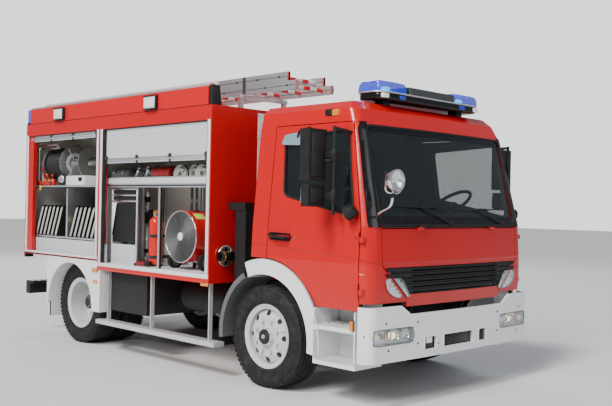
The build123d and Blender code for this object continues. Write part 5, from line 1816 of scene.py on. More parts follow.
@dataclass
class BodyTrim:
    """The equipment body's edge strips, seams, lamps, markers and roof rails."""

    sill: Span = (0.840, 0.914)
    rear_sill: Span = (0.930, 0.967)
    band: Span = (2.300, 2.437)
    top: float = 2.620
    divider: float = -2.460
    post: Span = (-2.510, -2.360)
    front_end: float = -0.655
    rear_end: float = -4.015
    rail_y: float = 1.085
    rail_z: Span = (2.612, 2.662)
    shutter_clips: int = 4
    coaming_width: float = 0.095
    rear_half: float = 0.586
    outlet_y: float = -1.070
    outlet_mouth: float = -1.150
    wall_bolts: int = 7
    grip_y: float = 1.060
    treads: int = 30
    tread_pitch: float = 0.0759
    rear_lamps: tuple[tuple[Coat, Span], ...] = (
        (Coat.RED_LENS, (0.888, 0.962)), (Coat.AMBER, (0.966, 1.040)), (Coat.WARM, (1.044, 1.122)),
    )
    shutters: dict[tuple[Side, str], float] = field(
        default_factory=lambda: {
            (Side.RIGHT, "front"): 1.945,
            (Side.RIGHT, "rear"): 2.225,
            (Side.LEFT, "front"): 0.914,
            (Side.LEFT, "rear"): 0.967,
        }
    )

    def build(self) -> None:
        """Builds the body's pieces."""
        for side in Side:
            self.edges(side)
            self.shutter_bars(side)
        self.coaming_ends()
        self.work_lamps()
        self.front_wall()
        self.rear_face()

    def edges(self, side: Side) -> None:
        """Makes the aluminium strips, seals, markers and the roof rail of one side."""
        form = Form()
        sign = side.value
        skin = sign * BODY_HALF
        rear, front, divider = ahead(self.rear_end), ahead(self.front_end), ahead(self.divider)
        post_rear, post_front = between(*self.post)
        foot, rear_foot = self.sill[1], self.rear_sill[1]
        head, crown = self.band
        strips = [(Coat.EDGE, span, 0.016, 0.003, (low, head + 0.004), 0.0025) for span, low in (
            ((front - 0.002, front + 0.036), foot), ((post_front - 0.080, post_front - 0.042), foot),
            ((post_rear - 0.002, post_rear + 0.036), rear_foot), ((rear - 0.036, rear + 0.002), rear_foot),
        )]
        strips += [
            (Coat.RUBBER, (x, x + 0.014), 0.016, -0.003, (low, head), 0.003)
            for x, low in (
                (front - 0.016, foot), (post_front + 0.002, foot), (post_rear - 0.016, rear_foot),
                (rear + 0.002, rear_foot),
            )
        ]
        strips += [(Coat.RUBBER, span, 0.016, 0.001, (head - 0.012, head + 0.001), 0.003)
                   for span in ((post_front, front), (rear, post_rear))]
        strips += [
            (Coat.RUBBER, (post_front - 0.041, post_front + 0.001), 0.012, 0.001, (foot, head), 0.003),
            (
                Coat.EDGE, (divider + 0.004, BODY_FRONT - 0.012), 0.055, 0.003, (foot - 0.034, foot + 0.004),
                0.004,
            ),
            (
                Coat.BAND, (divider + 0.004, BODY_FRONT - 0.002), 0.004, 0.002,
                (self.sill[0] + 0.002, foot - 0.036), 0.003,
            ),
            (
                Coat.EDGE, (BODY_REAR + 0.004, divider), 0.055, 0.003, (rear_foot - 0.018, rear_foot + 0.003),
                0.004,
            ),
            (
                Coat.RUBBER, (BODY_REAR + 0.006, divider - 0.002), 0.004, 0.001,
                (self.rear_sill[0] + 0.002, self.rear_sill[0] + 0.014), 0.002,
            ),
            (Coat.RUBBER, (BODY_REAR + 0.002, BODY_FRONT - 0.002), 0.004, 0.0008, about(crown, 0.003), 0.0),
            (
                Coat.ALU, (BODY_REAR + 0.09, BODY_FRONT - 0.056), 0.030, -0.006,
                (self.top - 0.016, self.top + 0.004), 0.004,
            ),
        ]
        for finish, span, inner, outer, heights, bevel in strips:
            form.block(finish, span, layer(skin, sign, inner, outer), heights, bevel)
        for x in (-2.493, -0.650):
            form.block(
                Coat.BLACK, about(ahead(x), 0.060), layer(skin, sign, 0.002, 0.004), (0.812, 0.850), 0.004,
            )
            form.block(Coat.AMBER, about(ahead(x), 0.053), (skin, skin + sign * 0.012), (0.816, 0.846), 0.005)
        form.block(
            Coat.AMBER, (REAR_AXLE_X + 0.500, REAR_AXLE_X + 0.575), (skin, skin + sign * 0.009),
            (0.700, 0.730), 0.004,
        )
        y, (low, high) = sign * self.rail_y, self.rail_z
        ends = (BODY_REAR + 0.16, low), (BODY_REAR + 0.16, high), (
            BODY_FRONT - 0.14, high,
        ), (BODY_FRONT - 0.14, low)
        form.pipe(Coat.RAIL, [(x, y, z) for x, z in ends], 0.019, 0.05)
        for index in range(5):
            x = BODY_REAR + 0.30 + index * (BODY_FRONT - BODY_REAR - 0.58) / 4
            form.rod(Coat.RAIL, (x, y, 2.606), (x, y, 2.655), 0.011, sides=12)
            form.rod(Coat.BLACK, (x, y, 2.604), (x, y, low), 0.024, sides=16)
        form.piece(f"body_edges_{side.word}", "vehicle_body", "aluminium")

    def shutter_bars(self, side: Side) -> None:
        """Makes one side's shutter bottom bars, clips, guides and handles."""
        form = Form()
        sign = side.value
        face = sign * (BODY_HALF - 0.015)
        spans = {"front": (ahead(self.post[1]) + 0.016, ahead(self.front_end) - 0.016),
                 "rear": (ahead(self.rear_end) + 0.016, ahead(self.post[0]) - 0.016)}
        for part, (low, high) in spans.items():
            z = self.shutters[(side, part)]
            span, top, lip = (low + 0.002, high - 0.002), z + 0.052, (face + sign * 0.012, z + 0.030)
            form.block(Coat.ALU, span, layer(face, sign, 0.024, 0.008), (z + 0.004, top), 0.006)
            form.block(Coat.RUBBER, span, layer(face, sign, 0.018, 0.002), (z - 0.008, z + 0.005), 0.004)
            form.rod(Coat.ALU, (low + 0.05, *lip), (high - 0.05, *lip), 0.009, bevel=0.003)
            for index in range(self.shutter_clips):
                x = low + 0.012 + index * (high - low - 0.024) / (self.shutter_clips - 1)
                (inner, outer), (near, far) = layer(face, sign, 0.004, 0.015), layer(
                    face, sign, -0.013, 0.017,
                )
                form.rod(Coat.BLACK, (x, inner, top), (x, outer, top), 0.023, bevel=0.004, sides=24)
                form.rod(Coat.CHROME, (x, near, top), (x, far, top), 0.008, sides=16)
                form.block(
                    Coat.BLACK, (x - 0.010, x + 0.018), layer(face, sign, -0.004, 0.012),
                    (z - 0.012, z + 0.046), 0.004,
                )
                form.block(
                    Coat.BLACK, (x - 0.016, x + 0.024), layer(face, sign, 0.004, 0.015),
                    (z - 0.022, z - 0.002), 0.005,
                )
        form.piece(f"shutter_bars_{side.word}", "vehicle_body", "aluminium")

    def coaming_ends(self) -> None:
        """Makes the coamings' black front caps and the blue rear corner lamps."""
        form = Form()
        low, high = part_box("roof_coamings")
        foot, inner = self.band[1], BODY_HALF - self.coaming_width
        outline = [
            (BODY_HALF - 0.003, foot), (BODY_HALF - 0.003, high.z - 0.020),
            (BODY_HALF - 0.020, high.z - 0.004), (inner, high.z - 0.004), (inner - 0.02, foot),
        ]
        sole = [(y, foot + (z - foot) * 0.14) for y, z in outline]
        for side in Side:
            sign = side.value
            form.slab(Coat.BLACK, Across.X, mirrored(outline, sign), (high.x + 0.001, high.x + 0.050), 0.008)
            form.slab(Coat.BLUE, Across.X, mirrored(outline, sign), (low.x - 0.082, low.x - 0.004), 0.014, 3)
            form.slab(Coat.BLACK, Across.X, mirrored(sole, sign), (low.x - 0.084, low.x - 0.002), 0.003)
        form.piece("coaming_ends", "vehicle_body", "black_plastic")

    def work_lamps(self) -> None:
        """Makes the side work lamps and the rear light clusters in place of their plain solids."""
        form = Form()
        for side in Side:
            sign = side.value
            y = sign * BODY_HALF
            for x in (ahead(-1.530), REAR_AXLE_X - 0.270):
                form.block(Coat.BLACK, about(x, 0.104), layer(y, sign, 0.012, 0.030), (2.446, 2.582), 0.008)
                form.block(Coat.ALU, about(x, 0.094), layer(y, sign, -0.028, 0.034), (2.456, 2.573), 0.004)
                form.block(Coat.PANE, about(x, 0.084), layer(y, sign, -0.030, 0.038), (2.465, 2.564), 0.004)
                for z in (2.450, 2.579):
                    form.block(
                        Coat.BLACK, about(x, 0.100), layer(y, sign, -0.026, 0.042), about(z, 0.004), 0.003,
                    )
            for finish, heights in self.rear_lamps:
                lens = (BODY_REAR - 0.060, BODY_REAR - 0.022)
                form.block(finish, lens, (sign * 1.135, sign * 1.225), heights, 0.008)
            form.block(
                Coat.BLACK, (BODY_REAR - 0.030, BODY_REAR + 0.004), (sign * 1.130, sign * 1.230),
                (0.882, 1.128), 0.008,
            )
        form.piece("body_lamp_units", "vehicle_body", "lamp_lens", ("body_lamps",))

    def front_wall(self) -> None:
        """Makes the grey field on the body's front wall and the coupling's fittings."""
        form = Form()
        x = BODY_FRONT
        form.block(Coat.PALE, (x - 0.001, x + 0.004), (-0.700, 0.700), (1.080, 2.405), 0.002)
        for y in (-0.690, 0.690):
            bolts = [(x + 0.004, y, 1.12 + index * 0.21) for index in range(self.wall_bolts)]
            form.bolts(Coat.STEEL, bolts, (1, 0, 0), 0.008)
        low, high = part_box("outlet_valve")
        z = (low.z + high.z) / 2
        y = self.outlet_y
        flange = [(0.0, 0.092), (0.008, 0.096), (0.014, 0.092), (0.014, 0.078), (0.0, 0.078)]
        form.lathe(Coat.STEEL, flange, (x + 0.014, y, z), (1, 0, 0), 40)
        bolts = [(x + 0.022, y + 0.070 * across, z + 0.070 * up) for across, up in circle(8, 0.5)]
        form.bolts(Coat.STEEL, bolts, (1, 0, 0), 0.010)
        collar = [(0.0, 0.044), (0.0, 0.052), (0.010, 0.052), (0.010, 0.044)]
        form.lathe(Coat.BRASS, collar, (x + 0.062, y, z), (1, 0, 0), 32)
        lever = [(x + 0.085, y, z + 0.036), (x + 0.090, y, z + 0.078), (x + 0.088, y - 0.055, z + 0.092)]
        form.pipe(Coat.STEEL, lever, 0.007, 0.02)
        mouth = self.outlet_mouth
        ring = [(0.0, 0.049), (0.0, 0.054), (0.012, 0.054), (0.012, 0.049)]
        form.lathe(Coat.BRASS, ring, (x + 0.072, mouth, z), (0, -1, 0), 32)
        for lug in (x + 0.122, x + 0.022):
            form.block(Coat.BRASS, about(lug, 0.010), (mouth - 0.014, mouth + 0.002), about(z, 0.012), 0.003)
        form.piece("front_wall_fittings", "vehicle_body", "white_paint")

    def rear_face(self) -> None:
        """Makes the rear shutter's bar, the edge strips, the blank plate, grips and reflectors."""
        form = Form()
        x = BODY_REAR
        face = x + 0.015
        half = self.rear_half
        for side in Side:
            sign = side.value
            edge, grip = sign * half, sign * self.grip_y
            form.block(Coat.WHITE, (x - 0.003, x + 0.014), (edge, edge - sign * 0.024), (0.967, 2.300), 0.003)
            form.block(
                Coat.RED_LENS, (x - 0.008, x + 0.002), (sign * 1.150, sign * 1.210), (0.935, 0.965), 0.003,
            )
            form.rod(Coat.CHROME, (x - 0.045, grip, 1.300), (x - 0.045, grip, 1.640), 0.013, bevel=0.003)
            for z in (1.310, 1.630):
                form.rod(Coat.CHROME, (x + 0.002, grip, z), (x - 0.047, grip, z), 0.010)
        form.block(Coat.ALU, (face - 0.026, face + 0.004), (-half + 0.03, half - 0.03), (0.972, 1.020), 0.006)
        form.rod(
            Coat.ALU, (face - 0.030, -half + 0.08, 0.998), (face - 0.030, half - 0.08, 0.998), 0.009,
            bevel=0.003,
        )
        plate = x - 0.150
        form.block(Coat.BLACK, (plate, plate + 0.012), (-0.272, 0.272), (0.606, 0.734), 0.004)
        form.block(Coat.BLANK, (plate - 0.005, plate + 0.001), (-0.26, 0.26), (0.615, 0.725), 0.002)
        for y in (-0.2, 0.2):
            form.block(Coat.BLACK, (plate + 0.001, plate + 0.011), about(y, 0.015), (0.580, 0.612), 0.002)
        for index in range(self.treads):
            y = -1.10 + index * self.tread_pitch
            form.block(Coat.TREAD, (x - 0.160, x - 0.020), about(y, 0.008), (0.588, 0.596), 0.002)
        form.piece("rear_fittings", "vehicle_body", "aluminium")


@dataclass
class RoofLadder:
    """The stowed ladder's caps, bolts, sleeves, pulleys and lashings."""

    stiles: Span = (-0.780, -0.330)
    low: float = 2.573
    stile_height: float = 0.082
    length: float = 3.560
    pitch: float = 0.290
    rungs: int = 12
    rung_fields: int = 5

    def build(self) -> None:
        """Builds the ladder's fittings."""
        form = Form()
        rung = self.stile_height / 2
        rows = ((ahead(0.0), self.low), (ahead(-0.105), self.low + self.stile_height))
        for row, (front, low) in enumerate(rows):
            for y in self.stiles:
                for x, way in ((front, 1), (front - self.length, -1)):
                    heights = (low + 0.001, low + self.stile_height - 0.001)
                    form.block(Coat.CYLINDER, (x - way * 0.014, x), about(y, 0.014), heights, 0.003)
                for index in range(self.rungs):
                    x = front - 0.120 - index * self.pitch
                    for way in (-1, 1):
                        face = y + way * 0.0125
                        form.rod(
                            Coat.BLACK, (x, face, low + rung), (x, face + way * 0.003, low + rung), 0.010,
                            sides=12,
                        )
                form.block(
                    Coat.GREY, (front - self.length + 0.02, front - 0.02), about(y, 0.0135),
                    (low + 0.036, low + 0.046),
                )
            inner, outer = self.stiles[0] + 0.016, self.stiles[1] - 0.016
            bounds = [
                inner + (outer - inner) * part / self.rung_fields for part in range(self.rung_fields + 1)
            ]
            for index in range(self.rungs):
                x = front - 0.120 - index * self.pitch
                for part, span in enumerate(zip(bounds, bounds[1:])):
                    finish = Coat.CYLINDER if (part + row) % 2 == 0 else Coat.WHITE
                    form.block(finish, about(x, 0.0165), span, (low + 0.0245, low + 0.0575), 0.004)
        front, low = rows[0]
        for y in self.stiles:
            x, z = front - 0.050, low + rung
            form.rod(Coat.GREY, (x, y + 0.016, z), (x, y + 0.034, z), 0.038, bevel=0.005, sides=28)
            form.rod(Coat.STEEL, (x, y + 0.012, z), (x, y + 0.040, z), 0.009)
        for x in (ahead(-0.700), REAR_AXLE_X - 0.280):
            for y in self.stiles:
                sign = -1 if y == self.stiles[0] else 1
                form.block(
                    Coat.STRAP, about(x, 0.018), layer(y, sign, -0.014, 0.017),
                    (self.low - 0.030, self.low + 0.160), 0.001,
                )
            over = (self.stiles[0] - 0.017, self.stiles[1] + 0.017)
            form.block(Coat.STRAP, about(x, 0.018), over, (self.low + 0.1605, self.low + 0.1635), 0.001)
        form.piece("ladder_fittings", "vehicle_body", "aluminium")


@dataclass
class FrontLocker:
    """What stands on the tray and the floor of the right front locker."""

    back: float = -0.640
    mouth: float = -1.190
    floor: float = 0.914
    tray: float = 1.730
    roof: float = 2.300
    rear: float = -2.425
    front: float = -0.644
    ribs: int = 22
    rib_pitch: float = 0.024
    branches: tuple[Point, ...] = (
        (-1.965, 0.20, 50), (-1.880, 0.21, -42), (-1.790, 0.20, 58), (-1.715, 0.17, -36),
    )
    rolls: tuple[Point, ...] = (
        (-1.215, 0.0, 4), (-1.050, 0.035, -3), (-0.885, 0.005, 5), (-0.740, 0.040, -4),
    )
    roll_turns: int = 6
    tray_y: float = -1.100
    rear_row: float = -0.900
    board_x: Span = (-2.335, -1.885)
    board_y: Span = (-1.165, -1.135)

    def build(self) -> None:
        """Builds the locker's pieces."""
        self.lining()
        self.tray_load()
        self.floor_load()

    def lining(self) -> None:
        """Makes the tray's lips, the pale lower panels and the corner mouldings."""
        form = Form()
        rear, front = ahead(self.rear), ahead(self.front)
        form.block(
            Coat.PALE, (rear - 0.003, rear + 0.004), (self.mouth + 0.045, self.back), (self.floor, 1.110),
            0.001,
        )
        form.block(Coat.PALE, between(-2.361, -2.357), (-1.232, -1.192), (self.floor, 1.110), 0.001)
        form.block(
            Coat.ALU_UP, (rear - 0.003, rear + 0.012), (self.mouth + 0.045, self.mouth + 0.020),
            (self.floor, self.roof), 0.002,
        )
        form.block(
            Coat.PALE, (rear, front), (self.back - 0.004, self.back + 0.003), (self.floor, 1.100), 0.001,
        )
        for x in (rear + 0.30, rear + 0.94, rear + 1.45):
            depth, slot = (self.back - 0.016, self.back - 0.002), (self.back - 0.018, self.back - 0.014)
            form.block(Coat.ALU_UP, about(x, 0.020), depth, (self.floor, self.tray - 0.014), 0.003)
            form.block(Coat.RUBBER, about(x, 0.006), slot, (self.floor + 0.02, self.tray - 0.03), 0.001)
        lips = (
            (Coat.ALU, (1.792, 1.804)), (Coat.SLAT, (1.737, 1.791)), (Coat.RUBBER, (1.714, 1.724)),
            (Coat.ALU, (1.700, 1.713)),
        )
        for finish, heights in lips:
            form.block(
                finish, (rear + 0.030, front - 0.006), (self.mouth - 0.003, self.mouth + 0.016), heights,
                0.002,
            )
        form.block(
            Coat.TREAD, (rear + 0.010, front - 0.004), (self.mouth + 0.006, self.back - 0.006),
            (self.floor - 0.002, self.floor + 0.003), 0.001,
        )
        for index in range(self.ribs):
            y = self.mouth + 0.030 + index * self.rib_pitch
            form.block(
                Coat.TREAD, (rear + 0.016, front - 0.010), about(y, 0.002),
                (self.floor + 0.002, self.floor + 0.0045),
            )
        for x in (ahead(-1.485) - 0.001, ahead(-1.455) + 0.001):
            form.block(Coat.RUBBER, about(x, 0.003), (-1.176, -1.154), (self.floor, self.tray - 0.018), 0.001)
        form.piece("front_locker_lining", "vehicle_body", "aluminium")

    def tray_load(self) -> None:
        """Makes the branch pipes, the canister and the rolled hoses that lie on the tray."""
        form = Form()
        y, z = self.tray_y, self.tray
        for index, (x, length, lean) in enumerate(self.branches):
            centre = Vector((ahead(x), y + 0.03 * (index % 2), z + 0.098))
            way = Vector(
                (math.cos(math.radians(lean)), -0.20, math.sin(math.radians(lean)))
            ).normalized() * length / 2
            start, end = centre - way, centre + way
            form.rod(Coat.STEEL, start, end, 0.030, 0.018, 24, 0.003)
            for part, radius in ((0.08, 0.038), (0.30, 0.033), (0.86, 0.024)):
                near = start.lerp(end, part)
                form.rod(
                    Coat.CHROME if part < 0.5 else Coat.BLACK, near, start.lerp(end, part + 0.10), radius,
                    bevel=0.003,
                )
        form.pipe(
            Coat.BLACK,
            [
                (ahead(-1.87), y, z + 0.07), (ahead(-1.87), y - 0.01, z + 0.135),
                (ahead(-1.80), y - 0.01, z + 0.135), (ahead(-1.80), y, z + 0.07),
            ],
            0.008, 0.02,
        )
        axis = (y + 0.02, z + 0.104)
        form.rod(Coat.MAROON, (ahead(-1.650), *axis), (ahead(-1.360), *axis), 0.078, sides=40, bevel=0.012)
        form.block(Coat.BLACK, between(-1.600, -1.400), (y - 0.030, y + 0.070), (z, z + 0.040), 0.006)
        for x in (-1.620, -1.395):
            form.rod(
                Coat.MAROON, (ahead(x) - 0.006, *axis), (ahead(x) + 0.006, *axis), 0.0805, sides=40,
                bevel=0.003,
            )
        form.rod(Coat.BLACK, (ahead(-1.360), *axis), (ahead(-1.335), *axis), 0.030, bevel=0.004)
        for index, (x, near, lean) in enumerate(self.rolls):
            self.roll(form, Vector((ahead(x), y + near, z + 0.094)), lean, index)
        form.piece("tray_equipment", "vehicle_body", "bare_steel")
        self.bag()

    def roll(self, form: Form, centre: Vector, lean: float, index: int) -> None:
        """Adds a flat delivery hose rolled up and strapped, with its coupling outside.

        Args:
            form: The piece that it belongs to.
            centre: Its middle.
            lean: Its lean in degrees.
            index: Its number, which staggers the coupling.
        """
        axis = (math.sin(math.radians(lean)), -1.0, 0.12 * (index % 2))
        for layer_index in range(self.roll_turns):
            radius = 0.030 + layer_index * 0.0105
            form.lathe(Coat.HOSE, hoop(-0.032, 0.032, radius, radius + 0.0082), centre, axis, 40)
        form.rod(
            Coat.STEEL, centre + Vector((0.030, -0.036, 0.058)), centre + Vector((0.072, -0.036, 0.030)),
            0.020, bevel=0.003,
        )
        form.lathe(Coat.STRAP, hoop(-0.010, 0.010, 0.0908, 0.0925), centre, axis, 40)

    def bag(self) -> None:
        """Makes the dark kit bag at the tray's rear as a filled cloth form."""
        part = brick((0.350, 0.150, 0.138))
        Form.soften(part, 0.030, 3)
        bmesh.ops.translate(part, verts=part.verts, vec=(ahead(-2.215), -1.085, self.tray + 0.080))
        made = filled(
            part, "kit_bag", Coat.BAG, "vehicle_body", swell=0.010,
            flat_below=self.tray + 0.002,
        )
        form = Form()
        low, high, face = self.tray + 0.006, self.tray + 0.156, -1.168
        for x in (-2.300, -2.130):
            form.block(Coat.STRAP, about(ahead(x), 0.015), about(face, 0.002), (low, high - 0.012), 0.001)
            form.block(Coat.STRAP, about(ahead(x), 0.015), (face + 0.010, -1.010), about(high, 0.002), 0.001)
            form.block(
                Coat.GREY, about(ahead(x), 0.019), (face - 0.006, face), (high - 0.052, high - 0.026), 0.003,
            )
        form.piece("kit_bag_straps", "vehicle_body")

    def floor_load(self) -> None:
        """Makes the board, the rails, the poles, the spreader and the cutter below the tray."""
        form = Form()
        floor = self.floor
        near, far = self.board_y
        left, right = between(*self.board_x)
        form.block(Coat.BLACK, (left + 0.020, right - 0.005), (near + 0.006, far), (1.140, 1.540), 0.010)
        form.slab(
            Coat.WHITE, Across.Y,
            [(left + 0.016, 1.543), (left + 0.100, 1.543), (left + 0.030, 1.250), (left + 0.016, 1.250)],
            (near, near + 0.010), 0.002,
        )
        form.slab(
            Coat.RUBBER, Across.Y,
            [(left + 0.094, 1.536), (left + 0.112, 1.536), (left + 0.036, 1.205), (left + 0.020, 1.215)],
            (near - 0.003, near + 0.010), 0.002,
        )
        form.block(Coat.PALE, (left, right), (near + 0.004, far), (floor + 0.002, 1.120), 0.006)
        for z in (1.562, 1.622, 1.684):
            form.rod(Coat.CHROME, (left, near + 0.010, z), (right, near + 0.010, z), 0.010, bevel=0.003)
        for low, high in ((1.574, 1.610), (1.634, 1.672)):
            form.block(Coat.BLACK, (left + 0.010, right - 0.010), (near + 0.012, far), (low, high), 0.004)
        for x in (left, right):
            form.rod(
                Coat.ALU_UP, (x, near + 0.014, floor + 0.002), (x, near + 0.014, self.tray - 0.020), 0.011,
                bevel=0.003,
            )
        pole, row = ahead(-2.070), self.rear_row
        for x in (-2.246, -2.156):
            form.rod(
                Coat.ALU_UP, (ahead(x), row, floor + 0.002), (ahead(x), row, self.tray - 0.014), 0.015,
                bevel=0.003,
            )
        form.rod(Coat.CHROME, (pole, row, 0.960), (pole, row, 1.660), 0.016, bevel=0.003)
        for low, high, radius in ((1.555, 1.610, 0.030), (1.330, 1.450, 0.028), (1.030, 1.070, 0.028)):
            form.rod(Coat.BLACK, (pole, row, low), (pole, row, high), radius, bevel=0.006)
        form.rod(Coat.STEEL, (pole, row, floor + 0.002), (pole, row, 0.990), 0.042, 0.028, 24, 0.004)
        form.block(
            Coat.BLACK, (pole + 0.055, pole + 0.095), (row - 0.030, row + 0.010), (1.290, 1.480), 0.012,
        )
        for heights in ((1.300, 1.325), (1.445, 1.470)):
            form.block(Coat.BLACK, (pole, pole + 0.080), about(row, 0.008), heights, 0.004)
        torch = (ahead(-2.250), -1.050)
        form.rod(Coat.ORANGE, (*torch, 0.960), (*torch, 1.125), 0.032, bevel=0.005)
        form.rod(Coat.BLACK, (*torch, 1.125), (*torch, 1.215), 0.032, 0.024, 20, 0.006)
        form.rod(Coat.BLACK, (*torch, floor + 0.003), (*torch, 0.962), 0.034, bevel=0.004)
        form.block(
            Coat.BLACK, between(-2.190, -1.900), (-1.130, -1.010), (floor + 0.003, floor + 0.042), 0.010,
        )
        form.slab(
            Coat.STEEL, Across.Z,
            [
                (ahead(-2.000), -1.145), (ahead(-1.840), -1.115), (ahead(-1.840), -1.085),
                (ahead(-2.000), -1.060),
            ],
            (floor + 0.010, floor + 0.034), 0.005,
        )
        form.slab(
            Coat.MAROON, Across.Z,
            [
                (ahead(-1.880), -1.160), (ahead(-1.845), -1.172), (ahead(-1.700), -1.150),
                (ahead(-1.690), -1.120), (ahead(-1.830), -1.090),
            ],
            (floor + 0.006, floor + 0.050), 0.010,
        )
        form.block(
            Coat.BLACK, between(-1.740, -1.660), (-1.160, -1.105), (floor + 0.004, floor + 0.056), 0.014,
        )
        form.block(
            Coat.BLACK, between(-1.900, -1.870), (-1.170, -1.050), (floor + 0.003, floor + 0.030), 0.006,
        )
        for x, y in ((-1.190, -1.000), (-1.135, -0.985)):
            form.block(Coat.STRAP, about(ahead(x), 0.018), about(y, 0.003), (1.478, 1.716), 0.001)
            form.block(Coat.GALV, about(ahead(x), 0.022), about(y, 0.008), (1.560, 1.592), 0.004)
        form.piece("locker_equipment", "vehicle_body", "bare_steel")


@dataclass
class Blower:
    """The portable blower: shroud, wire guard, motor, frame and its two wheels."""

    centre: Point = (-1.200, -1.040, 1.235)
    radius: float = 0.240
    faces: Span = (-1.118, -0.782)
    wheel: float = 0.085
    floor: float = 0.914
    wall: float = 0.007
    axle_y: float = -1.000
    foot_y: float = -0.800
    guard_rings: int = 25
    label_degrees: float = 52.0
    fan_y: float = -1.0075
    blades: int = 6
    blade_length: float = 0.186

    def build(self) -> None:
        """Builds the blower's pieces."""
        self.shroud()
        self.fan()

    def shroud(self) -> None:
        """Makes what stands still, in place of the plain housing."""
        form = Form()
        x, z = ahead(self.centre[0]), self.centre[2]
        middle, axis = (x, 0.0, z), (0, 1, 0)
        front, rear = self.faces
        inner = self.radius
        wall = inner + self.wall
        shell = [
            (front + 0.010, inner), (front, inner + 0.004), (front, wall + 0.001),
            (front + 0.010, wall + 0.005), (front + 0.022, wall), (rear - 0.060, wall),
            (rear - 0.050, wall + 0.004), (rear - 0.040, wall), (rear, wall - 0.010), (rear, inner - 0.012),
            (rear - 0.040, inner - 0.002), (front + 0.010, inner),
        ]
        form.lathe(Coat.RED, shell, middle, axis, 72)
        lining = [
            (front + 0.012, inner - 0.001), (rear - 0.042, inner - 0.003), (rear - 0.042, inner - 0.0045),
            (front + 0.012, inner - 0.0025), (front + 0.012, inner - 0.001),
        ]
        form.lathe(Coat.BLACK, lining, middle, axis, 72)
        self.guards(form, middle)
        motor = [
            (rear, 0.0), (rear, 0.052), (rear - 0.020, 0.062), (rear - 0.150, 0.062), (rear - 0.172, 0.046),
            (rear - 0.172, 0.0),
        ]
        form.lathe(Coat.BLACK, motor, middle, axis, 32)
        self.stand(form, x, z)
        angle = math.radians(self.label_degrees)
        place = Vector((x, -1.010, z)) + Vector((math.cos(angle), 0.0, math.sin(angle))) * (wall - 0.0005)
        part = brick((0.080, 0.110, 0.006))
        Form.soften(part, 0.002)
        form.take(part, Coat.LABEL, Matrix.Translation(place) @ turn("Y", 90 - self.label_degrees))
        form.block(Coat.BLACK, about(x, 0.055), (-1.000, -0.930), (z + 0.238, z + 0.2505), 0.005)
        form.piece("blower_shroud", "vehicle_body", "red_paint", ("blower_housing",))

    def guards(self, form: Form, middle: Point) -> None:
        """Adds the wire guards of both faces and the front one's white boss.

        Args:
            form: The piece that they belong to.
            middle: A point on the fan's axis, at Y zero.
        """
        x, _, z = middle
        axis, inner = (0, 1, 0), self.radius
        front, rear = self.faces
        form.lathe(Coat.CHROME, wire_ring(front + 0.002, inner + 0.003, 0.0055), middle, axis, 72)
        for index in range(self.guard_rings):
            radius = 0.046 + index * 0.0078
            bulge = 0.010 * (1 - (radius / inner) ** 2)
            form.lathe(Coat.GALV, wire_ring(front + 0.003 - bulge, radius, 0.0019, 6), middle, axis, 48)
        for along, up in circle(12):
            way = Vector((along, 0.0, up))
            start, end = Vector(
                (x, front - 0.005, z)
            ) + way * 0.040, Vector((x, front + 0.004, z)) + way * (inner + 0.002)
            form.rod(Coat.GALV, start, end, 0.0020, sides=6)
        boss = [(-0.014, 0.0), (-0.014, 0.026), (-0.008, 0.038), (0.004, 0.040), (0.004, 0.0)]
        form.lathe(Coat.WHITE, boss, (x, front + 0.002, z), axis, 32)
        for radius in (0.10, 0.17):
            form.lathe(Coat.STEEL, wire_ring(rear - 0.006, radius, 0.003), middle, axis, 48)
        hub = Vector((x, rear - 0.006, z))
        for along, up in circle(8, 0.5):
            way = Vector((along, 0.0, up))
            form.rod(Coat.STEEL, hub + way * 0.040, hub + way * (inner - 0.004), 0.004, sides=8)

    def stand(self, form: Form, x: float, z: float) -> None:
        """Adds the axle, the two small wheels and the tube frame.

        Args:
            form: The piece that they belong to.
            x: The blower's middle.
            z: The height of the fan's axis.
        """
        low, floor, axle, foot = self.floor + self.wheel, self.floor, self.axle_y, self.foot_y
        tyre = [
            (-0.020, 0.056), (-0.022, 0.074), (-0.014, self.wheel), (0.014, self.wheel), (0.022, 0.074),
            (0.020, 0.056), (-0.020, 0.056),
        ]
        disc = [
            (-0.014, 0.0), (-0.014, 0.020), (-0.006, 0.026), (-0.006, 0.046), (-0.015, 0.057),
            (0.015, 0.057), (0.006, 0.046), (0.006, 0.026), (0.014, 0.020), (0.014, 0.0),
        ]
        form.rod(Coat.STEEL, (x - 0.220, axle, low), (x + 0.220, axle, low), 0.009)
        for way in (-1, 1):
            hub, leg = x + way * 0.235, x + way * 0.190
            form.lathe(Coat.RUBBER, tyre, (hub, axle, low), (1, 0, 0), 40)
            form.lathe(Coat.GREY, disc, (hub, axle, low), (1, 0, 0), 32)
            cap = [(0.0, 0.0), (0.0, 0.014), (way * 0.010, 0.012), (way * 0.010, 0.0)]
            form.lathe(Coat.CHROME, cap, (hub + way * 0.012, axle, low), (1, 0, 0), 20)
            upright = [
                (leg, foot, floor + 0.014), (leg, foot, low + 0.080),
                (x + way * 0.170, foot - 0.040, z + 0.170), (x + way * 0.100, foot - 0.100, z + 0.237),
            ]
            form.pipe(Coat.BLACK, upright, 0.011, 0.06)
            runner = [
                (x + way * 0.205, axle, low), (x + way * 0.205, foot - 0.010, low),
                (leg, foot, floor + 0.014),
            ]
            form.pipe(Coat.BLACK, runner, 0.010, 0.03)
            form.rod(Coat.RUBBER, (leg, foot, floor + 0.001), (leg, foot, floor + 0.030), 0.017, bevel=0.004)
        form.rod(Coat.BLACK, (x - 0.190, foot, floor + 0.040), (x + 0.190, foot, floor + 0.040), 0.010)

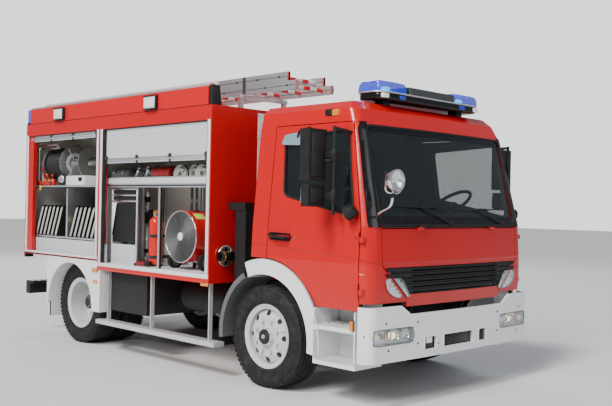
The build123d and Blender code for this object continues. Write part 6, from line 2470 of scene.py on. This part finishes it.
    def fan(self) -> None:
        """Makes the turning fan, in place of its plain solid."""
        form = Form()
        x, y, z = ahead(self.centre[0]), self.fan_y, self.centre[2]
        hub = [
            (-0.0425, 0.0), (-0.0425, 0.026), (-0.030, 0.042), (0.034, 0.045), (0.0425, 0.040), (0.0425, 0.0),
        ]
        form.lathe(Coat.BLACK, hub, (x, y, z), (0, 1, 0), 36)
        for index in range(self.blades):
            part = bmesh.new()
            bmesh.ops.create_grid(part, x_segments=8, y_segments=4, size=0.5)
            bmesh.ops.scale(part, verts=part.verts, vec=(self.blade_length, 0.062, 1.0))
            bmesh.ops.translate(part, verts=part.verts, vec=(0.130, 0.0, 0.0))
            for vert in part.verts:
                reach = (vert.co.x - 0.037) / self.blade_length
                vert.co.y *= 0.82 + 0.36 * reach
                vert.co.z = 0.006 * (1 - (vert.co.y / 0.034) ** 2)
                vert.co = Matrix.Rotation(math.radians(44 - 20 * reach), 3, "X") @ vert.co
            bmesh.ops.solidify(part, geom=part.faces[:], thickness=0.004)
            form.take(
                part, Coat.BLACK,
                Matrix.Translation((x, y, z)) @ turn("Y", index * 360 / self.blades) @ turn("X", 90),
            )
        form.piece("blower_fan", "rotor", "black_plastic", ("blower_rotor",))


@dataclass
class Extinguisher:
    """The fire extinguisher's head, lever, gauge, straps and foot ring."""

    place: Point = (-1.735, -1.020, 0.914)
    radius: float = 0.072
    height: float = 0.430

    def build(self) -> None:
        """Builds the extinguisher's fittings."""
        form = Form()
        x, y, floor = ahead(self.place[0]), self.place[1], self.place[2]
        top = floor + self.height + self.radius
        valve = [
            (-0.010, 0.0), (-0.010, 0.024), (0.006, 0.024), (0.010, 0.018), (0.034, 0.018), (0.038, 0.012),
            (0.050, 0.012), (0.050, 0.0),
        ]
        form.lathe(Coat.BRASS, valve, (x, y, top), (0, 0, 1), 24)
        form.block(Coat.BLACK, (x - 0.014, x + 0.088), about(y, 0.014), (top + 0.018, top + 0.030), 0.005)
        form.block(
            Coat.BLACK, (x - 0.014, x + 0.092), about(y, 0.013), (top + 0.006, top + 0.018), 0.004,
            turn("Y", -16),
        )
        form.block(
            Coat.CYLINDER, (x + 0.010, x + 0.082), about(y, 0.013), (top + 0.036, top + 0.048), 0.005,
            turn("Y", -14),
        )
        form.rod(Coat.STEEL, (x, y - 0.030, top + 0.016), (x, y - 0.018, top + 0.016), 0.017, bevel=0.003)
        form.lathe(Coat.YELLOW, hoop(-0.004, 0.004, 0.016, 0.019), (x - 0.028, y, top + 0.034), (0, 1, 0), 24)
        for z in (floor + 0.095, floor + 0.305):
            form.lathe(Coat.STRAP, hoop(-0.015, 0.015, 0.0722, 0.0755), (x, y, z), (0, 0, 1), 48)
            form.block(Coat.CYLINDER, (x - 0.092, x - 0.064), about(y, 0.016), about(z, 0.018), 0.006)
            form.block(Coat.BLACK, about(x, 0.055), (y + 0.066, -0.640), about(z, 0.012), 0.003)
        foot = [(0.0, 0.0), (0.0, 0.070), (0.006, 0.0735), (0.022, 0.0735), (0.022, 0.0)]
        form.lathe(Coat.BLACK, foot, (x, y, floor + 0.001), (0, 0, 1), 48)
        form.piece("extinguisher_fittings", "vehicle_body", "cylinder_red")


@dataclass
class RearLocker:
    """The right rear locker: its manifold, feed pipes, control box and hose cassettes."""

    mouth: float = -1.190
    shelf: float = 1.720
    rack: float = 1.150
    floor: float = 0.967
    lean: float = 0.150
    rise: float = 0.350
    pitch: float = 0.088
    manifold_y: float = -1.090
    outlets_y: float = -1.150

    def build(self) -> None:
        """Builds the locker's pieces."""
        self.lining()
        self.manifold()
        self.cassettes()

    def lining(self) -> None:
        """Makes the shelf lips, lower panel, cream side plate, the bays' painted shade and the control box.
        """
        form = Form()
        axle, mouth, top = REAR_AXLE_X, self.mouth, self.shelf - 0.024
        rear, front = BODY_REAR + 0.040, axle + 0.561
        span = (rear + 0.002, front - 0.002)
        for z in (self.shelf - 0.022, self.rack - 0.022):
            form.block(Coat.ALU, span, (mouth - 0.002, mouth + 0.020), (z + 0.010, z + 0.026), 0.003)
            form.block(Coat.RUBBER, span, (mouth, mouth + 0.012), (z - 0.004, z + 0.009), 0.002)
        form.block(
            Coat.PALE, span, (mouth - 0.002, mouth + 0.010), (self.floor + 0.002, self.rack - 0.026), 0.003,
        )
        form.block(Coat.PANEL, (rear + 0.001, rear + 0.006), (mouth + 0.060, -0.640), (self.rack, top), 0.001)
        form.block(
            Coat.PANEL, (rear + 0.008, rear + 0.110), (-0.755, -0.735), (self.rack + 0.002, top), 0.003,
        )
        # painted shade: a dark grey sheet and a black sheet at the back of the two bays, between the
        # cassettes and the shelf
        form.block(Coat.GREY, (rear + 0.110, axle - 0.212), (-0.760, -0.740), (1.500, top), 0.003)
        form.block(Coat.BLACK, (axle - 0.180, front - 0.004), (-0.760, -0.740), (1.440, top), 0.003)
        form.block(
            Coat.ALU_UP, (axle - 0.212, axle - 0.183), (-1.184, -1.172), (self.rack, self.shelf - 0.002),
            0.002,
        )
        box = (axle - 0.342, axle + 0.062)
        form.block(Coat.BLANK, box, (-1.124, -0.798), (self.shelf - 0.001, 1.834), 0.008)
        form.block(Coat.BLACK, (box[1] - 0.130, box[1] - 0.052), (-1.128, -1.122), (1.772, 1.816), 0.004)
        form.block(Coat.GLOSS, (box[1] - 0.122, box[1] - 0.060), (-1.130, -1.126), (1.780, 1.808), 0.002)
        form.block(Coat.BLACK, (box[0] + 0.008, box[1] - 0.008), (-1.1255, -1.1235), (1.7235, 1.7275))
        for x in (box[0] + 0.020, box[1] - 0.020):
            form.bolts(Coat.STEEL, [(x, -1.124, 1.738), (x, -1.124, 1.820)], (0, -1, 0), 0.005)
        form.piece("rear_locker_lining", "vehicle_body", "white_paint")

    def manifold(self) -> None:
        """Makes the valve manifold, the reel's feed pipes and the hose guide."""
        form = Form()
        shelf, y, near = self.shelf, self.manifold_y, self.outlets_y
        left = REAR_AXLE_X - 0.900
        form.rod(
            Coat.CYLINDER, (left, y, shelf + 0.040), (left + 0.260, y, shelf + 0.040), 0.022, bevel=0.004,
        )
        for index, x in enumerate((left + 0.030, left + 0.120, left + 0.215)):
            form.rod(Coat.CYLINDER, (x, y, shelf + 0.001), (x, y, shelf + 0.086), 0.024, 0.020, 24, 0.004)
            form.lathe(Coat.BRASS, hoop(-0.008, 0.008, 0.022, 0.029), (x, y, shelf + 0.066), (0, 0, 1), 24)
            form.rod(Coat.CHROME, (x, y, shelf + 0.036), (x, near, shelf + 0.036), 0.019, bevel=0.003)
            form.rod(
                Coat.CYLINDER, (x, near, shelf + 0.036), (x, near - 0.014, shelf + 0.036), 0.025, bevel=0.003,
            )
            lever = Vector(
                (x - 0.010 + 0.045 * index, -1.120 - 0.012 * index, shelf + (0.190 if index == 0 else 0.118))
            )
            pivot = Vector((x, -1.098, shelf + 0.086))
            form.rod(Coat.CYLINDER, pivot, lever, 0.008, 0.006)
            form.rod(Coat.CYLINDER, lever, lever + (lever - pivot).normalized() * 0.030, 0.012, bevel=0.004)
        form.rod(
            Coat.YELLOW, (left + 0.120, -1.196, shelf - 0.012), (left + 0.120, -1.170, shelf - 0.012), 0.015,
            bevel=0.003,
        )
        form.block(
            Coat.YELLOW, (left + 0.104, left + 0.126), (-1.204, -1.194), (shelf - 0.050, shelf - 0.004),
            0.004,
        )
        feed = [
            (left - 0.035, -1.040, 2.105), (left - 0.075, -1.070, 2.020), (left - 0.085, -1.080, 1.900),
            (left - 0.040, y, 1.800), (left, y, shelf + 0.044),
        ]
        form.pipe(Coat.WHITE, feed, 0.014, 0.10)
        guide = (
            (left - 0.020, shelf + 0.001), (left - 0.020, 2.190), (left + 0.420, 2.190),
            (left + 0.420, 2.140),
        )
        form.pipe(Coat.CHROME, [(x, near, z) for x, z in guide], 0.014, 0.05)
        form.rod(Coat.CHROME, (left - 0.004, -1.120, 2.150), (left + 0.410, -1.120, 2.150), 0.011)
        coupling = (REAR_AXLE_X - 0.410, -1.130, shelf + 0.075)
        form.lathe(Coat.BLACK, wire_ring(0.0, 0.056, 0.014), coupling, (0.35, -1, 0), 40)
        plug = [(-0.030, 0.0), (-0.030, 0.030), (-0.012, 0.042), (0.020, 0.042), (0.026, 0.034), (0.026, 0.0)]
        form.lathe(Coat.STEEL, plug, coupling, (0.35, -1, 0), 32)
        form.block(
            Coat.GREY, (coupling[0] + 0.020, coupling[0] + 0.058), (-1.110, -1.060), (shelf, shelf + 0.050),
            0.006,
        )
        cheek = [
            (-0.012, 0.060), (-0.010, 0.185), (0.0, 0.188), (0.006, 0.185), (0.004, 0.060), (-0.012, 0.060),
        ]
        axle, z = REAR_AXLE_X, 1.985
        form.lathe(Coat.GALV, cheek, (axle - 0.150, -0.900, z), (1, 0, 0), 56)
        form.rod(Coat.STEEL, (axle - 0.440, -0.930, z), (axle - 0.110, -0.905, z), 0.030, bevel=0.005)
        form.block(Coat.STEEL, (axle - 0.165, axle - 0.140), (-0.905, -0.700), about(z, 0.020), 0.004)
        form.piece("reel_feed", "vehicle_body", "cylinder_red")

    def cassettes(self) -> None:
        """Makes the folded hoses that show in the slanting cassettes, and the racks' rims."""
        form = Form()
        front = -1.160
        for group, start in enumerate((REAR_AXLE_X - 0.940, REAR_AXLE_X - 0.170)):
            for index in range(6):
                x = start + index * self.pitch
                for fold in range(4):
                    low = x + 0.010 + fold * 0.0105
                    foot = 0.030 + 0.018 * ((fold + index) % 2)
                    head = 0.955 - 0.022 * ((fold + index + group) % 3)
                    depth = (front + 0.004, front - 0.010 - 0.003 * (fold % 2))
                    form.slab(
                        Coat.HOSE, Across.Y, self.slanted(low, (foot, head), (0.0, 0.0078)), depth, 0.0022,
                    )
                for width in ((0.054, 0.062), (0.0, 0.006)):
                    rim = self.slanted(x, (0.0, 1.0), width)
                    form.slab(Coat.GLOSS, Across.Y, rim, (front + 0.002, front - 0.012), 0.001)
        brass = (REAR_AXLE_X - 0.120, -1.100, 1.330)
        form.lathe(
            Coat.BRASS,
            [(-0.030, 0.0), (-0.030, 0.024), (0.012, 0.024), (0.016, 0.018), (0.040, 0.016), (0.040, 0.0)],
            brass, (0.3, -1, 0.2), 28,
        )
        form.lathe(
            Coat.WHITE, [(0.036, 0.0), (0.036, 0.019), (0.052, 0.015), (0.052, 0.0)], brass, (0.3, -1, 0.2),
            24,
        )
        form.piece("hose_folds", "vehicle_body")

    def slanted(self, x: float, share: Span, width: Span) -> list[Span]:
        """Returns the outline of a strip that leans with the cassettes.

        Args:
            x: Where the strip starts on the rack.
            share: Its two ends as shares of the cassettes' rise.
            width: Its two edges, from where it starts.

        Returns:
            Its corners, as lengths and heights.
        """
        ends = ((share[0], width[0]), (share[0], width[1]), (share[1], width[1]), (share[1], width[0]))
        return [(x + self.lean * t + shift, self.rack + self.rise * t) for t, shift in ends]


@dataclass
class HoseReel:
    """The turning hose reel with its hose wound on, in place of its plain drum."""

    centre: Point = (0.0, -0.930, 1.985)
    span: Span = (-0.850, -0.470)
    flange: float = 0.205
    hose: float = 0.0127
    rows: int = 14

    def build(self) -> None:
        """Builds the reel."""
        form = Form()
        low, high = REAR_AXLE_X + self.span[0], REAR_AXLE_X + self.span[1]
        y, z = self.centre[1], self.centre[2]
        for x, way in ((low, 1), (high, -1)):
            form.lathe(
                Coat.GALV,
                [
                    (0.0, 0.030), (0.0, self.flange - 0.006), (way * 0.004, self.flange),
                    (way * 0.010, self.flange - 0.002), (way * 0.010, self.flange - 0.012),
                    (way * 0.006, self.flange - 0.020), (way * 0.006, 0.030), (0.0, 0.030),
                ],
                (x, y, z), (1, 0, 0), 64,
            )
            for across, up in circle(6):
                out = Vector((0.0, across, up))
                middle = Vector((x - way * 0.001, y, z))
                form.rod(
                    Coat.STEEL, middle + out * 0.045, middle + out * (self.flange - 0.012), 0.007, 0.005, 10,
                )
            form.lathe(
                Coat.CHROME,
                [
                    (-0.010, 0.0195), (-0.010, 0.050), (-0.004, 0.056), (0.004, 0.056), (0.008, 0.050),
                    (0.008, 0.0195), (-0.010, 0.0195),
                ],
                (x - way * 0.002, y, z), (1, 0, 0), 36,
            )
            form.lathe(
                Coat.PALE,
                [(0.0, 0.080), (0.0, 0.120), (-way * 0.003, 0.118), (-way * 0.003, 0.082), (0.0, 0.080)],
                (x, y, z), (1, 0, 0), 48,
            )
        pitch = (high - low - 0.024) / self.rows
        for index in range(self.rows):
            x = low + 0.012 + pitch * (index + 0.5)
            radius = 0.175 - self.hose + (0.002 if index % 3 == 0 else 0.0)
            form.lathe(Coat.BLACK_HOSE, wire_ring(x, radius, self.hose), (0.0, y, z), (1, 0, 0), 56)
        form.lathe(
            Coat.BLACK_HOSE,
            [(low + 0.010, 0.130), (low + 0.010, 0.160), (high - 0.010, 0.160), (high - 0.010, 0.130)],
            (0.0, y, z), (1, 0, 0), 40,
        )
        form.piece("hose_reel", "reel", "wheel_grey", ("hose_reel_drum",))


@dataclass
class CabInside:
    """The seats, dashboard fittings, steering wheel, visors and door cards."""

    seat_places: tuple[tuple[str, float, float], ...] = (
        ("right", -0.560, 0.430), ("middle", 0.0, 0.380), ("left", 0.560, 0.430),
    )
    seat_x: Span = (-0.095, 0.385)
    seat_z: float = 1.302
    cushion: float = 0.115
    back_top: float = 1.900
    wheel: Point = (0.690, 0.560, 1.590)
    wheel_radius: float = 0.210
    vents_y: tuple[float, ...] = (-0.88, -0.46, 0.14, 0.90)
    column: Point = (-0.5736, 0.0, 0.8192)
    door_inner: float = 1.066
    waist: float = 1.35
    tumblehome: float = 0.095

    def build(self) -> None:
        """Builds the cab's inside."""
        for word, y, width in self.seat_places:
            self.seat(word, y, width)
        self.dash()
        self.steering()
        self.visors()
        for side in Side:
            self.door_card(side)

    def seat(self, word: str, y: float, width: float) -> None:
        """Makes one seat: a filled cushion, back and head pad, piped seams and their frame.

        Args:
            word: The seat's word in its pieces' names.
            y: Its middle.
            width: Its width.
        """
        low, high = between(*self.seat_x)
        half = width / 2 - 0.006
        base, top = self.seat_z, self.seat_z + self.cushion
        replaced = ("seats",) if word == "right" else ()
        pads = (
            ("cushion", (low + 0.030, high - 0.012), (base + 0.004, top), half, 0.0),
            ("back", (low + 0.014, low + 0.110), (top + 0.006, self.back_top), half - 0.012, -4.5),
            ("head_pad", (low + 0.012, low + 0.080), (self.back_top + 0.016, 2.072), 0.115, 0.0),
        )
        for name, x, z, reach, lean in pads:
            size = (x[1] - x[0], reach * 2, z[1] - z[0])
            part = brick(size)
            Form.soften(part, min(size) * 0.34, 3)
            if lean:
                foot = (0.0, 0.0, -size[2] / 2)
                bmesh.ops.rotate(
                    part, verts=part.verts, cent=foot, matrix=Matrix.Rotation(math.radians(lean), 3, "Y"),
                )
            bmesh.ops.translate(part, verts=part.verts, vec=((x[0] + x[1]) / 2, y, (z[0] + z[1]) / 2))
            made = filled(
                part, f"seat_{name}_{word}", Coat.SEAT, "cab", swell=0.024,
                flat_below=self.seat_z + 0.002, voxel=0.012, replaces=replaced if name == "cushion" else (),
            )
        form = Form()
        for stem in about(y, 0.055):
            form.rod(
                Coat.STEEL, (low + 0.045, stem, self.back_top - 0.04),
                (low + 0.045, stem, self.back_top + 0.05), 0.007,
            )
        form.block(
            Coat.BLACK, (low + 0.004, low + 0.016), (y - half * 0.86, y + half * 0.86),
            (base + 0.006, self.back_top - 0.05), 0.004,
        )
        for share in (-0.30, 0.30):
            seam = y + share * width
            line = [
                (low + 0.10, seam, top + 0.022), (low + 0.22, seam, top + 0.026),
                (high - 0.05, seam, top + 0.018),
            ]
            form.pipe(Coat.STRAP, line, 0.0028, 0.03, sides=2)
        buckle = y + half * 0.80
        form.block(
            Coat.BLACK, (low + 0.10, low + 0.13), (buckle, buckle + 0.020), (base + 0.05, base + 0.165),
            0.005,
        )
        form.block(
            Coat.CYLINDER, (low + 0.104, low + 0.126), (buckle + 0.003, buckle + 0.017),
            (base + 0.165, base + 0.174), 0.002,
        )
        form.piece(f"seat_fittings_{word}", "cab", "black_plastic")

    def dash(self) -> None:
        """Makes the dashboard's binnacle, vents, screen, glove lids and top mat."""
        form = Form()
        skin = Skin("dashboard")
        rear = ahead(0.820)
        binnacle = [
            (rear - 0.004, 1.500), (rear + 0.020, 1.548), (rear + 0.120, 1.560), (ahead(1.000), 1.492),
            (rear + 0.020, 1.488),
        ]
        form.slab(Coat.DASH, Across.Y, binnacle, (0.330, 0.790), 0.012)
        pane = [(rear - 0.008, 1.502), (rear + 0.013, 1.540), (rear + 0.017, 1.538), (rear - 0.004, 1.500)]
        form.slab(Coat.GLOSS, Across.Y, pane, (0.380, 0.740), 0.002)
        for y in (0.480, 0.640):
            form.lathe(
                Coat.CHROME, hoop(0.0, 0.003, 0.024, 0.027), (rear + 0.002, y, 1.521), (-0.87, 0.0, 0.49), 32,
            )
        for y in self.vents_y:
            x = skin.hit((ahead(0.3), y, 1.455), (1.0, 0.0, 0.0)).x
            form.block(
                Coat.BLACK, (x - 0.006, x + 0.010), about(y, 0.070), (1.435, 1.480), 0.004, turn("Y", -30),
            )
            for index in range(4):
                fin, z = x - 0.008 + index * 0.004, 1.442 + index * 0.010
                form.block(Coat.GREY, about(fin, 0.004), about(y, 0.062), (z, z + 0.003))
        form.block(
            Coat.GLOSS, (rear - 0.016, rear + 0.006), (-0.130, 0.060), (1.425, 1.490), 0.005, turn("Y", -28),
        )
        form.block(Coat.GREY, about(rear, 0.012), (-0.780, -0.560), (1.405, 1.412), 0.002)
        near, far = between(0.842, 1.010)
        mat = [(near, 1.4995), (far, 1.4915), (far, 1.4955), (near, 1.5045)]
        form.slab(Coat.BLACK, Across.Y, mat, (-0.94, 0.26), 0.002)
        for index, y in enumerate((-0.080, -0.040, 0.0)):
            form.rod(
                Coat.BLACK, (rear - 0.010, y, 1.400 - 0.002 * index),
                (rear - 0.034, y, 1.392 - 0.002 * index), 0.012, 0.010, 16, 0.002,
            )
        form.rod(Coat.BLACK, (ahead(0.700), 0.060, 1.310), (ahead(0.640), 0.075, 1.470), 0.010)
        knob = [(-0.030, 0.0), (-0.026, 0.020), (0.0, 0.028), (0.024, 0.020), (0.030, 0.0)]
        form.lathe(Coat.BLACK, knob, (ahead(0.637), 0.076, 1.480), (0, 0, 1), 20)
        form.piece("dash_fittings", "cab", "black_plastic")

    def steering(self) -> None:
        """Makes the smooth steering wheel, in place of its plain solid."""
        form = Form()
        centre = Vector((ahead(self.wheel[0]), self.wheel[1], self.wheel[2]))
        way = Vector(self.column)
        form.lathe(Coat.BLACK, wire_ring(0.0, self.wheel_radius, 0.0155), centre, way, 72)
        boss = [(-0.036, 0.0), (-0.036, 0.050), (-0.024, 0.062), (-0.006, 0.056), (0.0, 0.030), (0.0, 0.0)]
        form.lathe(Coat.DASH, boss, centre, way, 36)
        across = Vector((0.0, 1.0, 0.0))
        upward = way.cross(across).normalized()
        for angle in (0, 90, 180):
            out = across * math.cos(math.radians(angle)) + upward * math.sin(math.radians(angle))
            side = way.cross(out).normalized()
            part = brick((0.160, 0.034, 0.012))
            Form.soften(part, 0.004)
            basis = Matrix((out, side, way)).transposed().to_4x4()
            form.take(part, Coat.DASH, Matrix.Translation(centre + out * 0.124 - way * 0.013) @ basis)
        form.piece("steering_wheel_cover", "hand_wheel", "black_plastic", ("steering_wheel",))
        stalks = Form()
        for sign in (-1, 1):
            foot = centre - way * 0.075
            stalks.rod(
                Coat.BLACK, foot + across * sign * 0.020, foot + across * sign * 0.150 + way * 0.012, 0.008,
                0.006, 12,
            )
        stalks.rod(Coat.DASH, centre - way * 0.110, centre - way * 0.040, 0.042, 0.036, 28, 0.006)
        stalks.piece("column_stalks", "cab", "black_plastic")

    def visors(self) -> None:
        """Makes the sun visors, the inner mirror and the roof console."""
        form = Form()
        for sign in (-1, 1):
            form.block(
                Coat.LINING, between(0.845, 0.860), (sign * 0.320, sign * 0.780), (2.125, 2.250), 0.006,
                turn("Y", 14),
            )
            form.rod(
                Coat.BLACK, (ahead(0.868), sign * 0.300, 2.252), (ahead(0.868), sign * 0.800, 2.252), 0.006,
            )
        form.block(Coat.LINING, between(0.560, 0.880), (-0.280, 0.280), (2.300, 2.362), 0.020)
        form.block(Coat.GLOSS, between(0.556, 0.564), (-0.200, 0.200), (2.312, 2.345), 0.004)
        form.block(Coat.BLACK, between(0.560, 0.620), (-0.120, 0.120), (2.290, 2.302), 0.004)
        form.piece("visors", "cab", "black_plastic")

    def door_card(self, side: Side) -> None:
        """Makes one door's inner card: armrest, grab handle, opener and pocket.

        Args:
            side: Which door.
        """
        form = Form()
        sign = side.value

        def place(z: float) -> float:
            """Returns the door's inner face at a height."""
            return sign * (self.door_inner - max(z - self.waist, 0.0) * self.tumblehome - 0.004)

        for finish, span, heights, thick in (
            (Coat.LINING, between(0.120, 0.860), (1.180, 1.420), 0.010),
            (Coat.DASH, between(0.420, 0.980), (0.930, 1.150), 0.012),
        ):
            form.block(finish, span, layer(place(heights[1]), -sign, 0.004, thick), heights, 0.006)
        rest, handle, pocket = place(1.30), place(1.36), place(1.06)
        form.block(Coat.DASH, between(0.180, 0.560), (rest, rest - sign * 0.055), (1.255, 1.300), 0.014)
        rear, front = between(0.300, 0.540)
        out = handle - sign * 0.042
        grip = [(rear, handle, 1.350), (rear, out, 1.360), (front, out, 1.395), (front, handle, 1.395)]
        form.pipe(Coat.BLACK, grip, 0.010, 0.02)
        form.block(Coat.CHROME, between(0.640, 0.740), (handle, handle - sign * 0.016), (1.350, 1.376), 0.005)
        speaker = ahead(0.720)
        form.rod(
            Coat.BLACK, (speaker, pocket, 1.045), (speaker, pocket - sign * 0.014, 1.045), 0.060, bevel=0.004,
            sides=32,
        )
        form.piece(f"door_card_{side.word}", f"{side.word}_door", "black_plastic")


def main() -> None:
    """Builds the stage, the finishes and every sub-assembly."""
    logging.basicConfig(level=logging.INFO, format="%(message)s")
    cab = (CabFace(), LightBar(), *(CabSide(side) for side in Side))
    low_down = (Tyres(), WheelDress(), CabSteps(), BumperDress(), StepBars())
    body = (BodyTrim(), RoofLadder(), FrontLocker(), Blower(), Extinguisher(), RearLocker(), HoseReel())
    for assembly in (Studio(), Carried(), *cab, *low_down, *body, CabInside()):
        assembly.build()


if __name__ == "__main__":
    main()
